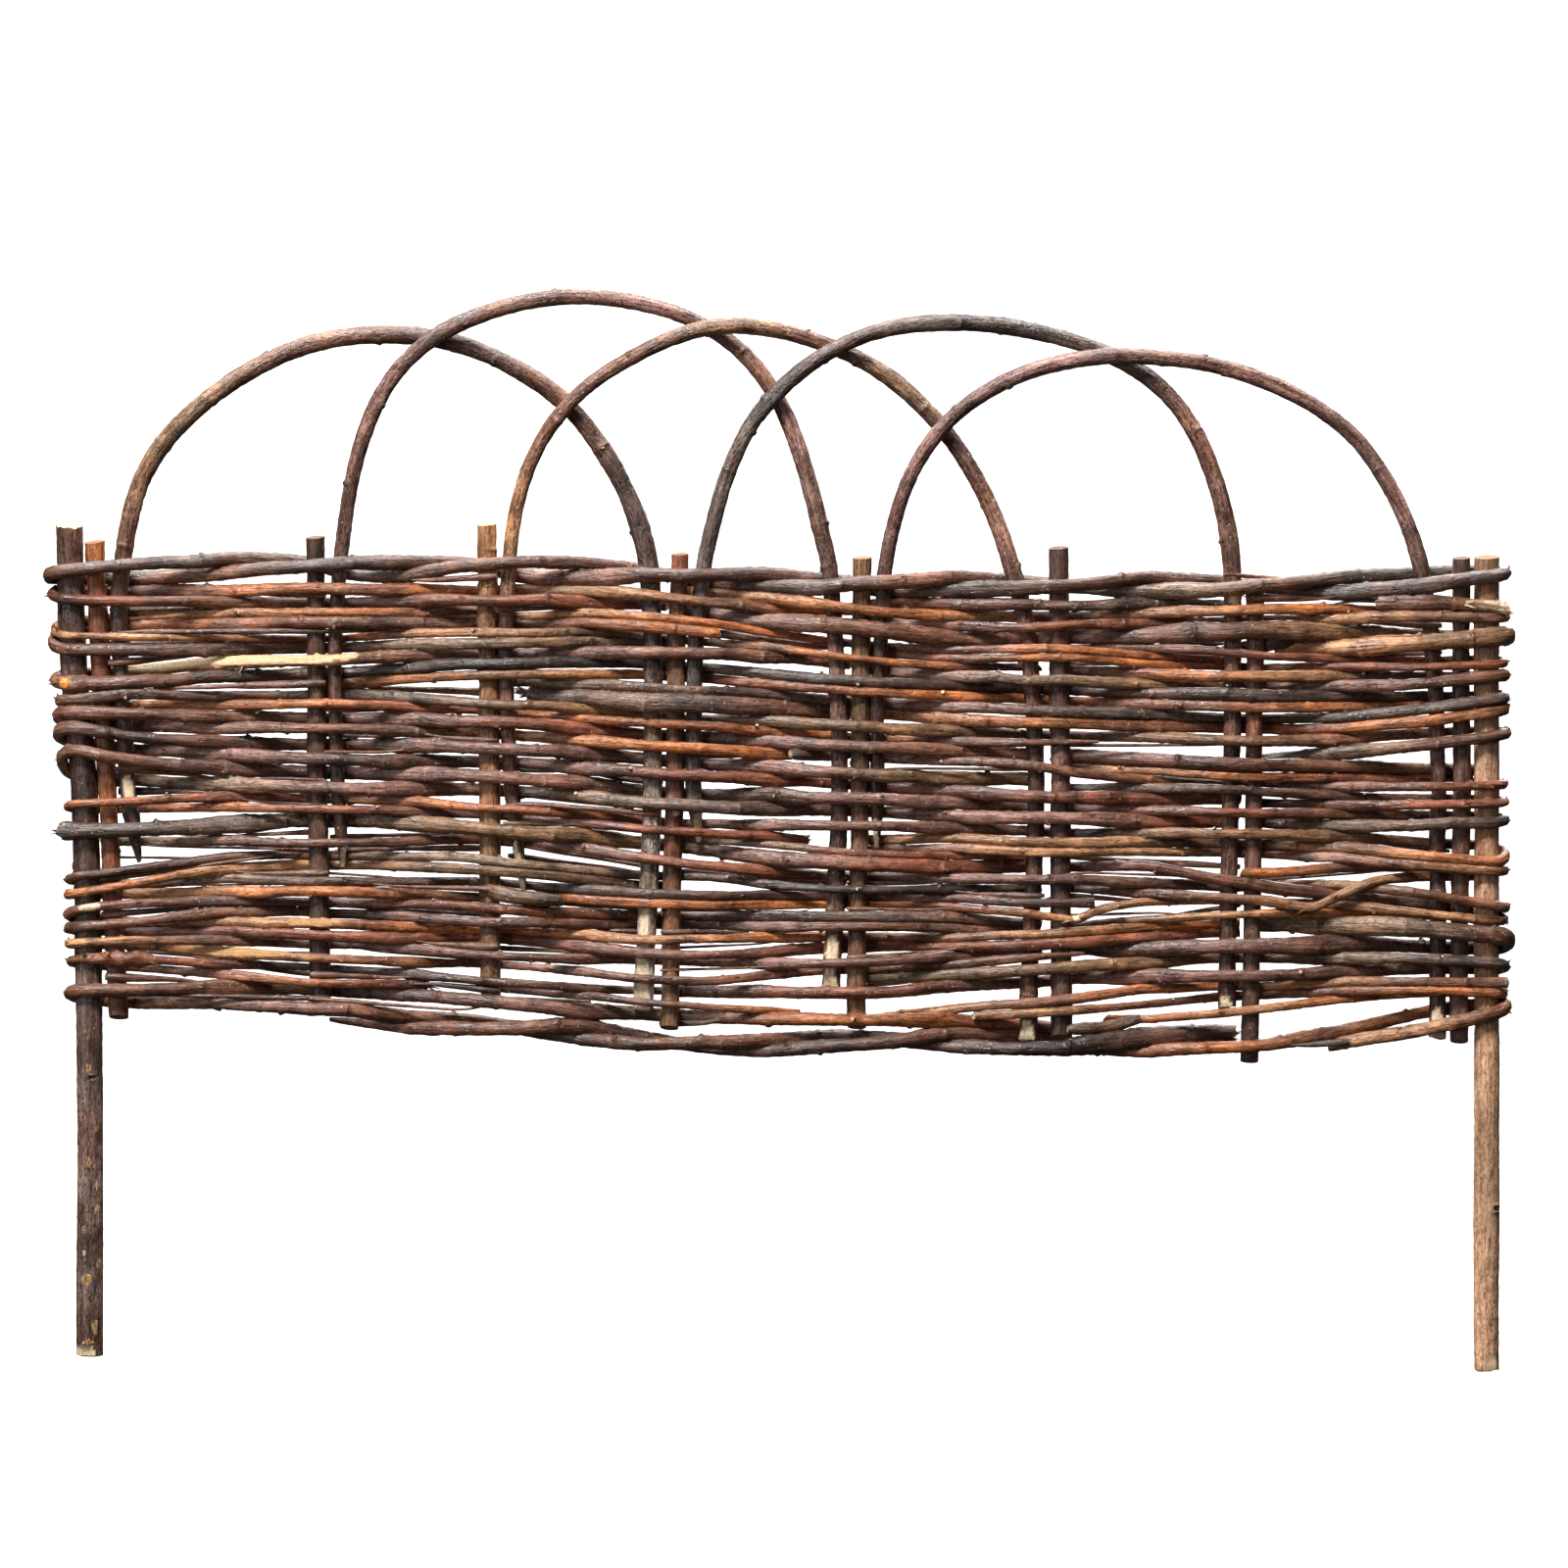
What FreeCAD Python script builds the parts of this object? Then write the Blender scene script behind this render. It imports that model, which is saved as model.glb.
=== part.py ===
import FreeCAD, Part
import Sketcher
import math
import os

# Woven willow hurdle: two posts, eight stakes and five hoops stand in one plane,
# and thin willow rods are woven through them, turning back round the end posts.
# Frame: +Z up, +X along the panel, front towards -Y, uprights on Y = 0,
# Z = 0 at the lower end of the longer post. Millimetres.

V = FreeCAD.Vector
os.makedirs("parts", exist_ok=True)
doc = FreeCAD.newDocument("willow_hurdle")
sheet = doc.addObject("Spreadsheet::Sheet", "Dimensions")

# Driving dimensions: posts, stakes, hoops, weave.
SIZES = [
    ("weave_gap", 0.28),
    ("run_bend", 110.0),
    ("wrap_ratio", 0.995),
    ("hoop_pass", 7.0),
    ("station_1_half", 8.45),
    ("station_2_half", 6.71),
    ("station_3_half", 6.71),
    ("station_4_half", 6.44),
    ("station_5_half", 6.24),
    ("station_6_half", 6.71),
    ("station_7_half", 6.17),
    ("station_8_half", 8.86),
    ("left_post_dia", 16.78),
    ("right_post_foot_dia", 17.2),
    ("right_post_dia", 17.5),
    ("right_post_foot_len", 212.0),
    ("right_post_step", 3.0),
    ("right_post_len", 556.3),
    ("right_post_x", 484.2),
    ("stake_1_dia", 12.48),
    ("stake_1_len", 322.5),
    ("stake_1_foot_x", -452.5),
    ("stake_1_foot_z", 244.9),
    ("stake_1_lean", -2.92),
    ("stake_2_dia", 13.15),
    ("stake_2_len", 316.7),
    ("stake_2_foot_x", -314.3),
    ("stake_2_foot_z", 253.6),
    ("stake_2_lean", -0.61),
    ("stake_3_dia", 13.15),
    ("stake_3_len", 322.8),
    ("stake_3_foot_x", -197.6),
    ("stake_3_foot_z", 256.3),
    ("stake_3_lean", -0.48),
    ("stake_4_dia", 11.41),
    ("stake_4_len", 321.5),
    ("stake_4_foot_x", -75.4),
    ("stake_4_foot_z", 237.5),
    ("stake_4_lean", 1.32),
    ("stake_5_dia", 12.08),
    ("stake_5_len", 318.1),
    ("stake_5_foot_x", 52.7),
    ("stake_5_foot_z", 238.2),
    ("stake_5_lean", 0.73),
    ("stake_6_dia", 13.15),
    ("stake_6_len", 331.5),
    ("stake_6_foot_x", 193.0),
    ("stake_6_foot_z", 231.5),
    ("stake_6_lean", -0.35),
    ("stake_7_dia", 11.41),
    ("stake_7_len", 323.4),
    ("stake_7_foot_x", 321.8),
    ("stake_7_foot_z", 214.7),
    ("stake_7_lean", 0.71),
    ("stake_8_dia", 12.08),
    ("stake_8_len", 328.1),
    ("stake_8_foot_x", 465.4),
    ("stake_8_foot_z", 228.1),
    ("stake_8_lean", 0.23),
    ("hoop_1_dia", 11.41),
    ("hoop_2_dia", 9.93),
    ("hoop_3_dia", 9.93),
    ("hoop_4_dia", 10.2),
    ("hoop_5_dia", 9.66),
]

# Diameter of every woven rod.
ROD_SIZES = [
    ("left_weaver_01_dia", 8.37),
    ("left_weaver_02_dia", 6.96),
    ("left_weaver_03_dia", 5.02),
    ("left_weaver_04_dia", 6.7),
    ("left_weaver_05_dia", 7.47),
    ("left_weaver_06_dia", 5.93),
    ("left_weaver_07_dia", 7.34),
    ("left_weaver_08_dia", 7.73),
    ("left_weaver_09_dia", 7.99),
    ("left_weaver_10_dia", 5.54),
    ("left_weaver_11_dia", 5.15),
    ("left_weaver_12_dia", 5.8),
    ("left_weaver_13_dia", 5.8),
    ("left_weaver_14_dia", 5.93),
    ("left_weaver_15_dia", 5.8),
    ("left_weaver_16_dia", 5.28),
    ("left_weaver_17_dia", 7.47),
    ("right_weaver_01_dia", 8.63),
    ("right_weaver_02_dia", 6.57),
    ("right_weaver_03_dia", 9.92),
    ("right_weaver_04_dia", 5.15),
    ("right_weaver_05_dia", 6.83),
    ("right_weaver_06_dia", 6.44),
    ("right_weaver_07_dia", 6.18),
    ("right_weaver_08_dia", 7.21),
    ("right_weaver_09_dia", 5.8),
    ("right_weaver_10_dia", 5.93),
    ("right_weaver_11_dia", 6.83),
    ("right_weaver_12_dia", 6.44),
    ("right_weaver_13_dia", 5.67),
    ("right_weaver_14_dia", 6.31),
    ("right_weaver_15_dia", 5.15),
    ("right_weaver_16_dia", 9.66),
    ("right_weaver_17_dia", 7.34),
    ("right_weaver_18_dia", 5.41),
    ("right_weaver_19_dia", 7.47),
    ("short_weaver_01_dia", 7.73),
    ("short_weaver_02_dia", 9.92),
    ("short_weaver_03_dia", 8.76),
    ("short_weaver_04_dia", 9.02),
    ("short_weaver_05_dia", 4.25),
    ("short_weaver_06_dia", 5.67),
    ("short_weaver_07_dia", 5.8),
    ("short_weaver_08_dia", 4.9),
]

for row, (alias, value) in enumerate(SIZES + ROD_SIZES, start=1):
    sheet.set("A%d" % row, alias)
    sheet.set("B%d" % row, "%g" % value)
    sheet.setAlias("B%d" % row, alias)
doc.recompute()


def dim(alias):
    return float(sheet.get(alias))


def tangent_wire(points, bends):
    """Straight runs joined by tangent arcs, one arc at each inner corner."""
    edges = []
    last = points[0]
    for i in range(1, len(points) - 1):
        before = points[i - 1] - points[i]
        after = points[i + 1] - points[i]
        len_a, len_b = before.Length, after.Length
        u = before * (1.0 / len_a)
        v = after * (1.0 / len_b)
        turn = math.pi - math.acos(max(-1.0, min(1.0, u.dot(v))))
        if turn < 0.002:
            continue
        reach = min(bends[i] * math.tan(turn / 2), 0.48 * len_a, 0.48 * len_b)
        radius = reach / math.tan(turn / 2)
        start = points[i] + u * reach
        end = points[i] + v * reach
        inward = u + v
        inward = inward * (1.0 / inward.Length)
        middle = points[i] + inward * (radius / math.cos(turn / 2) - radius)
        edges.append(Part.LineSegment(last, start).toShape())
        edges.append(Part.Arc(start, middle, end).toShape())
        last = end
    edges.append(Part.LineSegment(last, points[-1]).toShape())
    return Part.Wire(edges)


pieces = []


def swept_rod(label, points, bends, diameter_alias):
    """A round rod of one diameter that follows a bent centre line."""
    path = doc.addObject("Part::Feature", label + "_path")
    path.Shape = tangent_wire(points, bends)
    ring = doc.addObject("Part::Circle", label + "_section")
    ring.setExpression("Radius", "Dimensions.%s / 2" % diameter_alias)
    heading = points[1] - points[0]
    ring.Placement = FreeCAD.Placement(points[0], FreeCAD.Rotation(V(0, 0, 1), heading))
    rod = doc.addObject("Part::Sweep", label)
    rod.Sections = [ring]
    rod.Spine = (path, [])
    rod.Solid = True
    rod.Frenet = False
    rod.Label = label
    pieces.append(rod)
    return rod


# Left post: a natural pole, straight and upright in its foot, leaning outwards above.

LEFT_POST = [(-472.3, 10.1), (-472.3, 228.1), (-476.0, 402.6), (-482.1, 469.7), (-484.7, 510.0), (-486.1, 577.1)]
post_points = [V(x, 0, z) for x, z in LEFT_POST]
swept_rod("left_post", post_points, [200.0] * len(post_points), "left_post_dia")

# Right post: a straight pole, a little slimmer in the foot that goes into the ground.
body = doc.addObject("PartDesign::Body", "right_post")
body.Label = "right_post"
sketch = body.newObject("Sketcher::SketchObject", "right_post_profile")
plane = [f for f in body.Origin.OriginFeatures if f.Role == "XZ_Plane"][0]
sketch.AttachmentSupport = (plane, [""])
sketch.MapMode = "FlatFace"
foot_r = dim("right_post_foot_dia") / 2
top_r = dim("right_post_dia") / 2
foot_l = dim("right_post_foot_len")
step_l = dim("right_post_step")
total_l = dim("right_post_len")
corners = [V(0, 0, 0), V(foot_r, 0, 0), V(foot_r, foot_l, 0), V(top_r, foot_l + step_l, 0), V(top_r, total_l, 0), V(0, total_l, 0)]
for i in range(6):
    sketch.addGeometry(Part.LineSegment(corners[i], corners[(i + 1) % 6]), False)
for i in range(6):
    sketch.addConstraint(Sketcher.Constraint("Coincident", i, 2, (i + 1) % 6, 1))
sketch.addConstraint(Sketcher.Constraint("Coincident", 0, 1, -1, 1))
sketch.addConstraint(Sketcher.Constraint("Horizontal", 0))
sketch.addConstraint(Sketcher.Constraint("Vertical", 1))
sketch.addConstraint(Sketcher.Constraint("Vertical", 3))
sketch.addConstraint(Sketcher.Constraint("Horizontal", 4))
sketch.addConstraint(Sketcher.Constraint("Vertical", 5))
for name, kind, first, p1, second, p2, value, formula in (
    ("foot_radius", "DistanceX", 0, 1, 0, 2, foot_r, "Dimensions.right_post_foot_dia / 2"),
    ("foot_length", "DistanceY", 1, 1, 1, 2, foot_l, "Dimensions.right_post_foot_len"),
    ("step_length", "DistanceY", 2, 1, 2, 2, step_l, "Dimensions.right_post_step"),
    ("top_radius", "DistanceX", 4, 2, 4, 1, top_r, "Dimensions.right_post_dia / 2"),
    ("whole_length", "DistanceY", 5, 2, 5, 1, total_l, "Dimensions.right_post_len"),
):
    index = sketch.addConstraint(Sketcher.Constraint(kind, first, p1, second, p2, value))
    sketch.renameConstraint(index, name)
    sketch.setExpression("Constraints." + name, formula)
doc.recompute()
turned = body.newObject("PartDesign::Revolution", "right_post_turned")
turned.Profile = sketch
turned.ReferenceAxis = (sketch, ["V_Axis"])
turned.Angle = 360.0
body.Tip = turned
doc.recompute()
body.Placement = FreeCAD.Placement(V(dim("right_post_x"), 0, 0), FreeCAD.Rotation())
pieces.append(body)

# Stakes: short straight poles, each with its own lean, cut flat at both ends.
for n in range(1, 9):
    name = "stake_%d" % n
    stake = doc.addObject("Part::Cylinder", name)
    stake.Label = name
    stake.setExpression("Radius", "Dimensions.%s_dia / 2" % name)
    stake.setExpression("Height", "Dimensions.%s_len" % name)
    foot = V(dim(name + "_foot_x"), 0, dim(name + "_foot_z"))
    stake.Placement = FreeCAD.Placement(foot, FreeCAD.Rotation(V(0, 1, 0), dim(name + "_lean")))
    pieces.append(stake)

# Hoops: bent rods whose legs stand in the weave. Each row is (x, pass, z): pass is -1
# where the hoop runs in front of its neighbours and +1 where it runs behind them.
HOOPS = [
    [(-438.4, 0, 348.9), (-446.8, 0, 399.2), (-448.8, 0, 442.9), (-452.5, 0, 510.0), (-451.9, 0, 536.8), (-446.5, 0, 577.1), (-439.8, 0, 604.6), (-429.7, 0, 625.4), (-415.6, 0, 644.2), (-395.5, 0.1, 662.9), (-370.7, 0.35, 681.7), (-341.1, 0.7, 697.8), (-315.6, 0.95, 706.6), (-287.5, 1, 710.6), (-262.0, 1, 710.9), (-238.5, 1, 709.2), (-215.7, 1, 703.9), (-191.5, 1, 694.1), (-166.0, 1, 679.7), (-144.5, 1, 662.9), (-127.1, 1, 640.8), (-110.3, 1, 614.0), (-97.6, 0.45, 586.5), (-89.5, 0, 556.9), (-87.2, 0, 523.4), (-85.8, 0, 469.7), (-86.5, 0, 402.6), (-93.5, 0, 246.9)],
    [(-298.9, 0, 346.2), (-303.2, 0, 409.3), (-304.2, 0, 503.3), (-301.6, 0, 543.5), (-297.5, -0.35, 579.1), (-293.2, -0.9, 609.3), (-286.1, -1, 637.5), (-275.4, -1, 665.6), (-258.6, -1, 689.8), (-235.8, -1, 709.2), (-211.6, -1, 721.0), (-184.8, -1, 730.0), (-158.0, -0.55, 735.1), (-131.1, 0, 736.8), (-102.9, 0.6, 734.4), (-73.4, 1, 727.4), (-50.6, 1, 717.3), (-31.1, 1, 704.6), (-13.7, 1, 686.4), (2.4, 1, 659.6), (15.2, 1, 626.7), (25.9, 0.4, 589.8), (33.9, 0, 552.2), (38.0, 0, 503.3), (41.0, 0, 429.4), (41.3, 0, 382.5), (35.3, 0, 262.4)],
    [(-174.1, 0, 324.1), (-183.5, 0, 399.2), (-186.8, 0, 469.7), (-187.5, 0, 513.3), (-184.8, 0, 560.3), (-180.8, -0.45, 589.8), (-171.4, -0.95, 620.7), (-158.3, -1, 646.2), (-140.5, -1, 667.3), (-119.0, -1, 684.4), (-94.2, -1, 698.8), (-69.4, -1, 709.2), (-45.9, -1, 715.0), (-20.4, -0.9, 716.3), (5.8, 0.3, 712.6), (32.6, 1, 704.6), (56.8, 1, 693.8), (82.3, 1, 677.0), (105.1, 1, 655.6), (123.9, 1, 631.4), (140.0, 0.85, 603.2), (152.7, 0.3, 573.0), (162.1, 0, 542.2), (169.5, 0, 510.0), (173.5, 0, 459.6), (176.5, 0, 402.6), (169.5, 0, 226.1)],
    [(-55.3, 0, 363.0), (-59.7, 0, 402.6), (-59.0, 0, 442.9), (-56.6, 0, 503.3), (-51.3, 0, 553.6), (-45.2, -0.4, 580.4), (-38.2, -0.95, 609.3), (-27.8, -1, 633.4), (-14.4, -1, 656.6), (5.1, -1, 678.0), (28.6, -1, 695.8), (51.4, -1, 707.2), (74.9, -1, 715.0), (100.4, -0.7, 718.3), (131.2, 0, 719.0), (163.4, 0.65, 716.0), (195.7, 1, 708.6), (225.8, 1, 697.8), (250.0, 1, 685.1), (270.8, 1, 666.3), (287.6, 1, 640.8), (299.7, 1, 609.9), (307.0, 0.35, 579.7), (310.4, 0, 548.9), (310.4, 0, 510.0), (309.7, 0, 422.7), (306.4, 0, 248.3)],
    [(66.1, 0, 359.7), (67.5, 0, 409.3), (67.8, 0, 483.1), (71.5, 0, 546.9), (75.9, -0.3, 571.0), (83.6, -0.85, 599.9), (95.7, -1, 626.0), (113.1, -1, 649.5), (136.6, -1, 668.7), (163.4, -1, 682.7), (191.0, -1, 691.1), (218.5, -1, 694.8), (250.0, -1, 695.2), (280.9, -0.9, 692.5), (313.1, -0.6, 685.8), (340.6, -0.3, 675.7), (362.1, -0.1, 665.0), (380.2, 0, 652.9), (395.6, 0, 639.5), (409.0, 0, 621.3), (422.5, 0, 598.5), (432.5, 0, 575.0), (439.9, 0, 550.2), (445.3, 0, 510.0), (449.3, 0, 463.0), (450.6, 0, 409.3), (450.6, 0, 227.5)],
]
for n, hoop in enumerate(HOOPS, start=1):
    pts = [V(x, side * dim("hoop_pass"), z) for x, side, z in hoop]
    swept_rod("hoop_%d" % n, pts, [220.0] * len(pts), "hoop_%d_dia" % n)

# Woven rods. Each row is (x, z, station, side, bend): side is -1 in front of that
# station's uprights and +1 behind them; bend is "W" where the rod wraps an end post,
# 0 for an ordinary bend, or the radius of a sharp kink.
WEAVERS = {
    "left_weaver_01": [
        (-74.8, 545.6, 4, 1, 0), (-96.2, 549.9, 4, 1, 0), (-133.5, 553.6, 4, 0, 0), (-170.7, 554.2, 3, -1, 0),
        (-209, 552.3, 3, -1, 0), (-251.2, 546.1, 3, 0, 0), (-293.5, 545.5, 2, 1, 0), (-326.4, 555.3, 2, 1, 0),
        (-381.1, 557.1, 2, -0.08, 0), (-435.8, 552.1, 1, -1, 0), (-499.3, 546.9, 1, -1, "W"),
        (-499.2, 545.5, 1, 1, "W"), (-435.8, 544.5, 1, 1, 0), (-381.1, 547.7, 2, 0.08, 0), (-326.4, 551.7, 2, -1, 0),
        (-293.5, 553.9, 2, -1, 0), (-251.2, 555.4, 3, 0, 0), (-209, 554.3, 3, 1, 0), (-170.7, 544.6, 3, 1, 0),
        (-133.5, 544.5, 4, 0, 0), (-96.2, 545.3, 4, -1, 0), (-49.3, 546.2, 4, -1, 0), (-8.7, 547.1, 4, 0, 0),
        (31.9, 543.5, 5, 1, 0), (51.4, 541.3, 5, 1, 0),
    ],
    "left_weaver_02": [
        (-74.8, 525, 4, 1, 0), (-96.2, 526.1, 4, 1, 0), (-133.5, 527.3, 4, -0.01, 0), (-170.7, 528, 3, -1, 0),
        (-209, 528, 3, -1, 0), (-251.2, 528, 3, 0, 0), (-293.5, 526.8, 2, 1, 0), (-326.4, 527.3, 2, 1, 0),
        (-381.1, 527, 2, -0.08, 0), (-435.8, 527.5, 1, -1, 0), (-498.2, 529.4, 1, -1, "W"),
        (-498.3, 534.8, 1, 1, "W"), (-435.8, 534.8, 1, 1, 0), (-381.1, 535.1, 2, 0.08, 0), (-326.4, 536, 2, -1, 0),
        (-293.5, 535.4, 2, -1, 0), (-251.2, 535.7, 3, 0, 0), (-209, 534.3, 3, 1, 0), (-170.7, 535.8, 3, 1, 0),
        (-133.5, 534.7, 4, 0.01, 0), (-96.2, 532.2, 4, -1, 0), (-49.3, 527.1, 4, -1, 0), (-8.7, 522.7, 4, 0, 0),
        (31.9, 521.2, 5, 1, 0), (75.5, 526.2, 5, 1, 0), (120.5, 525.2, 5, -0.02, 0), (165.5, 524.7, 6, -1, 0),
        (200.3, 523.4, 6, -1, 0), (250.3, 526.7, 6, -0.03, 0), (300.3, 525.8, 7, 1, 0), (317.1, 525.4, 7, 1, 0),
    ],
    "left_weaver_03": [
        (180.2, 482.6, 6, 1, 0), (165.5, 482.7, 6, 1, 0), (120.5, 483.3, 5, 0.03, 0), (75.5, 485.6, 5, -1, 0),
        (31.9, 490.4, 5, -1, 0), (-8.7, 496.9, 4, 0, 0), (-49.3, 500.1, 4, 1, 0), (-96.2, 505, 4, 1, 0),
        (-133.5, 506.8, 4, -0.01, 0), (-170.7, 506.6, 3, -1, 0), (-209, 506.5, 3, -1, 0), (-251.2, 506.3, 3, 0, 0),
        (-293.5, 503.1, 2, 1, 0), (-326.4, 502, 2, 1, 0), (-381.1, 503.6, 2, -0.09, 0), (-435.8, 502.6, 1, -1, 0),
        (-496.4, 504.6, 1, -1, "W"), (-496.9, 514, 1, 1, "W"), (-435.8, 518.8, 1, 1, 0), (-381.1, 520.1, 2, 0.09, 0),
        (-326.4, 519.6, 2, -1, 0), (-293.5, 520.1, 2, -1, 0), (-251.2, 519.8, 3, 0, 0), (-209, 518.3, 3, 1, 0),
        (-170.7, 518.1, 3, 1, 0), (-133.5, 519.7, 4, 0.01, 0), (-96.2, 518.2, 4, -1, 0), (-49.3, 513.1, 4, -1, 0),
        (-8.7, 506, 4, 0, 0), (31.9, 501.1, 5, 1, 0), (75.5, 496.8, 5, 1, 0), (120.5, 494.2, 5, -0.03, 0),
        (165.5, 495.2, 6, -1, 0), (200.3, 494.7, 6, -1, 0), (250.3, 490.4, 6, -0.03, 0), (300.3, 488.8, 7, 1, 0),
        (317.1, 488.7, 7, 1, 0),
    ],
    "left_weaver_04": [
        (-74.8, 496.4, 4, 1, 0), (-96.2, 498.7, 4, 1, 0), (-133.5, 500.6, 4, -0.01, 0), (-170.7, 499.1, 3, -1, 0),
        (-209, 498.3, 3, -1, 0), (-251.2, 498, 3, 0, 0), (-293.5, 497, 2, 1, 0), (-326.4, 495.8, 2, 1, 0),
        (-381.1, 494.5, 2, -0.08, 0), (-435.8, 493.4, 1, -1, 0), (-496.6, 494.5, 1, -1, "W"),
        (-497.4, 505.9, 1, 1, "W"), (-435.8, 511.2, 1, 1, 0), (-381.1, 512.3, 2, 0.08, 0), (-326.4, 513.1, 2, -1, 0),
        (-293.5, 513.2, 2, -1, 0), (-251.2, 512.5, 3, 0, 0), (-209, 511.6, 3, 1, 0), (-170.7, 511.9, 3, 1, 0),
        (-133.5, 513.1, 4, 0.01, 0), (-96.2, 510.4, 4, -1, 0), (-49.3, 506.3, 4, -1, 0), (-39.9, 505.2, 4, -0.77, 0),
    ],
    "left_weaver_05": [
        (-74.8, 484.3, 4, 1, 0), (-96.2, 485.6, 4, 1, 0), (-133.5, 485.1, 4, -0.01, 0), (-170.7, 485.2, 3, -1, 0),
        (-209, 485.4, 3, -1, 0), (-251.2, 482.4, 3, 0, 0), (-293.5, 479.6, 2, 1, 0), (-326.4, 478.2, 2, 1, 0),
        (-381.1, 476, 2, -0.08, 0), (-435.8, 473.3, 1, -1, 0), (-495.5, 471.7, 1, -1, "W"),
        (-495.9, 477.8, 1, 1, "W"), (-435.8, 481.8, 1, 1, 0), (-381.1, 486.3, 2, 0.08, 0), (-326.4, 487.2, 2, -1, 0),
        (-293.5, 487.9, 2, -1, 0), (-251.2, 490.4, 3, 0, 0), (-209, 490.7, 3, 1, 0), (-170.7, 491.6, 3, 1, 0),
        (-133.5, 493.1, 4, 0.01, 0), (-96.2, 492.5, 4, -1, 0), (-49.3, 491.6, 4, -1, 0), (-8.7, 490.1, 4, 0, 0),
        (31.9, 486.6, 5, 1, 0), (51.4, 485, 5, 1, 0),
    ],
    "left_weaver_06": [
        (-74.8, 449.4, 4, 1, 0), (-96.2, 450.9, 4, 1, 0), (-133.5, 453.9, 4, -0.01, 0), (-170.7, 456.6, 3, -1, 0),
        (-209, 458.1, 3, -1, 0), (-251.2, 461.6, 3, 0, 0), (-293.5, 463.9, 2, 1, 0), (-326.4, 463.2, 2, 1, 0),
        (-381.1, 463, 2, -0.09, 0), (-435.8, 463.8, 1, -1, 0), (-493.7, 460.3, 1, -1, "W"),
        (-493.5, 458.3, 1, 1, "W"), (-435.8, 456.6, 1, 1, 0), (-381.1, 456.7, 2, 0.09, 0), (-326.4, 457.8, 2, -1, 0),
        (-293.5, 457.1, 2, -1, 0), (-251.2, 455.3, 3, 0, 0), (-209, 453.9, 3, 1, 0), (-170.7, 450.3, 3, 1, 0),
        (-133.5, 447.6, 4, 0.01, 0), (-96.2, 444.8, 4, -1, 0), (-49.3, 442, 4, -1, 0), (-8.7, 438.9, 4, 0, 0),
        (31.9, 436.3, 5, 1, 0), (75.5, 433.7, 5, 1, 0), (120.5, 432.2, 5, -0.02, 0), (165.5, 431.1, 6, -1, 0),
        (200.3, 430.9, 6, -1, 0), (218.5, 431.4, 6, -0.65, 0),
    ],
    "left_weaver_07": [
        (180.2, 422.4, 6, 1, 0), (165.5, 423.2, 6, 1, 0), (120.5, 425.1, 5, 0.02, 0), (75.5, 427.4, 5, -1, 0),
        (31.9, 429.2, 5, -1, 0), (-8.7, 431.9, 4, 0, 0), (-49.3, 434, 4, 1, 0), (-96.2, 436.9, 4, 1, 0),
        (-133.5, 440.6, 4, -0.01, 0), (-170.7, 443.9, 3, -1, 0), (-209, 445.6, 3, -1, 0), (-251.2, 446.8, 3, 0, 0),
        (-293.5, 447.5, 2, 1, 0), (-326.4, 448.1, 2, 1, 0), (-381.1, 449.2, 2, -0.08, 0), (-435.8, 450.3, 1, -1, 0),
        (-493.6, 451.6, 1, -1, "W"), (-493.1, 445.5, 1, 1, "W"), (-435.8, 441.7, 1, 1, 0),
        (-381.1, 441.4, 2, 0.08, 0), (-326.4, 440.9, 2, -1, 0), (-293.5, 440.6, 2, -1, 0), (-251.2, 439, 3, 0, 0),
        (-209, 437.9, 3, 1, 0), (-170.7, 435.1, 3, 1, 0), (-133.5, 432.2, 4, 0.01, 0), (-96.2, 429.9, 4, -1, 0),
        (-49.3, 426.4, 4, -1, 0), (-8.7, 424.1, 4, 0, 0), (8.4, 423.6, 5, 0.42, 0),
    ],
    "left_weaver_08": [
        (180.2, 406.1, 6, 1, 0), (165.5, 406.6, 6, 1, 0), (120.5, 406.9, 5, 0.02, 0), (75.5, 407.7, 5, -1, 0),
        (31.9, 410.4, 5, -1, 0), (-8.7, 414, 4, 0, 0), (-49.3, 416.2, 4, 1, 0), (-96.2, 420.5, 4, 1, 0),
        (-133.5, 423.6, 4, -0.01, 0), (-170.7, 425.8, 3, -1, 0), (-209, 427.6, 3, -1, 0), (-251.2, 429.1, 3, 0, 0),
        (-293.5, 429.9, 2, 1, 0), (-326.4, 429.5, 2, 1, 0), (-381.1, 431.4, 2, -0.08, 0), (-435.8, 434.2, 1, -1, 0),
        (-492.9, 441.5, 1, -1, "W"), (-492, 431.4, 1, 1, "W"), (-435.8, 425.9, 1, 1, 0), (-381.1, 423.4, 2, 0.08, 0),
        (-326.4, 420.6, 2, -1, 0), (-293.5, 419.3, 2, -1, 0), (-251.2, 418, 3, 0, 0), (-209, 417.7, 3, 1, 0),
        (-170.7, 416.3, 3, 1, 0), (-133.5, 413.3, 4, 0.01, 0), (-96.2, 410.9, 4, -1, 0), (-49.3, 408.2, 4, -1, 0),
        (-8.7, 405.8, 4, 0, 0), (31.9, 404, 5, 1, 0), (75.5, 400.8, 5, 1, 0), (120.5, 397.8, 5, -0.02, 0),
        (165.5, 393.7, 6, -1, 0), (200.3, 393.1, 6, -1, 0), (250.3, 392.3, 6, -0.02, 0), (300.3, 393.4, 7, 1, 0),
        (317.1, 393.4, 7, 1, 0),
    ],
    "left_weaver_09": [
        (180.2, 387.3, 6, 1, 0), (165.5, 387.7, 6, 1, 0), (120.5, 389.5, 5, 0.02, 0), (75.5, 391.5, 5, -1, 0),
        (31.9, 393, 5, -1, 0), (-8.7, 394.4, 4, 0, 0), (-49.3, 395.3, 4, 1, 0), (-96.2, 398.5, 4, 1, 0),
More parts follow.
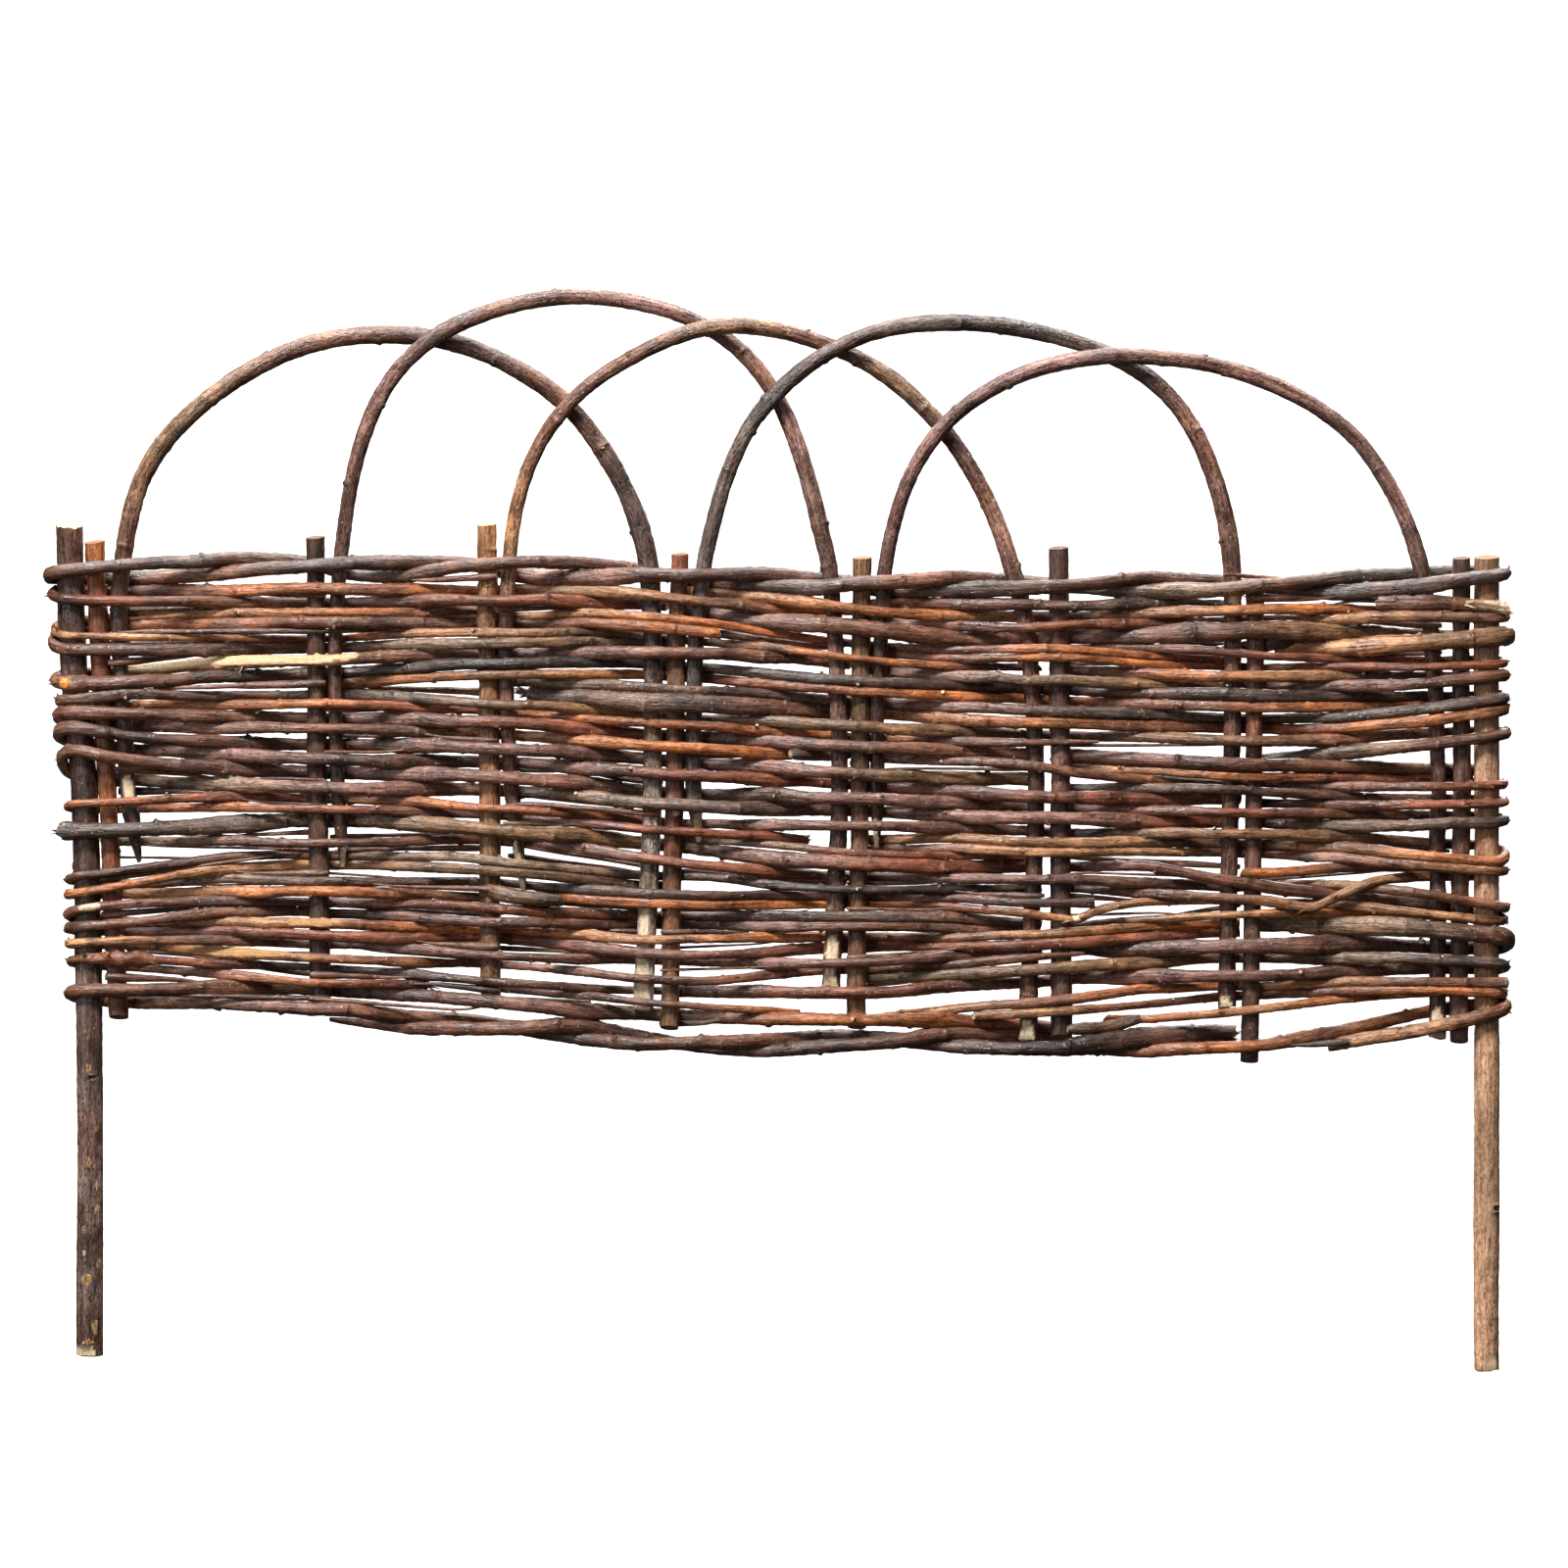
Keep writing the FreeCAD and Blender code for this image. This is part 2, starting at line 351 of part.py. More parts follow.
        (-133.5, 402.8, 4, -0.01, 0), (-170.7, 405.9, 3, -1, 0), (-209, 407.7, 3, -1, 0), (-251.2, 409.3, 3, 0, 0),
        (-293.5, 410.6, 2, 1, 0), (-326.4, 411.2, 2, 1, 0), (-381.1, 413.5, 2, -0.08, 0), (-435.8, 417.7, 1, -1, 0),
        (-491.8, 427.3, 1, -1, "W"), (-490.2, 409.3, 1, 1, "W"), (-435.8, 404.1, 1, 1, 0),
        (-381.1, 402.5, 2, 0.08, 0), (-326.4, 400.2, 2, -1, 0), (-293.5, 399.2, 2, -1, 0), (-251.2, 399.1, 3, 0, 0),
        (-209, 399, 3, 1, 0), (-170.7, 396.9, 3, 1, 0), (-133.5, 394.1, 4, 0.01, 0), (-96.2, 390.1, 4, -1, 0),
        (-49.3, 387, 4, -1, 0), (-8.7, 385.8, 4, 0, 0), (31.9, 385.1, 5, 1, 0), (75.5, 383, 5, 1, 0),
        (120.5, 381.1, 5, -0.02, 0), (165.5, 379.4, 6, -1, 0), (200.3, 378.8, 6, -1, 0), (250.3, 376.9, 6, -0.02, 0),
        (300.3, 376.5, 7, 1, 0), (315.8, 377.1, 7, 1, 0),
    ],
    "left_weaver_10": [
        (-74.8, 376, 4, 1, 0), (-96.2, 377.5, 4, 1, 0), (-133.5, 381.8, 4, -0.01, 0), (-170.7, 384.3, 3, -1, 0),
        (-209, 386.8, 3, -1, 0), (-251.2, 390.8, 3, 0, 0), (-293.5, 391.4, 2, 1, 0), (-326.4, 392.4, 2, 1, 0),
        (-381.1, 394.4, 2, -0.09, 0), (-435.8, 390.8, 1, -1, 0), (-488, 388.5, 1, -1, "W"), (-488, 385.1, 1, 1, "W"),
        (-435.8, 385.2, 1, 1, 0), (-381.1, 386.5, 2, 0.09, 0), (-326.4, 385.7, 2, -1, 0), (-293.5, 384.4, 2, -1, 0),
        (-251.2, 383.6, 3, 0, 0), (-209, 381.9, 3, 1, 0), (-170.7, 379.6, 3, 1, 0), (-133.5, 375.9, 4, 0.01, 0),
        (-96.2, 371.4, 4, -1, 0), (-49.3, 368.4, 4, -1, 0), (-8.7, 366.6, 4, 0, 0), (19.2, 364.2, 5, 0.68, 0),
    ],
    "left_weaver_11": [
        (180.2, 330.1, 6, 1, 0), (165.5, 330.6, 6, 1, 0), (120.5, 330, 5, 0.03, 0), (75.5, 330.2, 5, -1, 0),
        (31.9, 330.8, 5, -1, 0), (-8.7, 334.1, 4, 0, 0), (-49.3, 338.8, 4, 1, 0), (-96.2, 340.4, 4, 1, 0),
        (-133.5, 344, 4, -0.01, 0), (-170.7, 348.1, 3, -1, 0), (-209, 352.2, 3, -1, 0), (-251.2, 353.7, 3, 0, 0),
        (-293.5, 354.1, 2, 1, 0), (-326.4, 354.9, 2, 1, 0), (-381.1, 353.1, 2, -0.09, 0), (-435.8, 345.5, 1, -1, 0),
        (-486.8, 338.5, 1, -1, "W"), (-486.7, 335.5, 1, 1, "W"), (-435.8, 334.7, 1, 1, 0),
        (-381.1, 337.4, 2, 0.09, 0), (-326.4, 336.9, 2, -1, 0), (-293.5, 336.1, 2, -1, 0), (-251.2, 335.6, 3, 0, 0),
        (-209, 335.5, 3, 1, 0), (-170.7, 333.7, 3, 1, 0), (-133.5, 330.5, 4, 0.01, 0), (-96.2, 328.2, 4, -1, 0),
        (-49.3, 326.3, 4, -1, 0), (-8.7, 326.9, 4, 0, 0), (31.9, 325.8, 5, 1, 0), (75.5, 325.5, 5, 1, 0),
        (120.5, 324.5, 5, -0.03, 0), (165.5, 321.9, 6, -1, 0), (200.3, 321.3, 6, -1, 0), (215.1, 321.9, 6, -0.71, 0),
    ],
    "left_weaver_12": [
        (-74.8, 331.8, 4, 1, 0), (-96.2, 332.8, 4, 1, 0), (-133.5, 337, 4, -0.01, 0), (-170.7, 340.8, 3, -1, 0),
        (-209, 343.6, 3, -1, 0), (-251.2, 345.9, 3, 0, 0), (-293.5, 346.9, 2, 1, 0), (-326.4, 346.8, 2, 1, 0),
        (-381.1, 344.6, 2, -0.09, 0), (-435.8, 335.5, 1, -1, 0), (-486.8, 326.9, 1, -1, "W"),
        (-486.9, 326.8, 1, 1, "W"), (-435.8, 327.4, 1, 1, 0), (-381.1, 328.5, 2, 0.09, 0), (-326.4, 329, 2, -1, 0),
        (-293.5, 328.2, 2, -1, 0), (-251.2, 326.9, 3, 0, 0), (-209, 324.8, 3, 1, 0), (-200.2, 324.5, 3, 1, 0),
    ],
    "left_weaver_13": [
        (180.2, 306.5, 6, 1, 0), (165.5, 307.8, 6, 1, 0), (120.5, 311.4, 5, 0.02, 0), (75.5, 312.3, 5, -1, 0),
        (31.9, 312.8, 5, -1, 0), (-8.7, 312.8, 4, 0, 0), (-49.3, 312.6, 4, 1, 0), (-96.2, 312.4, 4, 1, 0),
        (-133.5, 314.5, 4, -0.01, 0), (-170.7, 316.5, 3, -1, 0), (-209, 318.5, 3, -1, 0), (-251.2, 320.8, 3, 0, 0),
        (-293.5, 320.9, 2, 1, 0), (-326.4, 321, 2, 1, 0), (-381.1, 322.4, 2, -0.09, 0), (-435.8, 321.4, 1, -1, 0),
        (-486.6, 316.1, 1, -1, "W"), (-486.5, 311, 1, 1, "W"), (-435.8, 307.8, 1, 1, 0), (-381.1, 308.8, 2, 0.09, 0),
        (-326.4, 308.4, 2, -1, 0), (-293.5, 307.4, 2, -1, 0), (-251.2, 305, 3, 0, 0), (-209, 303.1, 3, 1, 0),
        (-170.7, 301.7, 3, 1, 0), (-133.5, 300.4, 4, 0.01, 0), (-96.2, 296.3, 4, -1, 0), (-49.3, 296.4, 4, -1, 0),
        (-8.7, 297.4, 4, 0, 0), (31.9, 297.8, 5, 1, 0), (75.5, 297.7, 5, 1, 0), (120.5, 297.6, 5, -0.02, 0),
        (165.5, 299.5, 6, -1, 0), (200.3, 301.1, 6, -1, 0), (250.3, 304.1, 6, -0.03, 0), (300.3, 307.1, 7, 1, 0),
        (315.8, 307.2, 7, 1, 0),
    ],
    "left_weaver_14": [
        (180.2, 298.1, 6, 1, 0), (165.5, 300.9, 6, 1, 0), (120.5, 303.9, 5, 0.02, 0), (75.5, 304.9, 5, -1, 0),
        (31.9, 304.9, 5, -1, 0), (-8.7, 305.1, 4, 0, 0), (-49.3, 305.8, 4, 1, 0), (-96.2, 306.1, 4, 1, 0),
        (-133.5, 306.5, 4, -0.01, 0), (-170.7, 307.3, 3, -1, 0), (-209, 308.4, 3, -1, 0), (-251.2, 311.3, 3, 0, 0),
        (-293.5, 313.4, 2, 1, 0), (-326.4, 314.8, 2, 1, 0), (-381.1, 315, 2, -0.09, 0), (-435.8, 308.6, 1, -1, 0),
        (-486.5, 304.8, 1, -1, "W"), (-486.4, 302.9, 1, 1, "W"), (-435.8, 301.6, 1, 1, 0),
        (-381.1, 302.2, 2, 0.09, 0), (-326.4, 299.4, 2, -1, 0), (-293.5, 297.8, 2, -1, 0), (-251.2, 296.7, 3, 0, 0),
        (-209, 297, 3, 1, 0), (-170.7, 294.8, 3, 1, 0), (-133.5, 291.7, 4, 0.01, 0), (-96.2, 287.1, 4, -1, 0),
        (-49.3, 285.8, 4, -1, 0), (-8.7, 287.5, 4, 0, 0), (31.9, 289.9, 5, 1, 0), (75.5, 291.3, 5, 1, 0),
        (120.5, 291.4, 5, -0.02, 0), (165.5, 291.8, 6, -1, 0), (200.3, 293.4, 6, -1, 0), (250.3, 297.9, 6, -0.03, 0),
        (300.3, 300.3, 7, 1, 0), (315.8, 301.1, 7, 1, 0),
    ],
    "left_weaver_15": [
        (180.2, 288.4, 6, 1, 0), (165.5, 288.1, 6, 1, 0), (120.5, 285.2, 5, 0.02, 0), (75.5, 281.6, 5, -1, 0),
        (31.9, 279.8, 5, -1, 0), (-8.7, 279.4, 4, 0, 0), (-49.3, 280.6, 4, 1, 0), (-96.2, 281.7, 4, 1, 0),
        (-133.5, 283, 4, -0.01, 0), (-170.7, 284.1, 3, -1, 0), (-209, 286.2, 3, -1, 0), (-251.2, 289.6, 3, 0, 0),
        (-293.5, 292.6, 2, 1, 0), (-326.4, 293.2, 2, 1, 0), (-381.1, 295.9, 2, -0.09, 0), (-435.8, 296.1, 1, -1, 0),
        (-486.1, 293.5, 1, -1, "W"), (-486.1, 291.9, 1, 1, "W"), (-435.8, 292.2, 1, 1, 0),
        (-381.1, 287.3, 2, 0.09, 0), (-326.4, 284, 2, -1, 0), (-293.5, 282.8, 2, -1, 0), (-251.2, 280.7, 3, 0, 0),
        (-209, 279.6, 3, 1, 0), (-170.7, 277.2, 3, 1, 0), (-133.5, 273.9, 4, 0.01, 0), (-96.2, 269.5, 4, -1, 0),
        (-49.3, 267.5, 4, -1, 0), (-8.7, 271.1, 4, 0, 0), (31.9, 275, 5, 1, 0), (75.5, 276.6, 5, 1, 0),
        (120.5, 278.9, 5, -0.02, 0), (165.5, 283.2, 6, -1, 0), (200.3, 286.1, 6, -1, 0), (208.4, 286.7, 6, -0.84, 0),
    ],
    "left_weaver_16": [
        (-74.8, 260.4, 4, 1, 0), (-96.2, 260.6, 4, 1, 0), (-133.5, 263.1, 4, -0.01, 0), (-170.7, 265.8, 3, -1, 0),
        (-209, 268.9, 3, -1, 0), (-251.2, 272.5, 3, 0, 0), (-293.5, 275.3, 2, 1, 0), (-326.4, 277.2, 2, 1, 0),
        (-381.1, 279.1, 2, -0.09, 0), (-435.8, 283.2, 1, -1, 0), (-485.7, 283.4, 1, -1, "W"),
        (-485.6, 279.1, 1, 1, "W"), (-435.8, 276.2, 1, 1, 0), (-381.1, 272.7, 2, 0.09, 0), (-326.4, 267.9, 2, -1, 0),
        (-293.5, 266.3, 2, -1, 0), (-251.2, 265, 3, 0, 0), (-240.5, 264.8, 3, 0.25, 0),
    ],
    "left_weaver_17": [
        (200.3, 234, 6, 1, 0), (165.5, 238.1, 6, 1, 0), (120.5, 240.4, 5, 0.02, 0), (75.5, 241.2, 5, -1, 0),
        (31.9, 241.6, 5, -1, 0), (-8.7, 241.5, 4, 0, 0), (-49.3, 242.7, 4, 1, 0), (-96.2, 244.5, 4, 1, 0),
        (-133.5, 247.3, 4, -0.01, 0), (-170.7, 251, 3, -1, 0), (-209, 254.7, 3, -1, 0), (-251.2, 258.3, 3, 0, 0),
        (-293.5, 259.8, 2, 1, 0), (-326.4, 262.7, 2, 1, 0), (-381.1, 263.6, 2, -0.08, 0), (-435.8, 261.6, 1, -1, 0),
        (-486.3, 261.1, 1, -1, "W"), (-486.2, 256.3, 1, 1, "W"), (-435.8, 252.7, 1, 1, 0),
        (-381.1, 252.1, 2, 0.08, 0), (-326.4, 249.5, 2, -1, 0), (-293.5, 247.5, 2, -1, 0), (-251.2, 243.2, 3, 0, 0),
        (-209, 239.6, 3, 1, 0), (-170.7, 233.4, 3, 1, 0), (-133.5, 227.8, 4, 0.01, 0), (-96.2, 225.1, 4, -1, 0),
        (-49.3, 225.8, 4, -1, 0), (-8.7, 227.4, 4, 0, 0), (31.9, 229.5, 5, 1, 0), (75.5, 227.6, 5, 1, 0),
        (120.5, 222.6, 5, -0.02, 0), (165.5, 221.6, 6, -1, 0), (200.3, 222.1, 6, -1, 0), (250.3, 227.5, 6, -0.03, 0),
        (300.3, 230, 7, 1, 0), (313.1, 230.2, 7, 1, 0),
    ],
    "right_weaver_01": [
        (56.8, 538.6, 5, 1, 0), (75.5, 535.7, 5, 1, 0), (120.5, 536, 5, -0.02, 0), (165.5, 537.1, 6, -1, 0),
        (200.3, 538.1, 6, -1, 0), (250.3, 544.5, 6, -0.02, 0), (300.3, 542.2, 7, 1, 0), (333.2, 538.3, 7, 1, 0),
        (387.2, 533.6, 7, -0.12, 0), (441.2, 538.7, 8, -1, 0), (497.8, 545.5, 8, -1, "W"), (497.8, 548.9, 8, 1, "W"),
        (441.2, 548, 8, 1, 0), (387.2, 544.8, 7, 0.12, 0), (333.2, 538.2, 7, -1, 0), (300.3, 534.3, 7, -1, 0),
        (250.3, 534.8, 6, 0.02, 0), (200.3, 538.5, 6, 1, 0), (165.5, 542.1, 6, 1, 0), (120.5, 545.3, 5, 0.02, 0),
        (75.5, 541.1, 5, -1, 0), (31.9, 537.4, 5, -1, 0), (-8.7, 538, 4, 0, 0), (-49.3, 540.8, 4, 1, 0),
        (-69.4, 544, 4, 1, 0),
    ],
    "right_weaver_02": [
        (59.4, 515, 5, 1, 0), (75.5, 514.6, 5, 1, 0), (120.5, 510.7, 5, -0.02, 0), (165.5, 509.1, 6, -1, 0),
        (200.3, 511.6, 6, -1, 0), (250.3, 512.5, 6, -0.03, 0), (300.3, 513.6, 7, 1, 0), (333.2, 514.9, 7, 1, 0),
        (387.2, 515.4, 7, -0.14, 0), (441.2, 516.9, 8, -1, 0), (496.8, 515.5, 8, -1, "W"), (496.8, 519.4, 8, 1, "W"),
        (441.2, 521.1, 8, 1, 0), (387.2, 522.3, 7, 0.14, 0), (333.2, 522.4, 7, -1, 0), (300.3, 520.8, 7, -1, 0),
        (250.3, 519.4, 6, 0.03, 0), (200.3, 517.5, 6, 1, 0), (165.5, 517.5, 6, 1, 0), (120.5, 518, 5, 0.02, 0),
        (75.5, 520, 5, -1, 0), (31.9, 525, 5, -1, 0), (-8.7, 530.1, 4, 0, 0), (-49.3, 532.4, 4, 1, 0),
        (-69.4, 535.4, 4, 1, 0),
    ],
    "right_weaver_03": [
        (339.9, 496.8, 7, 0.86, 0), (387.2, 496.2, 7, -0.12, 0), (441.2, 498.9, 8, -1, 0),
        (498.5, 503.2, 8, -1, "W"), (498.5, 503.2, 8, 1, "W"), (441.2, 503.8, 8, 1, 0), (387.2, 506.5, 7, 0.12, 0),
        (333.2, 507.4, 7, -1, 0), (300.3, 505.6, 7, -1, 0), (250.3, 503.8, 6, 0.02, 0), (200.3, 503.9, 6, 1, 0),
        (165.5, 501, 6, 1, 0), (120.5, 502.1, 5, 0.02, 0), (75.5, 505.9, 5, -1, 0), (31.9, 510.4, 5, -1, 0),
        (-8.7, 513.9, 4, 0, 0), (-49.3, 519.8, 4, 1, 0), (-69.4, 523, 4, 1, 0),
    ],
    "right_weaver_04": [
        (59.4, 491.8, 5, 1, 0), (75.5, 491.2, 5, 1, 0), (120.5, 488.8, 5, -0.03, 0), (165.5, 488.5, 6, -1, 0),
        (200.3, 489, 6, -1, 0), (250.3, 484.9, 6, -0.03, 0), (300.3, 483.2, 7, 1, 0), (333.2, 482.3, 7, 1, 0),
        (387.2, 482.9, 7, -0.15, 0), (441.2, 482.9, 8, -1, 0), (496.1, 484.5, 8, -1, "W"), (496.1, 487.8, 8, 1, "W"),
        (441.2, 487.7, 8, 1, 0), (387.2, 488.1, 7, 0.15, 0), (333.2, 490.2, 7, -1, 0), (300.3, 493.4, 7, -1, 0),
        (250.3, 496, 6, 0.03, 0), (200.3, 494.9, 6, 1, 0), (193.6, 494.9, 6, 1, 0),
    ],
    "right_weaver_05": [
        (56.8, 482.5, 5, 1, 0), (75.5, 480.3, 5, 1, 0), (120.5, 477, 5, -0.02, 0), (165.5, 474.4, 6, -1, 0),
        (200.3, 473.4, 6, -1, 0), (250.3, 471.3, 6, -0.03, 0), (300.3, 470.7, 7, 1, 0), (333.2, 469.5, 7, 1, 0),
        (387.2, 469.2, 7, -0.14, 0), (441.2, 471.3, 8, -1, 0), (496.9, 475.7, 8, -1, "W"), (496.9, 476.4, 8, 1, "W"),
        (441.2, 476.4, 8, 1, 0), (387.2, 476.5, 7, 0.14, 0), (333.2, 476.1, 7, -1, 0), (300.3, 475.8, 7, -1, 0),
        (250.3, 478.6, 6, 0.03, 0), (200.3, 481.1, 6, 1, 0), (186.9, 481.8, 6, 1, 0),
    ],
    "right_weaver_06": [
        (-195.5, 472.4, 3, 1, 0), (-170.7, 473.1, 3, 1, 0), (-133.5, 471.2, 4, 0.01, 0), (-96.2, 469.1, 4, -1, 0),
        (-49.3, 466.1, 4, -1, 0), (-8.7, 464.6, 4, 0, 0), (31.9, 461, 5, 1, 0), (75.5, 457.6, 5, 1, 0),
        (120.5, 456.1, 5, -0.02, 0), (165.5, 453.8, 6, -1, 0), (200.3, 452.5, 6, -1, 0), (250.3, 450.7, 6, -0.03, 0),
        (300.3, 448.2, 7, 1, 0), (333.2, 447.1, 7, 1, 0), (387.2, 448.8, 7, -0.14, 0), (441.2, 454.9, 8, -1, 0),
        (496.7, 462.3, 8, -1, "W"), (496.7, 463.5, 8, 1, "W"), (441.2, 463.2, 8, 1, 0), (387.2, 462.1, 7, 0.14, 0),
        (333.2, 463.3, 7, -1, 0), (300.3, 464.4, 7, -1, 0), (250.3, 464.3, 6, 0.03, 0), (200.3, 466.6, 6, 1, 0),
        (165.5, 468.1, 6, 1, 0), (120.5, 470.1, 5, 0.02, 0), (75.5, 471.1, 5, -1, 0), (31.9, 474.5, 5, -1, 0),
        (-8.7, 478.2, 4, 0, 0), (-49.3, 482, 4, 1, 0), (-69.4, 483.2, 4, 1, 0),
    ],
    "right_weaver_07": [
        (59.4, 451.3, 5, 1, 0), (75.5, 450.3, 5, 1, 0), (120.5, 446.4, 5, -0.02, 0), (165.5, 444.1, 6, -1, 0),
        (200.3, 443.8, 6, -1, 0), (250.3, 442.3, 6, -0.03, 0), (300.3, 441.3, 7, 1, 0), (333.2, 440.4, 7, 1, 0),
        (387.2, 441.3, 7, -0.14, 0), (441.2, 445.1, 8, -1, 0), (496.6, 452.2, 8, -1, "W"), (496.6, 455.8, 8, 1, "W"),
        (441.2, 456.2, 8, 1, 0), (387.2, 455.4, 7, 0.14, 0), (333.2, 454.2, 7, -1, 0), (300.3, 454.9, 7, -1, 0),
        (250.3, 457.4, 6, 0.03, 0), (200.3, 459.9, 6, 1, 0), (165.5, 461.3, 6, 1, 0), (120.5, 462.8, 5, 0.02, 0),
        (75.5, 464.5, 5, -1, 0), (31.9, 467.2, 5, -1, 0), (-8.7, 471.3, 4, 0, 0), (-49.3, 475.1, 4, 1, 0),
        (-96.2, 477.9, 4, 1, 0), (-133.5, 477.9, 4, -0.01, 0), (-170.7, 477.7, 3, -1, 0), (-209, 476.5, 3, -1, 0),
        (-251.2, 474.4, 3, 0, 0), (-293.5, 472.5, 2, 1, 0), (-315, 471.3, 2, 1, 0),
    ],
    "right_weaver_08": [
        (319.8, 418.7, 7, 1, 0), (333.2, 419.3, 7, 1, 0), (387.2, 423.8, 7, -0.13, 0), (441.2, 429.4, 8, -1, 0),
        (497.1, 436.1, 8, -1, "W"), (497.1, 438.8, 8, 1, "W"), (441.2, 437.6, 8, 1, 0), (387.2, 433.7, 7, 0.13, 0),
        (333.2, 431.9, 7, -1, 0), (300.3, 432.6, 7, -1, 0), (250.3, 434.5, 6, 0.03, 0), (200.3, 435.7, 6, 1, 0),
        (165.5, 437, 6, 1, 0), (120.5, 439.1, 5, 0.02, 0), (75.5, 441.1, 5, -1, 0), (31.9, 443.2, 5, -1, 0),
        (-8.7, 445.9, 4, 0, 0), (-49.3, 447.1, 4, 1, 0), (-69.4, 447.8, 4, 1, 0),
    ],
    "right_weaver_09": [
        (59.4, 421.1, 5, 1, 0), (75.5, 420.2, 5, 1, 0), (120.5, 418.2, 5, -0.02, 0), (165.5, 416.3, 6, -1, 0),
        (200.3, 410.4, 6, -1, 0), (250.3, 405.9, 6, -0.03, 0), (300.3, 403.2, 7, 1, 0), (333.2, 401.6, 7, 1, 0),
        (387.2, 400.8, 7, -0.14, 0), (441.2, 400.9, 8, -1, 0), (496.4, 401.9, 8, -1, "W"), (496.4, 403.2, 8, 1, "W"),
        (441.2, 404.9, 8, 1, 0), (387.2, 407, 7, 0.14, 0), (333.2, 407.4, 7, -1, 0), (300.3, 408.4, 7, -1, 0),
        (250.3, 412.2, 6, 0.03, 0), (200.3, 413.9, 6, 1, 0), (193.6, 413.8, 6, 1, 0),
    ],
    "right_weaver_10": [
        (322.5, 390.4, 7, 1, 0), (333.2, 389.7, 7, 1, 0), (387.2, 388.1, 7, -0.14, 0), (441.2, 388.2, 8, -1, 0),
        (496.5, 389.2, 8, -1, "W"), (496.5, 391.9, 8, 1, "W"), (441.2, 392.3, 8, 1, 0), (387.2, 394.3, 7, 0.14, 0),
        (333.2, 397.1, 7, -1, 0), (300.3, 398.6, 7, -1, 0), (250.3, 399.6, 6, 0.03, 0), (200.3, 399.5, 6, 1, 0),
        (186.9, 399.6, 6, 1, 0),
    ],
    "right_weaver_11": [
        (322.5, 377, 7, 1, 0), (333.2, 376.2, 7, 1, 0), (387.2, 374.1, 7, -0.14, 0), (441.2, 374.5, 8, -1, 0),
        (496.9, 377.1, 8, -1, "W"), (496.9, 379.8, 8, 1, "W"), (441.2, 381, 8, 1, 0), (387.2, 381.5, 7, 0.14, 0),
        (333.2, 382.3, 7, -1, 0), (300.3, 384.1, 7, -1, 0), (250.3, 384.7, 6, 0.03, 0), (200.3, 385.7, 6, 1, 0),
        (186.9, 386.3, 6, 1, 0),
    ],
    "right_weaver_12": [
        (59.4, 364.4, 5, 1, 0), (75.5, 364.6, 5, 1, 0), (120.5, 365.3, 5, -0.02, 0), (165.5, 363.7, 6, -1, 0),
        (200.3, 362.9, 6, -1, 0), (250.3, 362.5, 6, -0.03, 0), (300.3, 362.4, 7, 1, 0), (333.2, 361.5, 7, 1, 0),
        (387.2, 359.4, 7, -0.14, 0), (441.2, 353.5, 8, -1, 0), (496.7, 349.6, 8, -1, "W"), (496.7, 359.7, 8, 1, "W"),
        (441.2, 362.4, 8, 1, 0), (387.2, 366.2, 7, 0.14, 0), (333.2, 368.4, 7, -1, 0), (300.3, 368.8, 7, -1, 0),
        (250.3, 369.3, 6, 0.03, 0), (200.3, 368.7, 6, 1, 0), (165.5, 369.9, 6, 1, 0), (120.5, 372.1, 5, 0.02, 0),
        (75.5, 374, 5, -1, 0), (31.9, 374.5, 5, -1, 0), (-8.7, 374.9, 4, 0, 0), (-49.3, 375.3, 4, 1, 0),
        (-69.4, 375.1, 4, 1, 0),
    ],
    "right_weaver_13": [
        (59.4, 357.8, 5, 1, 0), (75.5, 358.2, 5, 1, 0), (120.5, 358.6, 5, -0.02, 0), (165.5, 356.4, 6, -1, 0),
        (200.3, 355.2, 6, -1, 0), (250.3, 356.1, 6, -0.03, 0), (300.3, 355.8, 7, 1, 0), (333.2, 354.8, 7, 1, 0),
        (387.2, 351.6, 7, -0.14, 0), (441.2, 346, 8, -1, 0), (496.4, 341.5, 8, -1, "W"), (496.4, 345, 8, 1, "W"),
        (441.2, 346.3, 8, 1, 0), (387.2, 345.6, 7, 0.14, 0), (333.2, 342.4, 7, -1, 0), (314.4, 342.8, 7, -1, 0),
    ],
    "right_weaver_14": [
        (-466.6, 362.5, 1, 1, 0), (-435.8, 363.6, 1, 1, 0), (-381.1, 364.6, 2, 0.09, 0), (-326.4, 362.2, 2, -1, 0),
        (-293.5, 361.8, 2, -1, 0), (-251.2, 363.4, 3, 0, 0), (-209, 364.8, 3, 1, 0), (-170.7, 361.9, 3, 1, 0),
        (-133.5, 357.5, 4, 0.01, 0), (-96.2, 352.3, 4, -1, 0), (-49.3, 346.2, 4, -1, 0), (-8.7, 343, 4, 0, 0),
        (31.9, 340.1, 5, 1, 0), (75.5, 338.8, 5, 1, 0), (120.5, 337.9, 5, -0.02, 0), (165.5, 337.3, 6, -1, 0),
        (200.3, 337.3, 6, -1, 0), (250.3, 335.1, 6, -0.03, 0), (300.3, 332.1, 7, 1, 0), (333.2, 333.1, 7, 1, 0),
        (387.2, 333.3, 7, -0.14, 0), (441.2, 327, 8, -1, 0), (496.7, 318.7, 8, -1, "W"), (496.7, 319.4, 8, 1, "W"),
        (441.2, 320.9, 8, 1, 0), (387.2, 325.4, 7, 0.14, 0), (333.2, 332.4, 7, -1, 0), (300.3, 337.8, 7, -1, 0),
        (250.3, 346.1, 6, 0.03, 0), (200.3, 346.1, 6, 1, 0), (186.9, 346.4, 6, 1, 0),
    ],
    "right_weaver_15": [
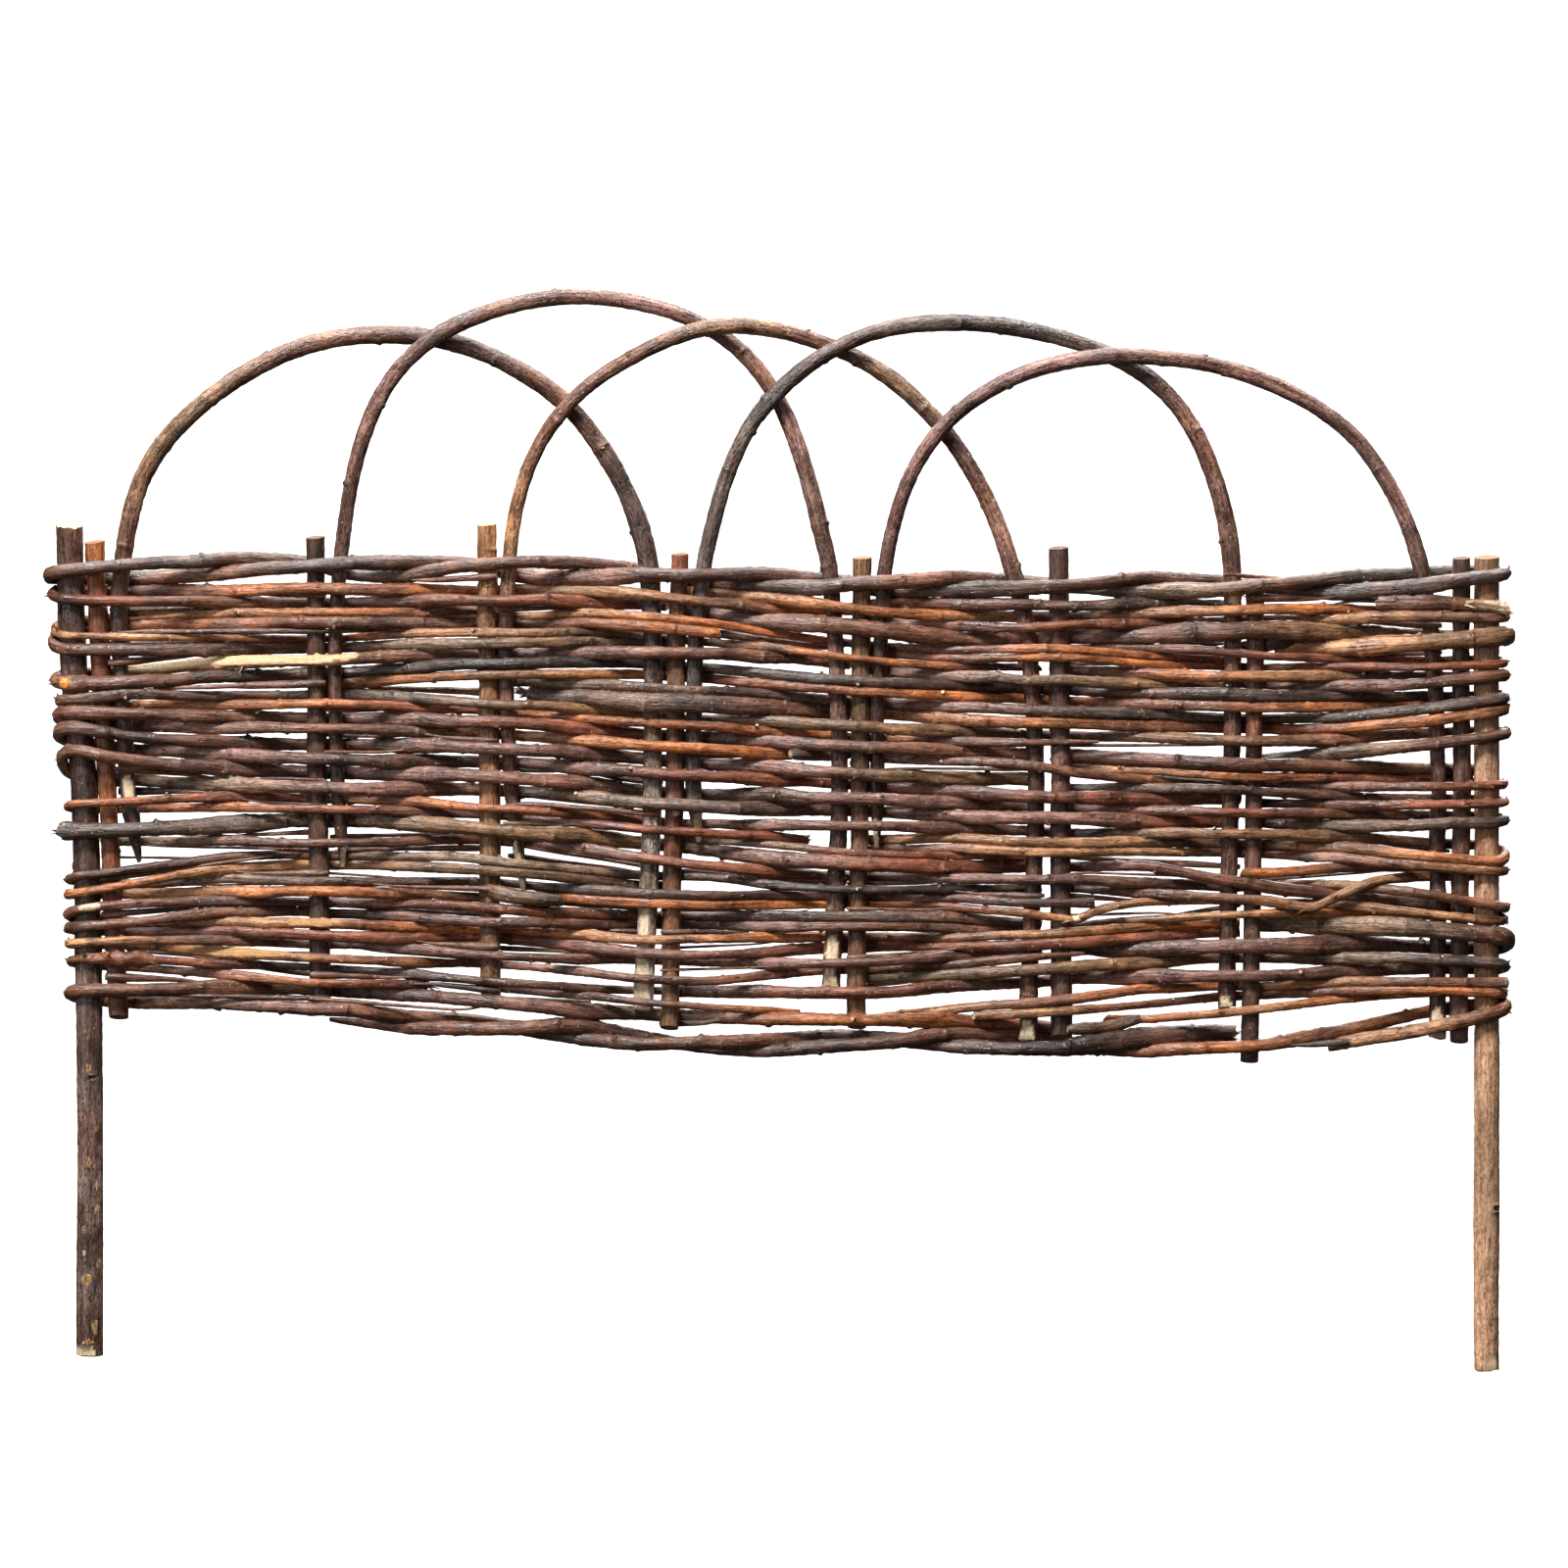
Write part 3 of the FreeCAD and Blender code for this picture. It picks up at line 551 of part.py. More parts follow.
        (-167.4, 325.8, 3, 0.91, 0), (-133.5, 323.4, 4, 0.01, 0), (-96.2, 320.9, 4, -1, 0), (-49.3, 319.3, 4, -1, 0),
        (-8.7, 320.2, 4, 0, 0), (31.9, 319.8, 5, 1, 0), (75.5, 320, 5, 1, 0), (120.5, 318.9, 5, -0.03, 0),
        (165.5, 314.4, 6, -1, 0), (202.4, 309.3, 6, -0.96, 14), (221.1, 317.6, 6, -0.6, 0),
        (250.3, 321.6, 6, -0.03, 0), (300.3, 322.6, 7, 1, 0), (333.2, 321.4, 7, 1, 0), (387.2, 319.8, 7, -0.15, 0),
        (441.2, 314.4, 8, -1, 0), (496.1, 308.7, 8, -1, "W"), (496.1, 311.3, 8, 1, "W"), (441.2, 312.4, 8, 1, 0),
        (387.2, 314.6, 7, 0.15, 0), (333.2, 313.9, 7, -1, 0), (300.3, 312.7, 7, -1, 0), (250.3, 310, 6, 0.03, 0),
        (200.3, 305, 6, 1, 0), (186.9, 304.2, 6, 1, 0),
    ],
    "right_weaver_16": [
        (319.8, 306.6, 7, 1, 0), (333.2, 306.6, 7, 1, 0), (387.2, 305.9, 7, -0.12, 0), (441.2, 302.9, 8, -1, 0),
        (498.4, 298.6, 8, -1, "W"), (498.4, 291.2, 8, 1, "W"), (441.2, 291.1, 8, 1, 0), (387.2, 292.6, 7, 0.12, 0),
        (333.2, 292.5, 7, -1, 0), (300.3, 291.9, 7, -1, 0), (250.3, 289.6, 6, 0.02, 0), (200.3, 290.1, 6, 1, 0),
        (186.9, 292.8, 6, 1, 0),
    ],
    "right_weaver_17": [
        (58.1, 268, 5, 1, 0), (75.5, 268.8, 5, 1, 0), (120.5, 272, 5, -0.02, 0), (165.5, 274.6, 6, -1, 0),
        (200.3, 276.7, 6, -1, 0), (250.3, 280.7, 6, -0.03, 0), (300.3, 283.4, 7, 1, 0), (333.2, 284, 7, 1, 0),
        (387.2, 283.6, 7, -0.13, 0), (441.2, 283.3, 8, -1, 0), (497.2, 279.8, 8, -1, "W"), (497.2, 275.1, 8, 1, "W"),
        (441.2, 275.4, 8, 1, 0), (387.2, 274, 7, 0.13, 0), (333.2, 271.4, 7, -1, 0), (300.3, 271.4, 7, -1, 0),
        (250.3, 270.7, 6, 0.03, 0), (200.3, 268.6, 6, 1, 0), (165.5, 266.4, 6, 1, 0), (120.5, 263.7, 5, 0.02, 0),
        (75.5, 260, 5, -1, 0), (31.9, 259.7, 5, -1, 0), (-8.7, 260.4, 4, 0, 0), (-49.3, 260.4, 4, 1, 0),
        (-69.4, 260.4, 4, 1, 0),
    ],
    "right_weaver_18": [
        (131.2, 243.8, 6, -0.26, 0), (165.5, 245.4, 6, -1, 0), (200.3, 247.6, 6, -1, 0), (250.3, 251.8, 6, -0.03, 0),
        (300.3, 256.1, 7, 1, 0), (333.2, 257.9, 7, 1, 0), (387.2, 261, 7, -0.15, 0), (441.2, 261.4, 8, -1, 0),
        (496.2, 259.7, 8, -1, "W"), (496.2, 260.4, 8, 1, "W"), (441.2, 259, 8, 1, 0), (387.2, 255.5, 7, 0.15, 0),
        (333.2, 249.5, 7, -1, 0), (300.3, 245.8, 7, -1, 0), (250.3, 242.1, 6, 0.03, 0), (221.8, 241.6, 6, 0.58, 0),
    ],
    "right_weaver_19": [
        (375.5, 223.7, 7, 0.11, 0), (387.2, 225.6, 7, -0.13, 0), (441.2, 235.1, 8, -1, 0),
        (497.3, 247.6, 8, -1, "W"), (497.3, 252.3, 8, 1, "W"), (441.2, 245.8, 8, 1, 0), (387.2, 233.4, 7, 0.13, 0),
        (333.2, 225.4, 7, -1, 0), (300.3, 222.7, 7, -1, 0), (250.3, 219.1, 6, 0.03, 0), (200.3, 223.2, 6, 1, 0),
        (165.5, 230.3, 6, 1, 0), (120.5, 231.6, 5, 0.02, 0), (75.5, 226.2, 5, -1, 0), (31.9, 222.5, 5, -1, 0),
        (-8.7, 219.3, 4, 0, 0), (-49.3, 221.2, 4, 1, 0), (-96.2, 229.4, 4, 1, 0), (-133.5, 235.9, 4, -0.01, 0),
        (-170.7, 236.8, 3, -1, 0), (-209, 235.1, 3, -1, 0), (-251.2, 235.2, 3, 0, 0), (-293.5, 239.3, 2, 1, 0),
        (-308.9, 241.1, 2, 1, 0),
    ],
    "short_weaver_01": [
        (409, 527.1, 8, -0.47, 0), (441.2, 526.6, 8, -1, 0), (499.6, 522.9, 8, -1, 0),
    ],
    "short_weaver_02": [
        (-174.1, 464.7, 3, 1, 0), (-133.5, 462.2, 4, 0, 0), (-96.2, 459.2, 4, -1, 0), (-49.3, 456.7, 4, -1, 0),
        (-8.7, 454.9, 4, 0, 0), (31.9, 452.5, 5, 1, 0), (51.4, 451, 5, 1, 0),
    ],
    "short_weaver_03": [
        (186.9, 421.9, 6, 1, 0), (200.3, 421.9, 6, 1, 0), (250.3, 419.8, 6, 0.02, 0), (300.3, 416.3, 7, -1, 0),
        (333.2, 415.1, 7, -1, 0), (387.2, 414.7, 7, 0.12, 0), (441.2, 412.7, 8, 1, 0), (479.5, 411.5, 8, 1, 0),
    ],
    "short_weaver_04": [
        (-492.1, 370.4, 1, -1, 0), (-435.8, 371.3, 1, -1, 0), (-381.1, 374.1, 2, -0.08, 0), (-326.4, 378.1, 2, 1, 0),
        (-293.5, 377.8, 2, 1, 0), (-251.2, 376, 3, 0, 0), (-209, 372.9, 3, -1, 0), (-170.7, 369.6, 3, -1, 0),
        (-133.5, 366.5, 4, 0, 0), (-96.2, 361.8, 4, 1, 0), (-49.3, 357.8, 4, 1, 0), (-8.7, 352.8, 4, 0, 0),
        (31.9, 348.9, 5, -1, 0), (75.5, 347.2, 5, -1, 0), (120.5, 345.9, 5, 0.02, 0), (165.5, 345.7, 6, 1, 0),
        (180.2, 345.7, 6, 1, 0),
    ],
    "short_weaver_05": [
        (-69.4, 366.3, 4, 1, 0), (-49.3, 364.4, 4, 1, 0), (-8.7, 361.3, 4, 0, 0), (31.9, 357, 5, -1, 0),
        (75.5, 354.8, 5, -1, 0), (120.5, 353.2, 5, 0.03, 0), (165.5, 352.3, 6, 1, 0), (180.2, 352.4, 6, 1, 0),
    ],
    "short_weaver_06": [
        (186.9, 331.4, 6, 1, 0), (200.3, 331.1, 6, 1, 0), (250.3, 328.4, 6, 0.03, 0), (300.3, 325.4, 7, -1, 0),
        (333.2, 323, 7, -1, 0), (364.1, 318, 7, -1.25, 14), (407, 337.2, 8, -0.83, 30), (441.2, 339.2, 8, 1, 30),
        (479.5, 339.4, 8, 1, 0),
    ],
    "short_weaver_07": [
        (51.4, 241.2, 5, 1, 0), (75.5, 242.9, 5, 1, 0), (120.5, 248.9, 5, -0.02, 0), (165.5, 252.8, 6, -1, 0),
        (200.3, 256.2, 6, -1, 0), (250.3, 261.7, 6, -0.03, 0), (300.3, 265, 7, 1, 0), (333.2, 263.9, 7, 1, 0),
        (387.2, 267.2, 7, -0.14, 0), (441.2, 267.9, 8, -1, 0), (498.3, 267.7, 8, -1, 0),
    ],
    "short_weaver_08": [
        (-195.5, 262.7, 3, 1, 0), (-170.7, 261.1, 3, 1, 0), (-133.5, 257.7, 4, 0.01, 0), (-96.2, 253.6, 4, -1, 0),
        (-49.3, 250, 4, -1, 0), (-8.7, 248.3, 4, 0, 0), (13.8, 245.8, 5, 0.55, 0),
    ],
}
for label, rows in WEAVERS.items():
    radius = dim(label + "_dia") / 2
    pts, bends = [], []
    for x, z, station, side, bend in rows:
        offset = dim("station_%d_half" % station) + radius + dim("weave_gap")
        pts.append(V(x, side * offset, z))
        if bend == "W":
            bends.append(dim("wrap_ratio") * offset)
        else:
            bends.append(bend if bend else dim("run_bend"))
    swept_rod(label, pts, bends, label + "_dia")

doc.recompute()

# Nothing is written unless every object is sound.
for obj in doc.Objects:
    if "Invalid" in obj.State or "Error" in obj.State:
        raise RuntimeError("%s failed: %s" % (obj.Name, obj.State))
for piece in pieces:
    shape = piece.Shape
    if shape.isNull() or not shape.isValid() or len(shape.Solids) != 1 or shape.Volume <= 0:
        raise RuntimeError("%s has no sound solid" % piece.Label)
for piece in pieces:
    piece.Shape.exportStep("parts/%s.step" % piece.Label)
print("%d pieces" % len(pieces))
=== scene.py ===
import math

import bpy
import numpy as np
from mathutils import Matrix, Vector
from mathutils.kdtree import KDTree


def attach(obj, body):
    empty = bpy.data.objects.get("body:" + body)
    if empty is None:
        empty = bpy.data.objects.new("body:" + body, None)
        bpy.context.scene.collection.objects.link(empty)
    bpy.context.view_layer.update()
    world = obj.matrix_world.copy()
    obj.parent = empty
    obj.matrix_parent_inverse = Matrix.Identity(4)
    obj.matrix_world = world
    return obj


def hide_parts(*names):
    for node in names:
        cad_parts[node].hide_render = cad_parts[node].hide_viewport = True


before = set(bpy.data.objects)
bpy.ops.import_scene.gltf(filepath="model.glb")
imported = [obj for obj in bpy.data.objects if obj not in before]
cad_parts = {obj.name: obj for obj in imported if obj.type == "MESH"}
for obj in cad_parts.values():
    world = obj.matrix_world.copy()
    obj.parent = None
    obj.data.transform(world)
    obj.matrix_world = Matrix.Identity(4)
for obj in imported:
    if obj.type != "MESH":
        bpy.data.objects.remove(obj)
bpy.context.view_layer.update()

# The photograph's scale: millimetres per pixel of the 1600 x 1600 frame, and where pixel (798.5, 1400) lies.
K = 0.671
SHIFT = 2.0685


def mm_x(px):
    return (px - 798.5) * K + SHIFT


def mm_z(py):
    return (1400.0 - py) * K


# ---------------------------------------------------------------- colours
def lin(hexa):
    out = []
    for i in (0, 2, 4):
        c = int(hexa[i:i + 2], 16) / 255.0
        out.append(c / 12.92 if c <= 0.04045 else ((c + 0.055) / 1.055) ** 2.4)
    return np.array(out)


# The bark is a little warmer than the plain tones below.
WARM = np.array([1.06, 0.98, 0.90])
# One letter per bark tone; a strand's word gives its tones from left to right.
TONES = {
    "u": lin("50382f"),  # umber
    "b": lin("6a4838"),  # brown
    "m": lin("785850"),  # mauve brown
    "r": lin("70422f"),  # red brown
    "o": lin("9c6038"),  # orange
    "t": lin("9c7250"),  # tan
    "l": lin("74583f"),  # olive brown
    "g": lin("74604f"),  # grey
    "s": lin("50443f"),  # slate
    "k": lin("30251f"),  # black brown
    "v": lin("6e5c54"),  # dark bark with a painted grey sheen, a painted reflection
    "p": lin("be9271"),  # peeled
    "w": lin("a89a8c"),  # frayed grey
    "c": lin("f0d4b2"),  # bare wood
}

for _key in "ubmrotlgsk":
    TONES[_key] = TONES[_key] * WARM

# Woven rods: (diameter mm, turning side, index of the wrap, tone words in path order, rows).
# A row is (x, z, station, side, bend) as in the construction: side -1 is in front of the uprights.
STATION = [8.45, 6.71, 6.71, 6.44, 6.24, 6.71, 6.17, 8.86]
WEAVE_GAP = 0.28
RODS = {
    "left_weaver_01": (8.37, "L", 11, ["ususbuu", "ubsumuu"], ((-74.8,545.6,4,1,0),(-96.2,549.9,4,1,0),(-133.5,553.6,4,0,0),(-170.7,554.2,3,-1,0),(-209,552.3,3,-1,0),(-251.2,546.1,3,0,0),(-293.5,545.5,2,1,0),(-326.4,555.3,2,1,0),(-381.1,557.1,2,-0.08,0),(-435.8,552.1,1,-1,0),(-499.3,546.9,1,-1,-1),(-499.2,545.5,1,1,-1),(-435.8,544.5,1,1,0),(-381.1,547.7,2,0.08,0),(-326.4,551.7,2,-1,0),(-293.5,553.9,2,-1,0),(-251.2,555.4,3,0,0),(-209,554.3,3,1,0),(-170.7,544.6,3,1,0),(-133.5,544.5,4,0,0),(-96.2,545.3,4,-1,0),(-49.3,546.2,4,-1,0),(-8.7,547.1,4,0,0),(31.9,543.5,5,1,0),(51.4,541.3,5,1,0),)),
    "left_weaver_02": (6.96, "L", 11, ["rrbmbrr", "mboroltborusk"], ((-74.8,525,4,1,0),(-96.2,526.1,4,1,0),(-133.5,527.3,4,-0.01,0),(-170.7,528,3,-1,0),(-209,528,3,-1,0),(-251.2,528,3,0,0),(-293.5,526.8,2,1,0),(-326.4,527.3,2,1,0),(-381.1,527,2,-0.08,0),(-435.8,527.5,1,-1,0),(-498.2,529.4,1,-1,-1),(-498.3,534.8,1,1,-1),(-435.8,534.8,1,1,0),(-381.1,535.1,2,0.08,0),(-326.4,536,2,-1,0),(-293.5,535.4,2,-1,0),(-251.2,535.7,3,0,0),(-209,534.3,3,1,0),(-170.7,535.8,3,1,0),(-133.5,534.7,4,0.01,0),(-96.2,532.2,4,-1,0),(-49.3,527.1,4,-1,0),(-8.7,522.7,4,0,0),(31.9,521.2,5,1,0),(75.5,526.2,5,1,0),(120.5,525.2,5,-0.02,0),(165.5,524.7,6,-1,0),(200.3,523.4,6,-1,0),(250.3,526.7,6,-0.03,0),(300.3,525.8,7,1,0),(317.1,525.4,7,1,0),)),
    "left_weaver_03": (5.02, "L", 17, ["ttrotlugoou", "ttoutormor"], ((180.2,482.6,6,1,0),(165.5,482.7,6,1,0),(120.5,483.3,5,0.03,0),(75.5,485.6,5,-1,0),(31.9,490.4,5,-1,0),(-8.7,496.9,4,0,0),(-49.3,500.1,4,1,0),(-96.2,505,4,1,0),(-133.5,506.8,4,-0.01,0),(-170.7,506.6,3,-1,0),(-209,506.5,3,-1,0),(-251.2,506.3,3,0,0),(-293.5,503.1,2,1,0),(-326.4,502,2,1,0),(-381.1,503.6,2,-0.09,0),(-435.8,502.6,1,-1,0),(-496.4,504.6,1,-1,-1),(-496.9,514,1,1,-1),(-435.8,518.8,1,1,0),(-381.1,520.1,2,0.09,0),(-326.4,519.6,2,-1,0),(-293.5,520.1,2,-1,0),(-251.2,519.8,3,0,0),(-209,518.3,3,1,0),(-170.7,518.1,3,1,0),(-133.5,519.7,4,0.01,0),(-96.2,518.2,4,-1,0),(-49.3,513.1,4,-1,0),(-8.7,506,4,0,0),(31.9,501.1,5,1,0),(75.5,496.8,5,1,0),(120.5,494.2,5,-0.03,0),(165.5,495.2,6,-1,0),(200.3,494.7,6,-1,0),(250.3,490.4,6,-0.03,0),(300.3,488.8,7,1,0),(317.1,488.7,7,1,0),)),
    "left_weaver_04": (6.7, "L", 11, ["uuuggls", "rorumro"], ((-74.8,496.4,4,1,0),(-96.2,498.7,4,1,0),(-133.5,500.6,4,-0.01,0),(-170.7,499.1,3,-1,0),(-209,498.3,3,-1,0),(-251.2,498,3,0,0),(-293.5,497,2,1,0),(-326.4,495.8,2,1,0),(-381.1,494.5,2,-0.08,0),(-435.8,493.4,1,-1,0),(-496.6,494.5,1,-1,-1),(-497.4,505.9,1,1,-1),(-435.8,511.2,1,1,0),(-381.1,512.3,2,0.08,0),(-326.4,513.1,2,-1,0),(-293.5,513.2,2,-1,0),(-251.2,512.5,3,0,0),(-209,511.6,3,1,0),(-170.7,511.9,3,1,0),(-133.5,513.1,4,0.01,0),(-96.2,510.4,4,-1,0),(-49.3,506.3,4,-1,0),(-39.9,505.2,4,-0.77,0),)),
    "left_weaver_05": (7.47, "L", 11, ["uuukkkk", "tttbbmbb"], ((-74.8,484.3,4,1,0),(-96.2,485.6,4,1,0),(-133.5,485.1,4,-0.01,0),(-170.7,485.2,3,-1,0),(-209,485.4,3,-1,0),(-251.2,482.4,3,0,0),(-293.5,479.6,2,1,0),(-326.4,478.2,2,1,0),(-381.1,476,2,-0.08,0),(-435.8,473.3,1,-1,0),(-495.5,471.7,1,-1,-1),(-495.9,477.8,1,1,-1),(-435.8,481.8,1,1,0),(-381.1,486.3,2,0.08,0),(-326.4,487.2,2,-1,0),(-293.5,487.9,2,-1,0),(-251.2,490.4,3,0,0),(-209,490.7,3,1,0),(-170.7,491.6,3,1,0),(-133.5,493.1,4,0.01,0),(-96.2,492.5,4,-1,0),(-49.3,491.6,4,-1,0),(-8.7,490.1,4,0,0),(31.9,486.6,5,1,0),(51.4,485,5,1,0),)),
    "left_weaver_06": (5.93, "L", 11, ["uusgll", "toorooroub"], ((-74.8,449.4,4,1,0),(-96.2,450.9,4,1,0),(-133.5,453.9,4,-0.01,0),(-170.7,456.6,3,-1,0),(-209,458.1,3,-1,0),(-251.2,461.6,3,0,0),(-293.5,463.9,2,1,0),(-326.4,463.2,2,1,0),(-381.1,463,2,-0.09,0),(-435.8,463.8,1,-1,0),(-493.7,460.3,1,-1,-1),(-493.5,458.3,1,1,-1),(-435.8,456.6,1,1,0),(-381.1,456.7,2,0.09,0),(-326.4,457.8,2,-1,0),(-293.5,457.1,2,-1,0),(-251.2,455.3,3,0,0),(-209,453.9,3,1,0),(-170.7,450.3,3,1,0),(-133.5,447.6,4,0.01,0),(-96.2,444.8,4,-1,0),(-49.3,442,4,-1,0),(-8.7,438.9,4,0,0),(31.9,436.3,5,1,0),(75.5,433.7,5,1,0),(120.5,432.2,5,-0.02,0),(165.5,431.1,6,-1,0),(200.3,430.9,6,-1,0),(218.5,431.4,6,-0.65,0),)),
    "left_weaver_07": (7.34, "L", 17, ["bbumrrumbb", "mmbutoo"], ((180.2,422.4,6,1,0),(165.5,423.2,6,1,0),(120.5,425.1,5,0.02,0),(75.5,427.4,5,-1,0),(31.9,429.2,5,-1,0),(-8.7,431.9,4,0,0),(-49.3,434,4,1,0),(-96.2,436.9,4,1,0),(-133.5,440.6,4,-0.01,0),(-170.7,443.9,3,-1,0),(-209,445.6,3,-1,0),(-251.2,446.8,3,0,0),(-293.5,447.5,2,1,0),(-326.4,448.1,2,1,0),(-381.1,449.2,2,-0.08,0),(-435.8,450.3,1,-1,0),(-493.6,451.6,1,-1,-1),(-493.1,445.5,1,1,-1),(-435.8,441.7,1,1,0),(-381.1,441.4,2,0.08,0),(-326.4,440.9,2,-1,0),(-293.5,440.6,2,-1,0),(-251.2,439,3,0,0),(-209,437.9,3,1,0),(-170.7,435.1,3,1,0),(-133.5,432.2,4,0.01,0),(-96.2,429.9,4,-1,0),(-49.3,426.4,4,-1,0),(-8.7,424.1,4,0,0),(8.4,423.6,5,0.42,0),)),
    "left_weaver_08": (7.73, "L", 17, ["uuummuumll", "gmuumrrmrr"], ((180.2,406.1,6,1,0),(165.5,406.6,6,1,0),(120.5,406.9,5,0.02,0),(75.5,407.7,5,-1,0),(31.9,410.4,5,-1,0),(-8.7,414,4,0,0),(-49.3,416.2,4,1,0),(-96.2,420.5,4,1,0),(-133.5,423.6,4,-0.01,0),(-170.7,425.8,3,-1,0),(-209,427.6,3,-1,0),(-251.2,429.1,3,0,0),(-293.5,429.9,2,1,0),(-326.4,429.5,2,1,0),(-381.1,431.4,2,-0.08,0),(-435.8,434.2,1,-1,0),(-492.9,441.5,1,-1,-1),(-492,431.4,1,1,-1),(-435.8,425.9,1,1,0),(-381.1,423.4,2,0.08,0),(-326.4,420.6,2,-1,0),(-293.5,419.3,2,-1,0),(-251.2,418,3,0,0),(-209,417.7,3,1,0),(-170.7,416.3,3,1,0),(-133.5,413.3,4,0.01,0),(-96.2,410.9,4,-1,0),(-49.3,408.2,4,-1,0),(-8.7,405.8,4,0,0),(31.9,404,5,1,0),(75.5,400.8,5,1,0),(120.5,397.8,5,-0.02,0),(165.5,393.7,6,-1,0),(200.3,393.1,6,-1,0),(250.3,392.3,6,-0.02,0),(300.3,393.4,7,1,0),(317.1,393.4,7,1,0),)),
    "left_weaver_09": (7.99, "L", 17, ["buumbsumu", "ggmugsummr"], ((180.2,387.3,6,1,0),(165.5,387.7,6,1,0),(120.5,389.5,5,0.02,0),(75.5,391.5,5,-1,0),(31.9,393,5,-1,0),(-8.7,394.4,4,0,0),(-49.3,395.3,4,1,0),(-96.2,398.5,4,1,0),(-133.5,402.8,4,-0.01,0),(-170.7,405.9,3,-1,0),(-209,407.7,3,-1,0),(-251.2,409.3,3,0,0),(-293.5,410.6,2,1,0),(-326.4,411.2,2,1,0),(-381.1,413.5,2,-0.08,0),(-435.8,417.7,1,-1,0),(-491.8,427.3,1,-1,-1),(-490.2,409.3,1,1,-1),(-435.8,404.1,1,1,0),(-381.1,402.5,2,0.08,0),(-326.4,400.2,2,-1,0),(-293.5,399.2,2,-1,0),(-251.2,399.1,3,0,0),(-209,399,3,1,0),(-170.7,396.9,3,1,0),(-133.5,394.1,4,0.01,0),(-96.2,390.1,4,-1,0),(-49.3,387,4,-1,0),(-8.7,385.8,4,0,0),(31.9,385.1,5,1,0),(75.5,383,5,1,0),(120.5,381.1,5,-0.02,0),(165.5,379.4,6,-1,0),(200.3,378.8,6,-1,0),(250.3,376.9,6,-0.02,0),(300.3,376.5,7,1,0),(315.8,377.1,7,1,0),)),
    "left_weaver_10": (5.54, "L", 11, ["orroorr", "rorumrr"], ((-74.8,376,4,1,0),(-96.2,377.5,4,1,0),(-133.5,381.8,4,-0.01,0),(-170.7,384.3,3,-1,0),(-209,386.8,3,-1,0),(-251.2,390.8,3,0,0),(-293.5,391.4,2,1,0),(-326.4,392.4,2,1,0),(-381.1,394.4,2,-0.09,0),(-435.8,390.8,1,-1,0),(-488,388.5,1,-1,-1),(-488,385.1,1,1,-1),(-435.8,385.2,1,1,0),(-381.1,386.5,2,0.09,0),(-326.4,385.7,2,-1,0),(-293.5,384.4,2,-1,0),(-251.2,383.6,3,0,0),(-209,381.9,3,1,0),(-170.7,379.6,3,1,0),(-133.5,375.9,4,0.01,0),(-96.2,371.4,4,-1,0),(-49.3,368.4,4,-1,0),(-8.7,366.6,4,0,0),(19.2,364.2,5,0.68,0),)),
    "left_weaver_11": (5.15, "L", 17, ["uuugguskk", "uguusuumu"], ((180.2,330.1,6,1,0),(165.5,330.6,6,1,0),(120.5,330,5,0.03,0),(75.5,330.2,5,-1,0),(31.9,330.8,5,-1,0),(-8.7,334.1,4,0,0),(-49.3,338.8,4,1,0),(-96.2,340.4,4,1,0),(-133.5,344,4,-0.01,0),(-170.7,348.1,3,-1,0),(-209,352.2,3,-1,0),(-251.2,353.7,3,0,0),(-293.5,354.1,2,1,0),(-326.4,354.9,2,1,0),(-381.1,353.1,2,-0.09,0),(-435.8,345.5,1,-1,0),(-486.8,338.5,1,-1,-1),(-486.7,335.5,1,1,-1),(-435.8,334.7,1,1,0),(-381.1,337.4,2,0.09,0),(-326.4,336.9,2,-1,0),(-293.5,336.1,2,-1,0),(-251.2,335.6,3,0,0),(-209,335.5,3,1,0),(-170.7,333.7,3,1,0),(-133.5,330.5,4,0.01,0),(-96.2,328.2,4,-1,0),(-49.3,326.3,4,-1,0),(-8.7,326.9,4,0,0),(31.9,325.8,5,1,0),(75.5,325.5,5,1,0),(120.5,324.5,5,-0.03,0),(165.5,321.9,6,-1,0),(200.3,321.3,6,-1,0),(215.1,321.9,6,-0.71,0),)),
    "left_weaver_12": (5.8, "L", 11, ["ottllu", "ttoob"], ((-74.8,331.8,4,1,0),(-96.2,332.8,4,1,0),(-133.5,337,4,-0.01,0),(-170.7,340.8,3,-1,0),(-209,343.6,3,-1,0),(-251.2,345.9,3,0,0),(-293.5,346.9,2,1,0),(-326.4,346.8,2,1,0),(-381.1,344.6,2,-0.09,0),(-435.8,335.5,1,-1,0),(-486.8,326.9,1,-1,-1),(-486.9,326.8,1,1,-1),(-435.8,327.4,1,1,0),(-381.1,328.5,2,0.09,0),(-326.4,329,2,-1,0),(-293.5,328.2,2,-1,0),(-251.2,326.9,3,0,0),(-209,324.8,3,1,0),(-200.2,324.5,3,1,0),)),
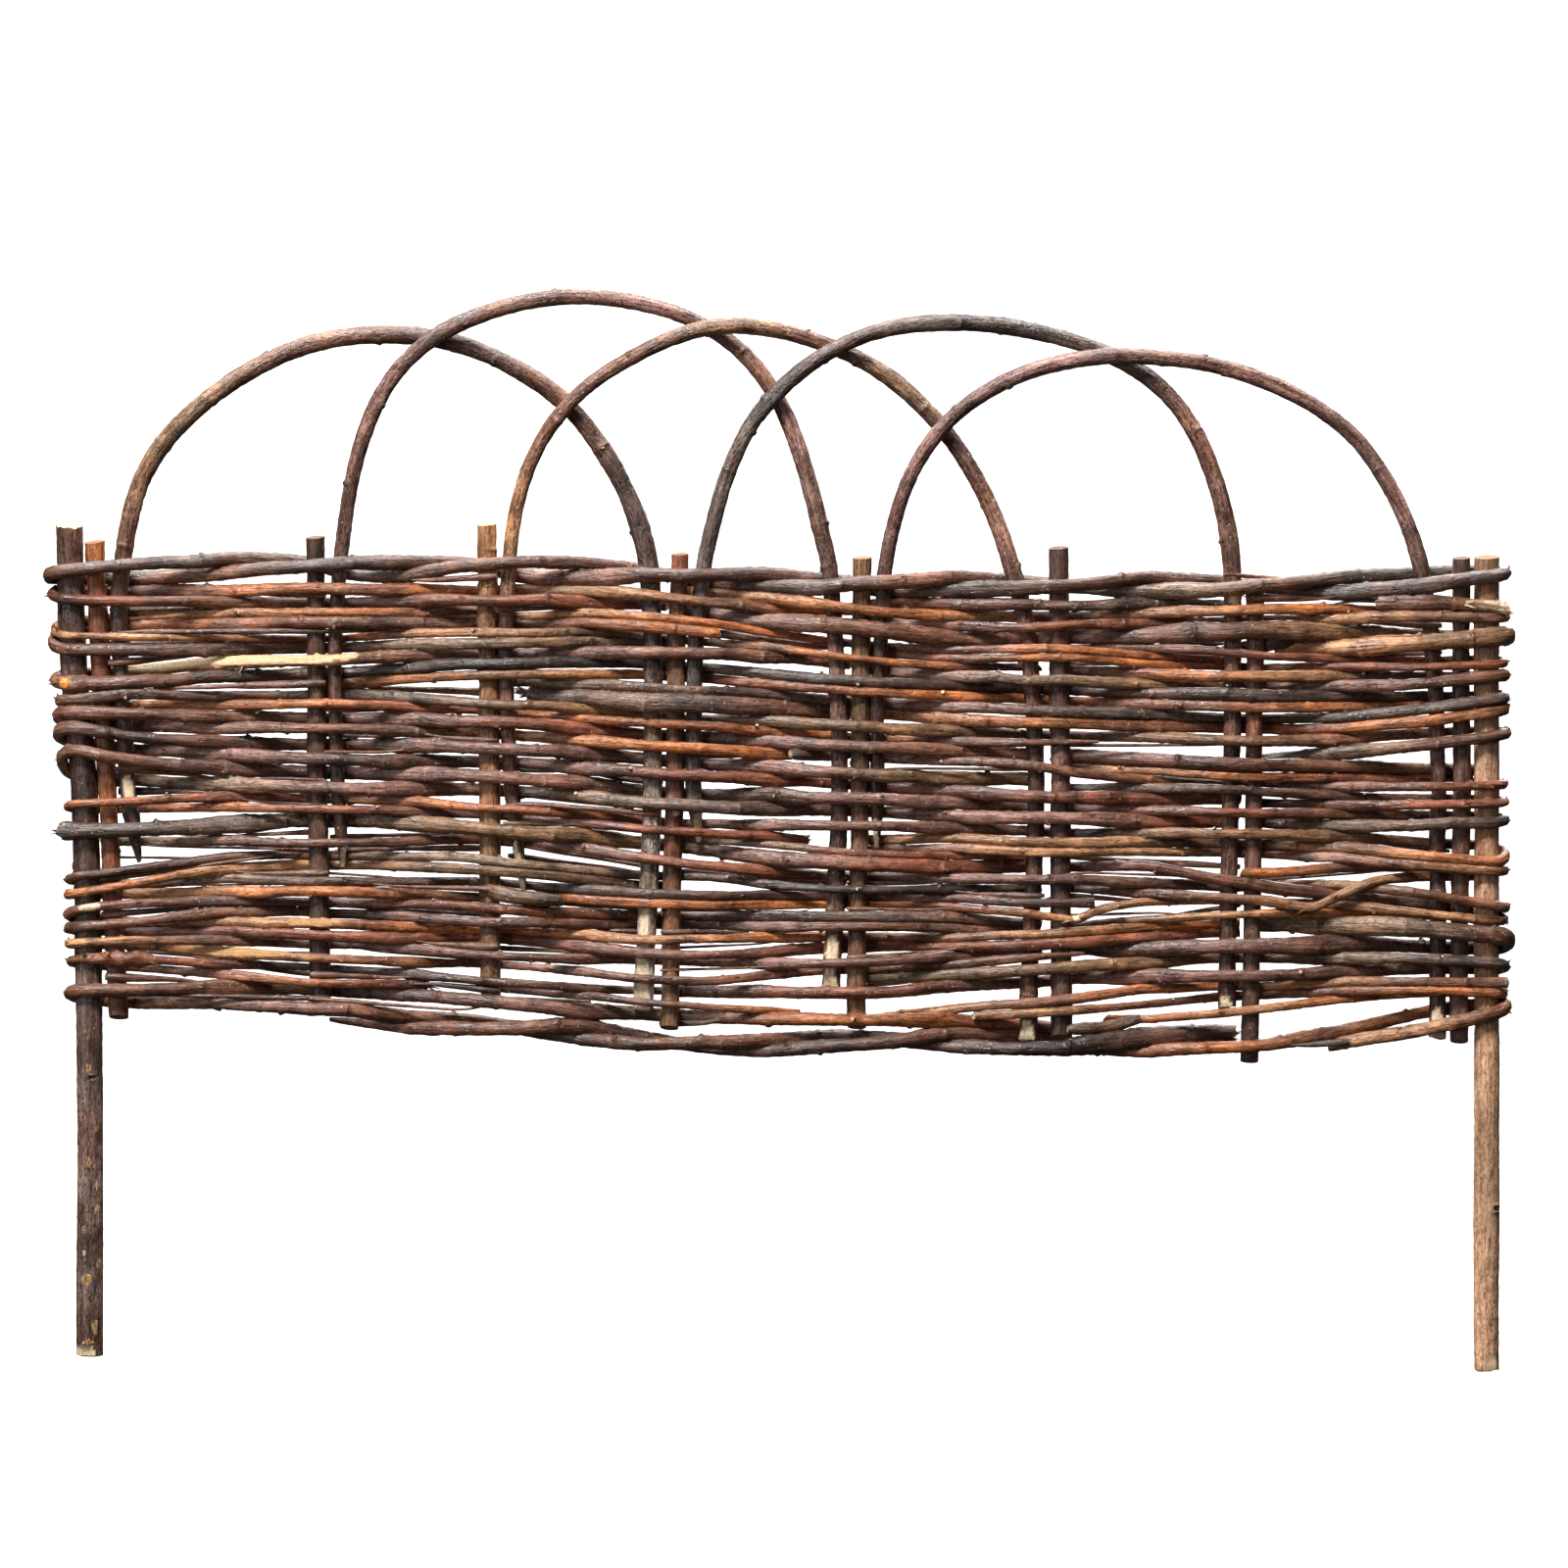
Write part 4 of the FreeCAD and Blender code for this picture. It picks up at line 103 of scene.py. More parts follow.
    "left_weaver_13": (5.8, "L", 17, ["buurrussu", "gtootobto"], ((180.2,306.5,6,1,0),(165.5,307.8,6,1,0),(120.5,311.4,5,0.02,0),(75.5,312.3,5,-1,0),(31.9,312.8,5,-1,0),(-8.7,312.8,4,0,0),(-49.3,312.6,4,1,0),(-96.2,312.4,4,1,0),(-133.5,314.5,4,-0.01,0),(-170.7,316.5,3,-1,0),(-209,318.5,3,-1,0),(-251.2,320.8,3,0,0),(-293.5,320.9,2,1,0),(-326.4,321,2,1,0),(-381.1,322.4,2,-0.09,0),(-435.8,321.4,1,-1,0),(-486.6,316.1,1,-1,-1),(-486.5,311,1,1,-1),(-435.8,307.8,1,1,0),(-381.1,308.8,2,0.09,0),(-326.4,308.4,2,-1,0),(-293.5,307.4,2,-1,0),(-251.2,305,3,0,0),(-209,303.1,3,1,0),(-170.7,301.7,3,1,0),(-133.5,300.4,4,0.01,0),(-96.2,296.3,4,-1,0),(-49.3,296.4,4,-1,0),(-8.7,297.4,4,0,0),(31.9,297.8,5,1,0),(75.5,297.7,5,1,0),(120.5,297.6,5,-0.02,0),(165.5,299.5,6,-1,0),(200.3,301.1,6,-1,0),(250.3,304.1,6,-0.03,0),(300.3,307.1,7,1,0),(315.8,307.2,7,1,0),)),
    "left_weaver_14": (5.93, "L", 17, ["bbumuumbb", "mrrmrrr"], ((180.2,298.1,6,1,0),(165.5,300.9,6,1,0),(120.5,303.9,5,0.02,0),(75.5,304.9,5,-1,0),(31.9,304.9,5,-1,0),(-8.7,305.1,4,0,0),(-49.3,305.8,4,1,0),(-96.2,306.1,4,1,0),(-133.5,306.5,4,-0.01,0),(-170.7,307.3,3,-1,0),(-209,308.4,3,-1,0),(-251.2,311.3,3,0,0),(-293.5,313.4,2,1,0),(-326.4,314.8,2,1,0),(-381.1,315,2,-0.09,0),(-435.8,308.6,1,-1,0),(-486.5,304.8,1,-1,-1),(-486.4,302.9,1,1,-1),(-435.8,301.6,1,1,0),(-381.1,302.2,2,0.09,0),(-326.4,299.4,2,-1,0),(-293.5,297.8,2,-1,0),(-251.2,296.7,3,0,0),(-209,297,3,1,0),(-170.7,294.8,3,1,0),(-133.5,291.7,4,0.01,0),(-96.2,287.1,4,-1,0),(-49.3,285.8,4,-1,0),(-8.7,287.5,4,0,0),(31.9,289.9,5,1,0),(75.5,291.3,5,1,0),(120.5,291.4,5,-0.02,0),(165.5,291.8,6,-1,0),(200.3,293.4,6,-1,0),(250.3,297.9,6,-0.03,0),(300.3,300.3,7,1,0),(315.8,301.1,7,1,0),)),
    "left_weaver_15": (5.8, "L", 17, ["tbumubmbu", "ttormbbub"], ((180.2,288.4,6,1,0),(165.5,288.1,6,1,0),(120.5,285.2,5,0.02,0),(75.5,281.6,5,-1,0),(31.9,279.8,5,-1,0),(-8.7,279.4,4,0,0),(-49.3,280.6,4,1,0),(-96.2,281.7,4,1,0),(-133.5,283,4,-0.01,0),(-170.7,284.1,3,-1,0),(-209,286.2,3,-1,0),(-251.2,289.6,3,0,0),(-293.5,292.6,2,1,0),(-326.4,293.2,2,1,0),(-381.1,295.9,2,-0.09,0),(-435.8,296.1,1,-1,0),(-486.1,293.5,1,-1,-1),(-486.1,291.9,1,1,-1),(-435.8,292.2,1,1,0),(-381.1,287.3,2,0.09,0),(-326.4,284,2,-1,0),(-293.5,282.8,2,-1,0),(-251.2,280.7,3,0,0),(-209,279.6,3,1,0),(-170.7,277.2,3,1,0),(-133.5,273.9,4,0.01,0),(-96.2,269.5,4,-1,0),(-49.3,267.5,4,-1,0),(-8.7,271.1,4,0,0),(31.9,275,5,1,0),(75.5,276.6,5,1,0),(120.5,278.9,5,-0.02,0),(165.5,283.2,6,-1,0),(200.3,286.1,6,-1,0),(208.4,286.7,6,-0.84,0),)),
    "left_weaver_16": (5.28, "L", 11, ["rrksuuu", "tmor"], ((-74.8,260.4,4,1,0),(-96.2,260.6,4,1,0),(-133.5,263.1,4,-0.01,0),(-170.7,265.8,3,-1,0),(-209,268.9,3,-1,0),(-251.2,272.5,3,0,0),(-293.5,275.3,2,1,0),(-326.4,277.2,2,1,0),(-381.1,279.1,2,-0.09,0),(-435.8,283.2,1,-1,0),(-485.7,283.4,1,-1,-1),(-485.6,279.1,1,1,-1),(-435.8,276.2,1,1,0),(-381.1,272.7,2,0.09,0),(-326.4,267.9,2,-1,0),(-293.5,266.3,2,-1,0),(-251.2,265,3,0,0),(-240.5,264.8,3,0.25,0),)),
    "left_weaver_17": (7.47, "L", 17, ["bbuumuuoor", "tmbbubuuku"], ((200.3,234,6,1,0),(165.5,238.1,6,1,0),(120.5,240.4,5,0.02,0),(75.5,241.2,5,-1,0),(31.9,241.6,5,-1,0),(-8.7,241.5,4,0,0),(-49.3,242.7,4,1,0),(-96.2,244.5,4,1,0),(-133.5,247.3,4,-0.01,0),(-170.7,251,3,-1,0),(-209,254.7,3,-1,0),(-251.2,258.3,3,0,0),(-293.5,259.8,2,1,0),(-326.4,262.7,2,1,0),(-381.1,263.6,2,-0.08,0),(-435.8,261.6,1,-1,0),(-486.3,261.1,1,-1,-1),(-486.2,256.3,1,1,-1),(-435.8,252.7,1,1,0),(-381.1,252.1,2,0.08,0),(-326.4,249.5,2,-1,0),(-293.5,247.5,2,-1,0),(-251.2,243.2,3,0,0),(-209,239.6,3,1,0),(-170.7,233.4,3,1,0),(-133.5,227.8,4,0.01,0),(-96.2,225.1,4,-1,0),(-49.3,225.8,4,-1,0),(-8.7,227.4,4,0,0),(31.9,229.5,5,1,0),(75.5,227.6,5,1,0),(120.5,222.6,5,-0.02,0),(165.5,221.6,6,-1,0),(200.3,222.1,6,-1,0),(250.3,227.5,6,-0.03,0),(300.3,230,7,1,0),(313.1,230.2,7,1,0),)),
    "right_weaver_01": (8.63, "R", 11, ["suuuss", "usbusguss"], ((56.8,538.6,5,1,0),(75.5,535.7,5,1,0),(120.5,536,5,-0.02,0),(165.5,537.1,6,-1,0),(200.3,538.1,6,-1,0),(250.3,544.5,6,-0.02,0),(300.3,542.2,7,1,0),(333.2,538.3,7,1,0),(387.2,533.6,7,-0.12,0),(441.2,538.7,8,-1,0),(497.8,545.5,8,-1,-1),(497.8,548.9,8,1,-1),(441.2,548,8,1,0),(387.2,544.8,7,0.12,0),(333.2,538.2,7,-1,0),(300.3,534.3,7,-1,0),(250.3,534.8,6,0.02,0),(200.3,538.5,6,1,0),(165.5,542.1,6,1,0),(120.5,545.3,5,0.02,0),(75.5,541.1,5,-1,0),(31.9,537.4,5,-1,0),(-8.7,538,4,0,0),(-49.3,540.8,4,1,0),(-69.4,544,4,1,0),)),
    "right_weaver_02": (6.57, "R", 11, ["mrrutb", "toltor"], ((59.4,515,5,1,0),(75.5,514.6,5,1,0),(120.5,510.7,5,-0.02,0),(165.5,509.1,6,-1,0),(200.3,511.6,6,-1,0),(250.3,512.5,6,-0.03,0),(300.3,513.6,7,1,0),(333.2,514.9,7,1,0),(387.2,515.4,7,-0.14,0),(441.2,516.9,8,-1,0),(496.8,515.5,8,-1,-1),(496.8,519.4,8,1,-1),(441.2,521.1,8,1,0),(387.2,522.3,7,0.14,0),(333.2,522.4,7,-1,0),(300.3,520.8,7,-1,0),(250.3,519.4,6,0.03,0),(200.3,517.5,6,1,0),(165.5,517.5,6,1,0),(120.5,518,5,0.02,0),(75.5,520,5,-1,0),(31.9,525,5,-1,0),(-8.7,530.1,4,0,0),(-49.3,532.4,4,1,0),(-69.4,535.4,4,1,0),)),
    "right_weaver_03": (9.92, "R", 4, ["ttl", "mbbmblu"], ((339.9,496.8,7,0.86,0),(387.2,496.2,7,-0.12,0),(441.2,498.9,8,-1,0),(498.5,503.2,8,-1,-1),(498.5,503.2,8,1,-1),(441.2,503.8,8,1,0),(387.2,506.5,7,0.12,0),(333.2,507.4,7,-1,0),(300.3,505.6,7,-1,0),(250.3,503.8,6,0.02,0),(200.3,503.9,6,1,0),(165.5,501,6,1,0),(120.5,502.1,5,0.02,0),(75.5,505.9,5,-1,0),(31.9,510.4,5,-1,0),(-8.7,513.9,4,0,0),(-49.3,519.8,4,1,0),(-69.4,523,4,1,0),)),
    "right_weaver_04": (5.15, "R", 11, ["moorrr", "lmrro"], ((59.4,491.8,5,1,0),(75.5,491.2,5,1,0),(120.5,488.8,5,-0.03,0),(165.5,488.5,6,-1,0),(200.3,489,6,-1,0),(250.3,484.9,6,-0.03,0),(300.3,483.2,7,1,0),(333.2,482.3,7,1,0),(387.2,482.9,7,-0.15,0),(441.2,482.9,8,-1,0),(496.1,484.5,8,-1,-1),(496.1,487.8,8,1,-1),(441.2,487.7,8,1,0),(387.2,488.1,7,0.15,0),(333.2,490.2,7,-1,0),(300.3,493.4,7,-1,0),(250.3,496,6,0.03,0),(200.3,494.9,6,1,0),(193.6,494.9,6,1,0),)),
    "right_weaver_05": (6.83, "R", 11, ["mglumb", "motub"], ((56.8,482.5,5,1,0),(75.5,480.3,5,1,0),(120.5,477,5,-0.02,0),(165.5,474.4,6,-1,0),(200.3,473.4,6,-1,0),(250.3,471.3,6,-0.03,0),(300.3,470.7,7,1,0),(333.2,469.5,7,1,0),(387.2,469.2,7,-0.14,0),(441.2,471.3,8,-1,0),(496.9,475.7,8,-1,-1),(496.9,476.4,8,1,-1),(441.2,476.4,8,1,0),(387.2,476.5,7,0.14,0),(333.2,476.1,7,-1,0),(300.3,475.8,7,-1,0),(250.3,478.6,6,0.03,0),(200.3,481.1,6,1,0),(186.9,481.8,6,1,0),)),
    "right_weaver_06": (6.44, "R", 17, ["gusmssss", "ssukusus"], ((-195.5,472.4,3,1,0),(-170.7,473.1,3,1,0),(-133.5,471.2,4,0.01,0),(-96.2,469.1,4,-1,0),(-49.3,466.1,4,-1,0),(-8.7,464.6,4,0,0),(31.9,461,5,1,0),(75.5,457.6,5,1,0),(120.5,456.1,5,-0.02,0),(165.5,453.8,6,-1,0),(200.3,452.5,6,-1,0),(250.3,450.7,6,-0.03,0),(300.3,448.2,7,1,0),(333.2,447.1,7,1,0),(387.2,448.8,7,-0.14,0),(441.2,454.9,8,-1,0),(496.7,462.3,8,-1,-1),(496.7,463.5,8,1,-1),(441.2,463.2,8,1,0),(387.2,462.1,7,0.14,0),(333.2,463.3,7,-1,0),(300.3,464.4,7,-1,0),(250.3,464.3,6,0.03,0),(200.3,466.6,6,1,0),(165.5,468.1,6,1,0),(120.5,470.1,5,0.02,0),(75.5,471.1,5,-1,0),(31.9,474.5,5,-1,0),(-8.7,478.2,4,0,0),(-49.3,482,4,1,0),(-69.4,483.2,4,1,0),)),
    "right_weaver_07": (6.18, "R", 11, ["tobroo", "otoroomob"], ((59.4,451.3,5,1,0),(75.5,450.3,5,1,0),(120.5,446.4,5,-0.02,0),(165.5,444.1,6,-1,0),(200.3,443.8,6,-1,0),(250.3,442.3,6,-0.03,0),(300.3,441.3,7,1,0),(333.2,440.4,7,1,0),(387.2,441.3,7,-0.14,0),(441.2,445.1,8,-1,0),(496.6,452.2,8,-1,-1),(496.6,455.8,8,1,-1),(441.2,456.2,8,1,0),(387.2,455.4,7,0.14,0),(333.2,454.2,7,-1,0),(300.3,454.9,7,-1,0),(250.3,457.4,6,0.03,0),(200.3,459.9,6,1,0),(165.5,461.3,6,1,0),(120.5,462.8,5,0.02,0),(75.5,464.5,5,-1,0),(31.9,467.2,5,-1,0),(-8.7,471.3,4,0,0),(-49.3,475.1,4,1,0),(-96.2,477.9,4,1,0),(-133.5,477.9,4,-0.01,0),(-170.7,477.7,3,-1,0),(-209,476.5,3,-1,0),(-251.2,474.4,3,0,0),(-293.5,472.5,2,1,0),(-315,471.3,2,1,0),)),
    "right_weaver_08": (7.21, "R", 5, ["sgbu", "glulbb"], ((319.8,418.7,7,1,0),(333.2,419.3,7,1,0),(387.2,423.8,7,-0.13,0),(441.2,429.4,8,-1,0),(497.1,436.1,8,-1,-1),(497.1,438.8,8,1,-1),(441.2,437.6,8,1,0),(387.2,433.7,7,0.13,0),(333.2,431.9,7,-1,0),(300.3,432.6,7,-1,0),(250.3,434.5,6,0.03,0),(200.3,435.7,6,1,0),(165.5,437,6,1,0),(120.5,439.1,5,0.02,0),(75.5,441.1,5,-1,0),(31.9,443.2,5,-1,0),(-8.7,445.9,4,0,0),(-49.3,447.1,4,1,0),(-69.4,447.8,4,1,0),)),
    "right_weaver_09": (5.8, "R", 11, ["mbbumr", "torr"], ((59.4,421.1,5,1,0),(75.5,420.2,5,1,0),(120.5,418.2,5,-0.02,0),(165.5,416.3,6,-1,0),(200.3,410.4,6,-1,0),(250.3,405.9,6,-0.03,0),(300.3,403.2,7,1,0),(333.2,401.6,7,1,0),(387.2,400.8,7,-0.14,0),(441.2,400.9,8,-1,0),(496.4,401.9,8,-1,-1),(496.4,403.2,8,1,-1),(441.2,404.9,8,1,0),(387.2,407,7,0.14,0),(333.2,407.4,7,-1,0),(300.3,408.4,7,-1,0),(250.3,412.2,6,0.03,0),(200.3,413.9,6,1,0),(193.6,413.8,6,1,0),)),
    "right_weaver_10": (5.93, "R", 5, ["urr", "suuu"], ((322.5,390.4,7,1,0),(333.2,389.7,7,1,0),(387.2,388.1,7,-0.14,0),(441.2,388.2,8,-1,0),(496.5,389.2,8,-1,-1),(496.5,391.9,8,1,-1),(441.2,392.3,8,1,0),(387.2,394.3,7,0.14,0),(333.2,397.1,7,-1,0),(300.3,398.6,7,-1,0),(250.3,399.6,6,0.03,0),(200.3,399.5,6,1,0),(186.9,399.6,6,1,0),)),
    "right_weaver_11": (6.83, "R", 5, ["ugs", "mruu"], ((322.5,377,7,1,0),(333.2,376.2,7,1,0),(387.2,374.1,7,-0.14,0),(441.2,374.5,8,-1,0),(496.9,377.1,8,-1,-1),(496.9,379.8,8,1,-1),(441.2,381,8,1,0),(387.2,381.5,7,0.14,0),(333.2,382.3,7,-1,0),(300.3,384.1,7,-1,0),(250.3,384.7,6,0.03,0),(200.3,385.7,6,1,0),(186.9,386.3,6,1,0),)),
    "right_weaver_12": (6.44, "R", 11, ["ttluto", "mmustlu"], ((59.4,364.4,5,1,0),(75.5,364.6,5,1,0),(120.5,365.3,5,-0.02,0),(165.5,363.7,6,-1,0),(200.3,362.9,6,-1,0),(250.3,362.5,6,-0.03,0),(300.3,362.4,7,1,0),(333.2,361.5,7,1,0),(387.2,359.4,7,-0.14,0),(441.2,353.5,8,-1,0),(496.7,349.6,8,-1,-1),(496.7,359.7,8,1,-1),(441.2,362.4,8,1,0),(387.2,366.2,7,0.14,0),(333.2,368.4,7,-1,0),(300.3,368.8,7,-1,0),(250.3,369.3,6,0.03,0),(200.3,368.7,6,1,0),(165.5,369.9,6,1,0),(120.5,372.1,5,0.02,0),(75.5,374,5,-1,0),(31.9,374.5,5,-1,0),(-8.7,374.9,4,0,0),(-49.3,375.3,4,1,0),(-69.4,375.1,4,1,0),)),
    "right_weaver_13": (5.67, "R", 11, ["mttlmt", "obru"], ((59.4,357.8,5,1,0),(75.5,358.2,5,1,0),(120.5,358.6,5,-0.02,0),(165.5,356.4,6,-1,0),(200.3,355.2,6,-1,0),(250.3,356.1,6,-0.03,0),(300.3,355.8,7,1,0),(333.2,354.8,7,1,0),(387.2,351.6,7,-0.14,0),(441.2,346,8,-1,0),(496.4,341.5,8,-1,-1),(496.4,345,8,1,-1),(441.2,346.3,8,1,0),(387.2,345.6,7,0.14,0),(333.2,342.4,7,-1,0),(314.4,342.8,7,-1,0),)),
    "right_weaver_14": (6.31, "R", 23, ["gmurmrrmmuulb", "mruum"], ((-466.6,362.5,1,1,0),(-435.8,363.6,1,1,0),(-381.1,364.6,2,0.09,0),(-326.4,362.2,2,-1,0),(-293.5,361.8,2,-1,0),(-251.2,363.4,3,0,0),(-209,364.8,3,1,0),(-170.7,361.9,3,1,0),(-133.5,357.5,4,0.01,0),(-96.2,352.3,4,-1,0),(-49.3,346.2,4,-1,0),(-8.7,343,4,0,0),(31.9,340.1,5,1,0),(75.5,338.8,5,1,0),(120.5,337.9,5,-0.02,0),(165.5,337.3,6,-1,0),(200.3,337.3,6,-1,0),(250.3,335.1,6,-0.03,0),(300.3,332.1,7,1,0),(333.2,333.1,7,1,0),(387.2,333.3,7,-0.14,0),(441.2,327,8,-1,0),(496.7,318.7,8,-1,-1),(496.7,319.4,8,1,-1),(441.2,320.9,8,1,0),(387.2,325.4,7,0.14,0),(333.2,332.4,7,-1,0),(300.3,337.8,7,-1,0),(250.3,346.1,6,0.03,0),(200.3,346.1,6,1,0),(186.9,346.4,6,1,0),)),
    "right_weaver_15": (5.15, "R", 17, ["ooortlbt", "utob"], ((-167.4,325.8,3,0.91,0),(-133.5,323.4,4,0.01,0),(-96.2,320.9,4,-1,0),(-49.3,319.3,4,-1,0),(-8.7,320.2,4,0,0),(31.9,319.8,5,1,0),(75.5,320,5,1,0),(120.5,318.9,5,-0.03,0),(165.5,314.4,6,-1,0),(202.4,309.3,6,-0.96,14),(221.1,317.6,6,-0.6,0),(250.3,321.6,6,-0.03,0),(300.3,322.6,7,1,0),(333.2,321.4,7,1,0),(387.2,319.8,7,-0.15,0),(441.2,314.4,8,-1,0),(496.1,308.7,8,-1,-1),(496.1,311.3,8,1,-1),(441.2,312.4,8,1,0),(387.2,314.6,7,0.15,0),(333.2,313.9,7,-1,0),(300.3,312.7,7,-1,0),(250.3,310,6,0.03,0),(200.3,305,6,1,0),(186.9,304.2,6,1,0),)),
    "right_weaver_16": (9.66, "R", 5, ["glgu", "smuu"], ((319.8,306.6,7,1,0),(333.2,306.6,7,1,0),(387.2,305.9,7,-0.12,0),(441.2,302.9,8,-1,0),(498.4,298.6,8,-1,-1),(498.4,291.2,8,1,-1),(441.2,291.1,8,1,0),(387.2,292.6,7,0.12,0),(333.2,292.5,7,-1,0),(300.3,291.9,7,-1,0),(250.3,289.6,6,0.02,0),(200.3,290.1,6,1,0),(186.9,292.8,6,1,0),)),
    "right_weaver_17": (7.34, "R", 11, ["gllugs", "urummuu"], ((58.1,268,5,1,0),(75.5,268.8,5,1,0),(120.5,272,5,-0.02,0),(165.5,274.6,6,-1,0),(200.3,276.7,6,-1,0),(250.3,280.7,6,-0.03,0),(300.3,283.4,7,1,0),(333.2,284,7,1,0),(387.2,283.6,7,-0.13,0),(441.2,283.3,8,-1,0),(497.2,279.8,8,-1,-1),(497.2,275.1,8,1,-1),(441.2,275.4,8,1,0),(387.2,274,7,0.13,0),(333.2,271.4,7,-1,0),(300.3,271.4,7,-1,0),(250.3,270.7,6,0.03,0),(200.3,268.6,6,1,0),(165.5,266.4,6,1,0),(120.5,263.7,5,0.02,0),(75.5,260,5,-1,0),(31.9,259.7,5,-1,0),(-8.7,260.4,4,0,0),(-49.3,260.4,4,1,0),(-69.4,260.4,4,1,0),)),
    "right_weaver_18": (5.41, "R", 9, ["tbbo", "otob"], ((131.2,243.8,6,-0.26,0),(165.5,245.4,6,-1,0),(200.3,247.6,6,-1,0),(250.3,251.8,6,-0.03,0),(300.3,256.1,7,1,0),(333.2,257.9,7,1,0),(387.2,261,7,-0.15,0),(441.2,261.4,8,-1,0),(496.2,259.7,8,-1,-1),(496.2,260.4,8,1,-1),(441.2,259,8,1,0),(387.2,255.5,7,0.15,0),(333.2,249.5,7,-1,0),(300.3,245.8,7,-1,0),(250.3,242.1,6,0.03,0),(221.8,241.6,6,0.58,0),)),
    "right_weaver_19": (7.47, "R", 4, ["ttb", "bbuuubbobo"], ((375.5,223.7,7,0.11,0),(387.2,225.6,7,-0.13,0),(441.2,235.1,8,-1,0),(497.3,247.6,8,-1,-1),(497.3,252.3,8,1,-1),(441.2,245.8,8,1,0),(387.2,233.4,7,0.13,0),(333.2,225.4,7,-1,0),(300.3,222.7,7,-1,0),(250.3,219.1,6,0.03,0),(200.3,223.2,6,1,0),(165.5,230.3,6,1,0),(120.5,231.6,5,0.02,0),(75.5,226.2,5,-1,0),(31.9,222.5,5,-1,0),(-8.7,219.3,4,0,0),(-49.3,221.2,4,1,0),(-96.2,229.4,4,1,0),(-133.5,235.9,4,-0.01,0),(-170.7,236.8,3,-1,0),(-209,235.1,3,-1,0),(-251.2,235.2,3,0,0),(-293.5,239.3,2,1,0),(-308.9,241.1,2,1,0),)),
    "short_weaver_01": (7.73, "", 0, ["bmbtc"], ((409,527.1,8,-0.47,0),(441.2,526.6,8,-1,0),(499.6,522.9,8,-1,0),)),
    "short_weaver_02": (9.92, "", 0, ["sgsub"], ((-174.1,464.7,3,1,0),(-133.5,462.2,4,0,0),(-96.2,459.2,4,-1,0),(-49.3,456.7,4,-1,0),(-8.7,454.9,4,0,0),(31.9,452.5,5,1,0),(51.4,451,5,1,0),)),
    "short_weaver_03": (8.76, "", 0, ["mubb"], ((186.9,421.9,6,1,0),(200.3,421.9,6,1,0),(250.3,419.8,6,0.02,0),(300.3,416.3,7,-1,0),(333.2,415.1,7,-1,0),(387.2,414.7,7,0.12,0),(441.2,412.7,8,1,0),(479.5,411.5,8,1,0),)),
    "short_weaver_04": (9.02, "", 0, ["ssglllmrr"], ((-492.1,370.4,1,-1,0),(-435.8,371.3,1,-1,0),(-381.1,374.1,2,-0.08,0),(-326.4,378.1,2,1,0),(-293.5,377.8,2,1,0),(-251.2,376,3,0,0),(-209,372.9,3,-1,0),(-170.7,369.6,3,-1,0),(-133.5,366.5,4,0,0),(-96.2,361.8,4,1,0),(-49.3,357.8,4,1,0),(-8.7,352.8,4,0,0),(31.9,348.9,5,-1,0),(75.5,347.2,5,-1,0),(120.5,345.9,5,0.02,0),(165.5,345.7,6,1,0),(180.2,345.7,6,1,0),)),
    "short_weaver_05": (4.25, "", 0, ["grr"], ((-69.4,366.3,4,1,0),(-49.3,364.4,4,1,0),(-8.7,361.3,4,0,0),(31.9,357,5,-1,0),(75.5,354.8,5,-1,0),(120.5,353.2,5,0.03,0),(165.5,352.3,6,1,0),(180.2,352.4,6,1,0),)),
    "short_weaver_06": (5.67, "", 0, ["ubtl"], ((186.9,331.4,6,1,0),(200.3,331.1,6,1,0),(250.3,328.4,6,0.03,0),(300.3,325.4,7,-1,0),(333.2,323,7,-1,0),(364.1,318,7,-1.25,14),(407,337.2,8,-0.83,30),(441.2,339.2,8,1,30),(479.5,339.4,8,1,0),)),
    "short_weaver_07": (5.8, "", 0, ["tbotb"], ((51.4,241.2,5,1,0),(75.5,242.9,5,1,0),(120.5,248.9,5,-0.02,0),(165.5,252.8,6,-1,0),(200.3,256.2,6,-1,0),(250.3,261.7,6,-0.03,0),(300.3,265,7,1,0),(333.2,263.9,7,1,0),(387.2,267.2,7,-0.14,0),(441.2,267.9,8,-1,0),(498.3,267.7,8,-1,0),)),
    "short_weaver_08": (4.9, "", 0, ["mubo"], ((-195.5,262.7,3,1,0),(-170.7,261.1,3,1,0),(-133.5,257.7,4,0.01,0),(-96.2,253.6,4,-1,0),(-49.3,250,4,-1,0),(-8.7,248.3,4,0,0),(13.8,245.8,5,0.55,0),)),
}

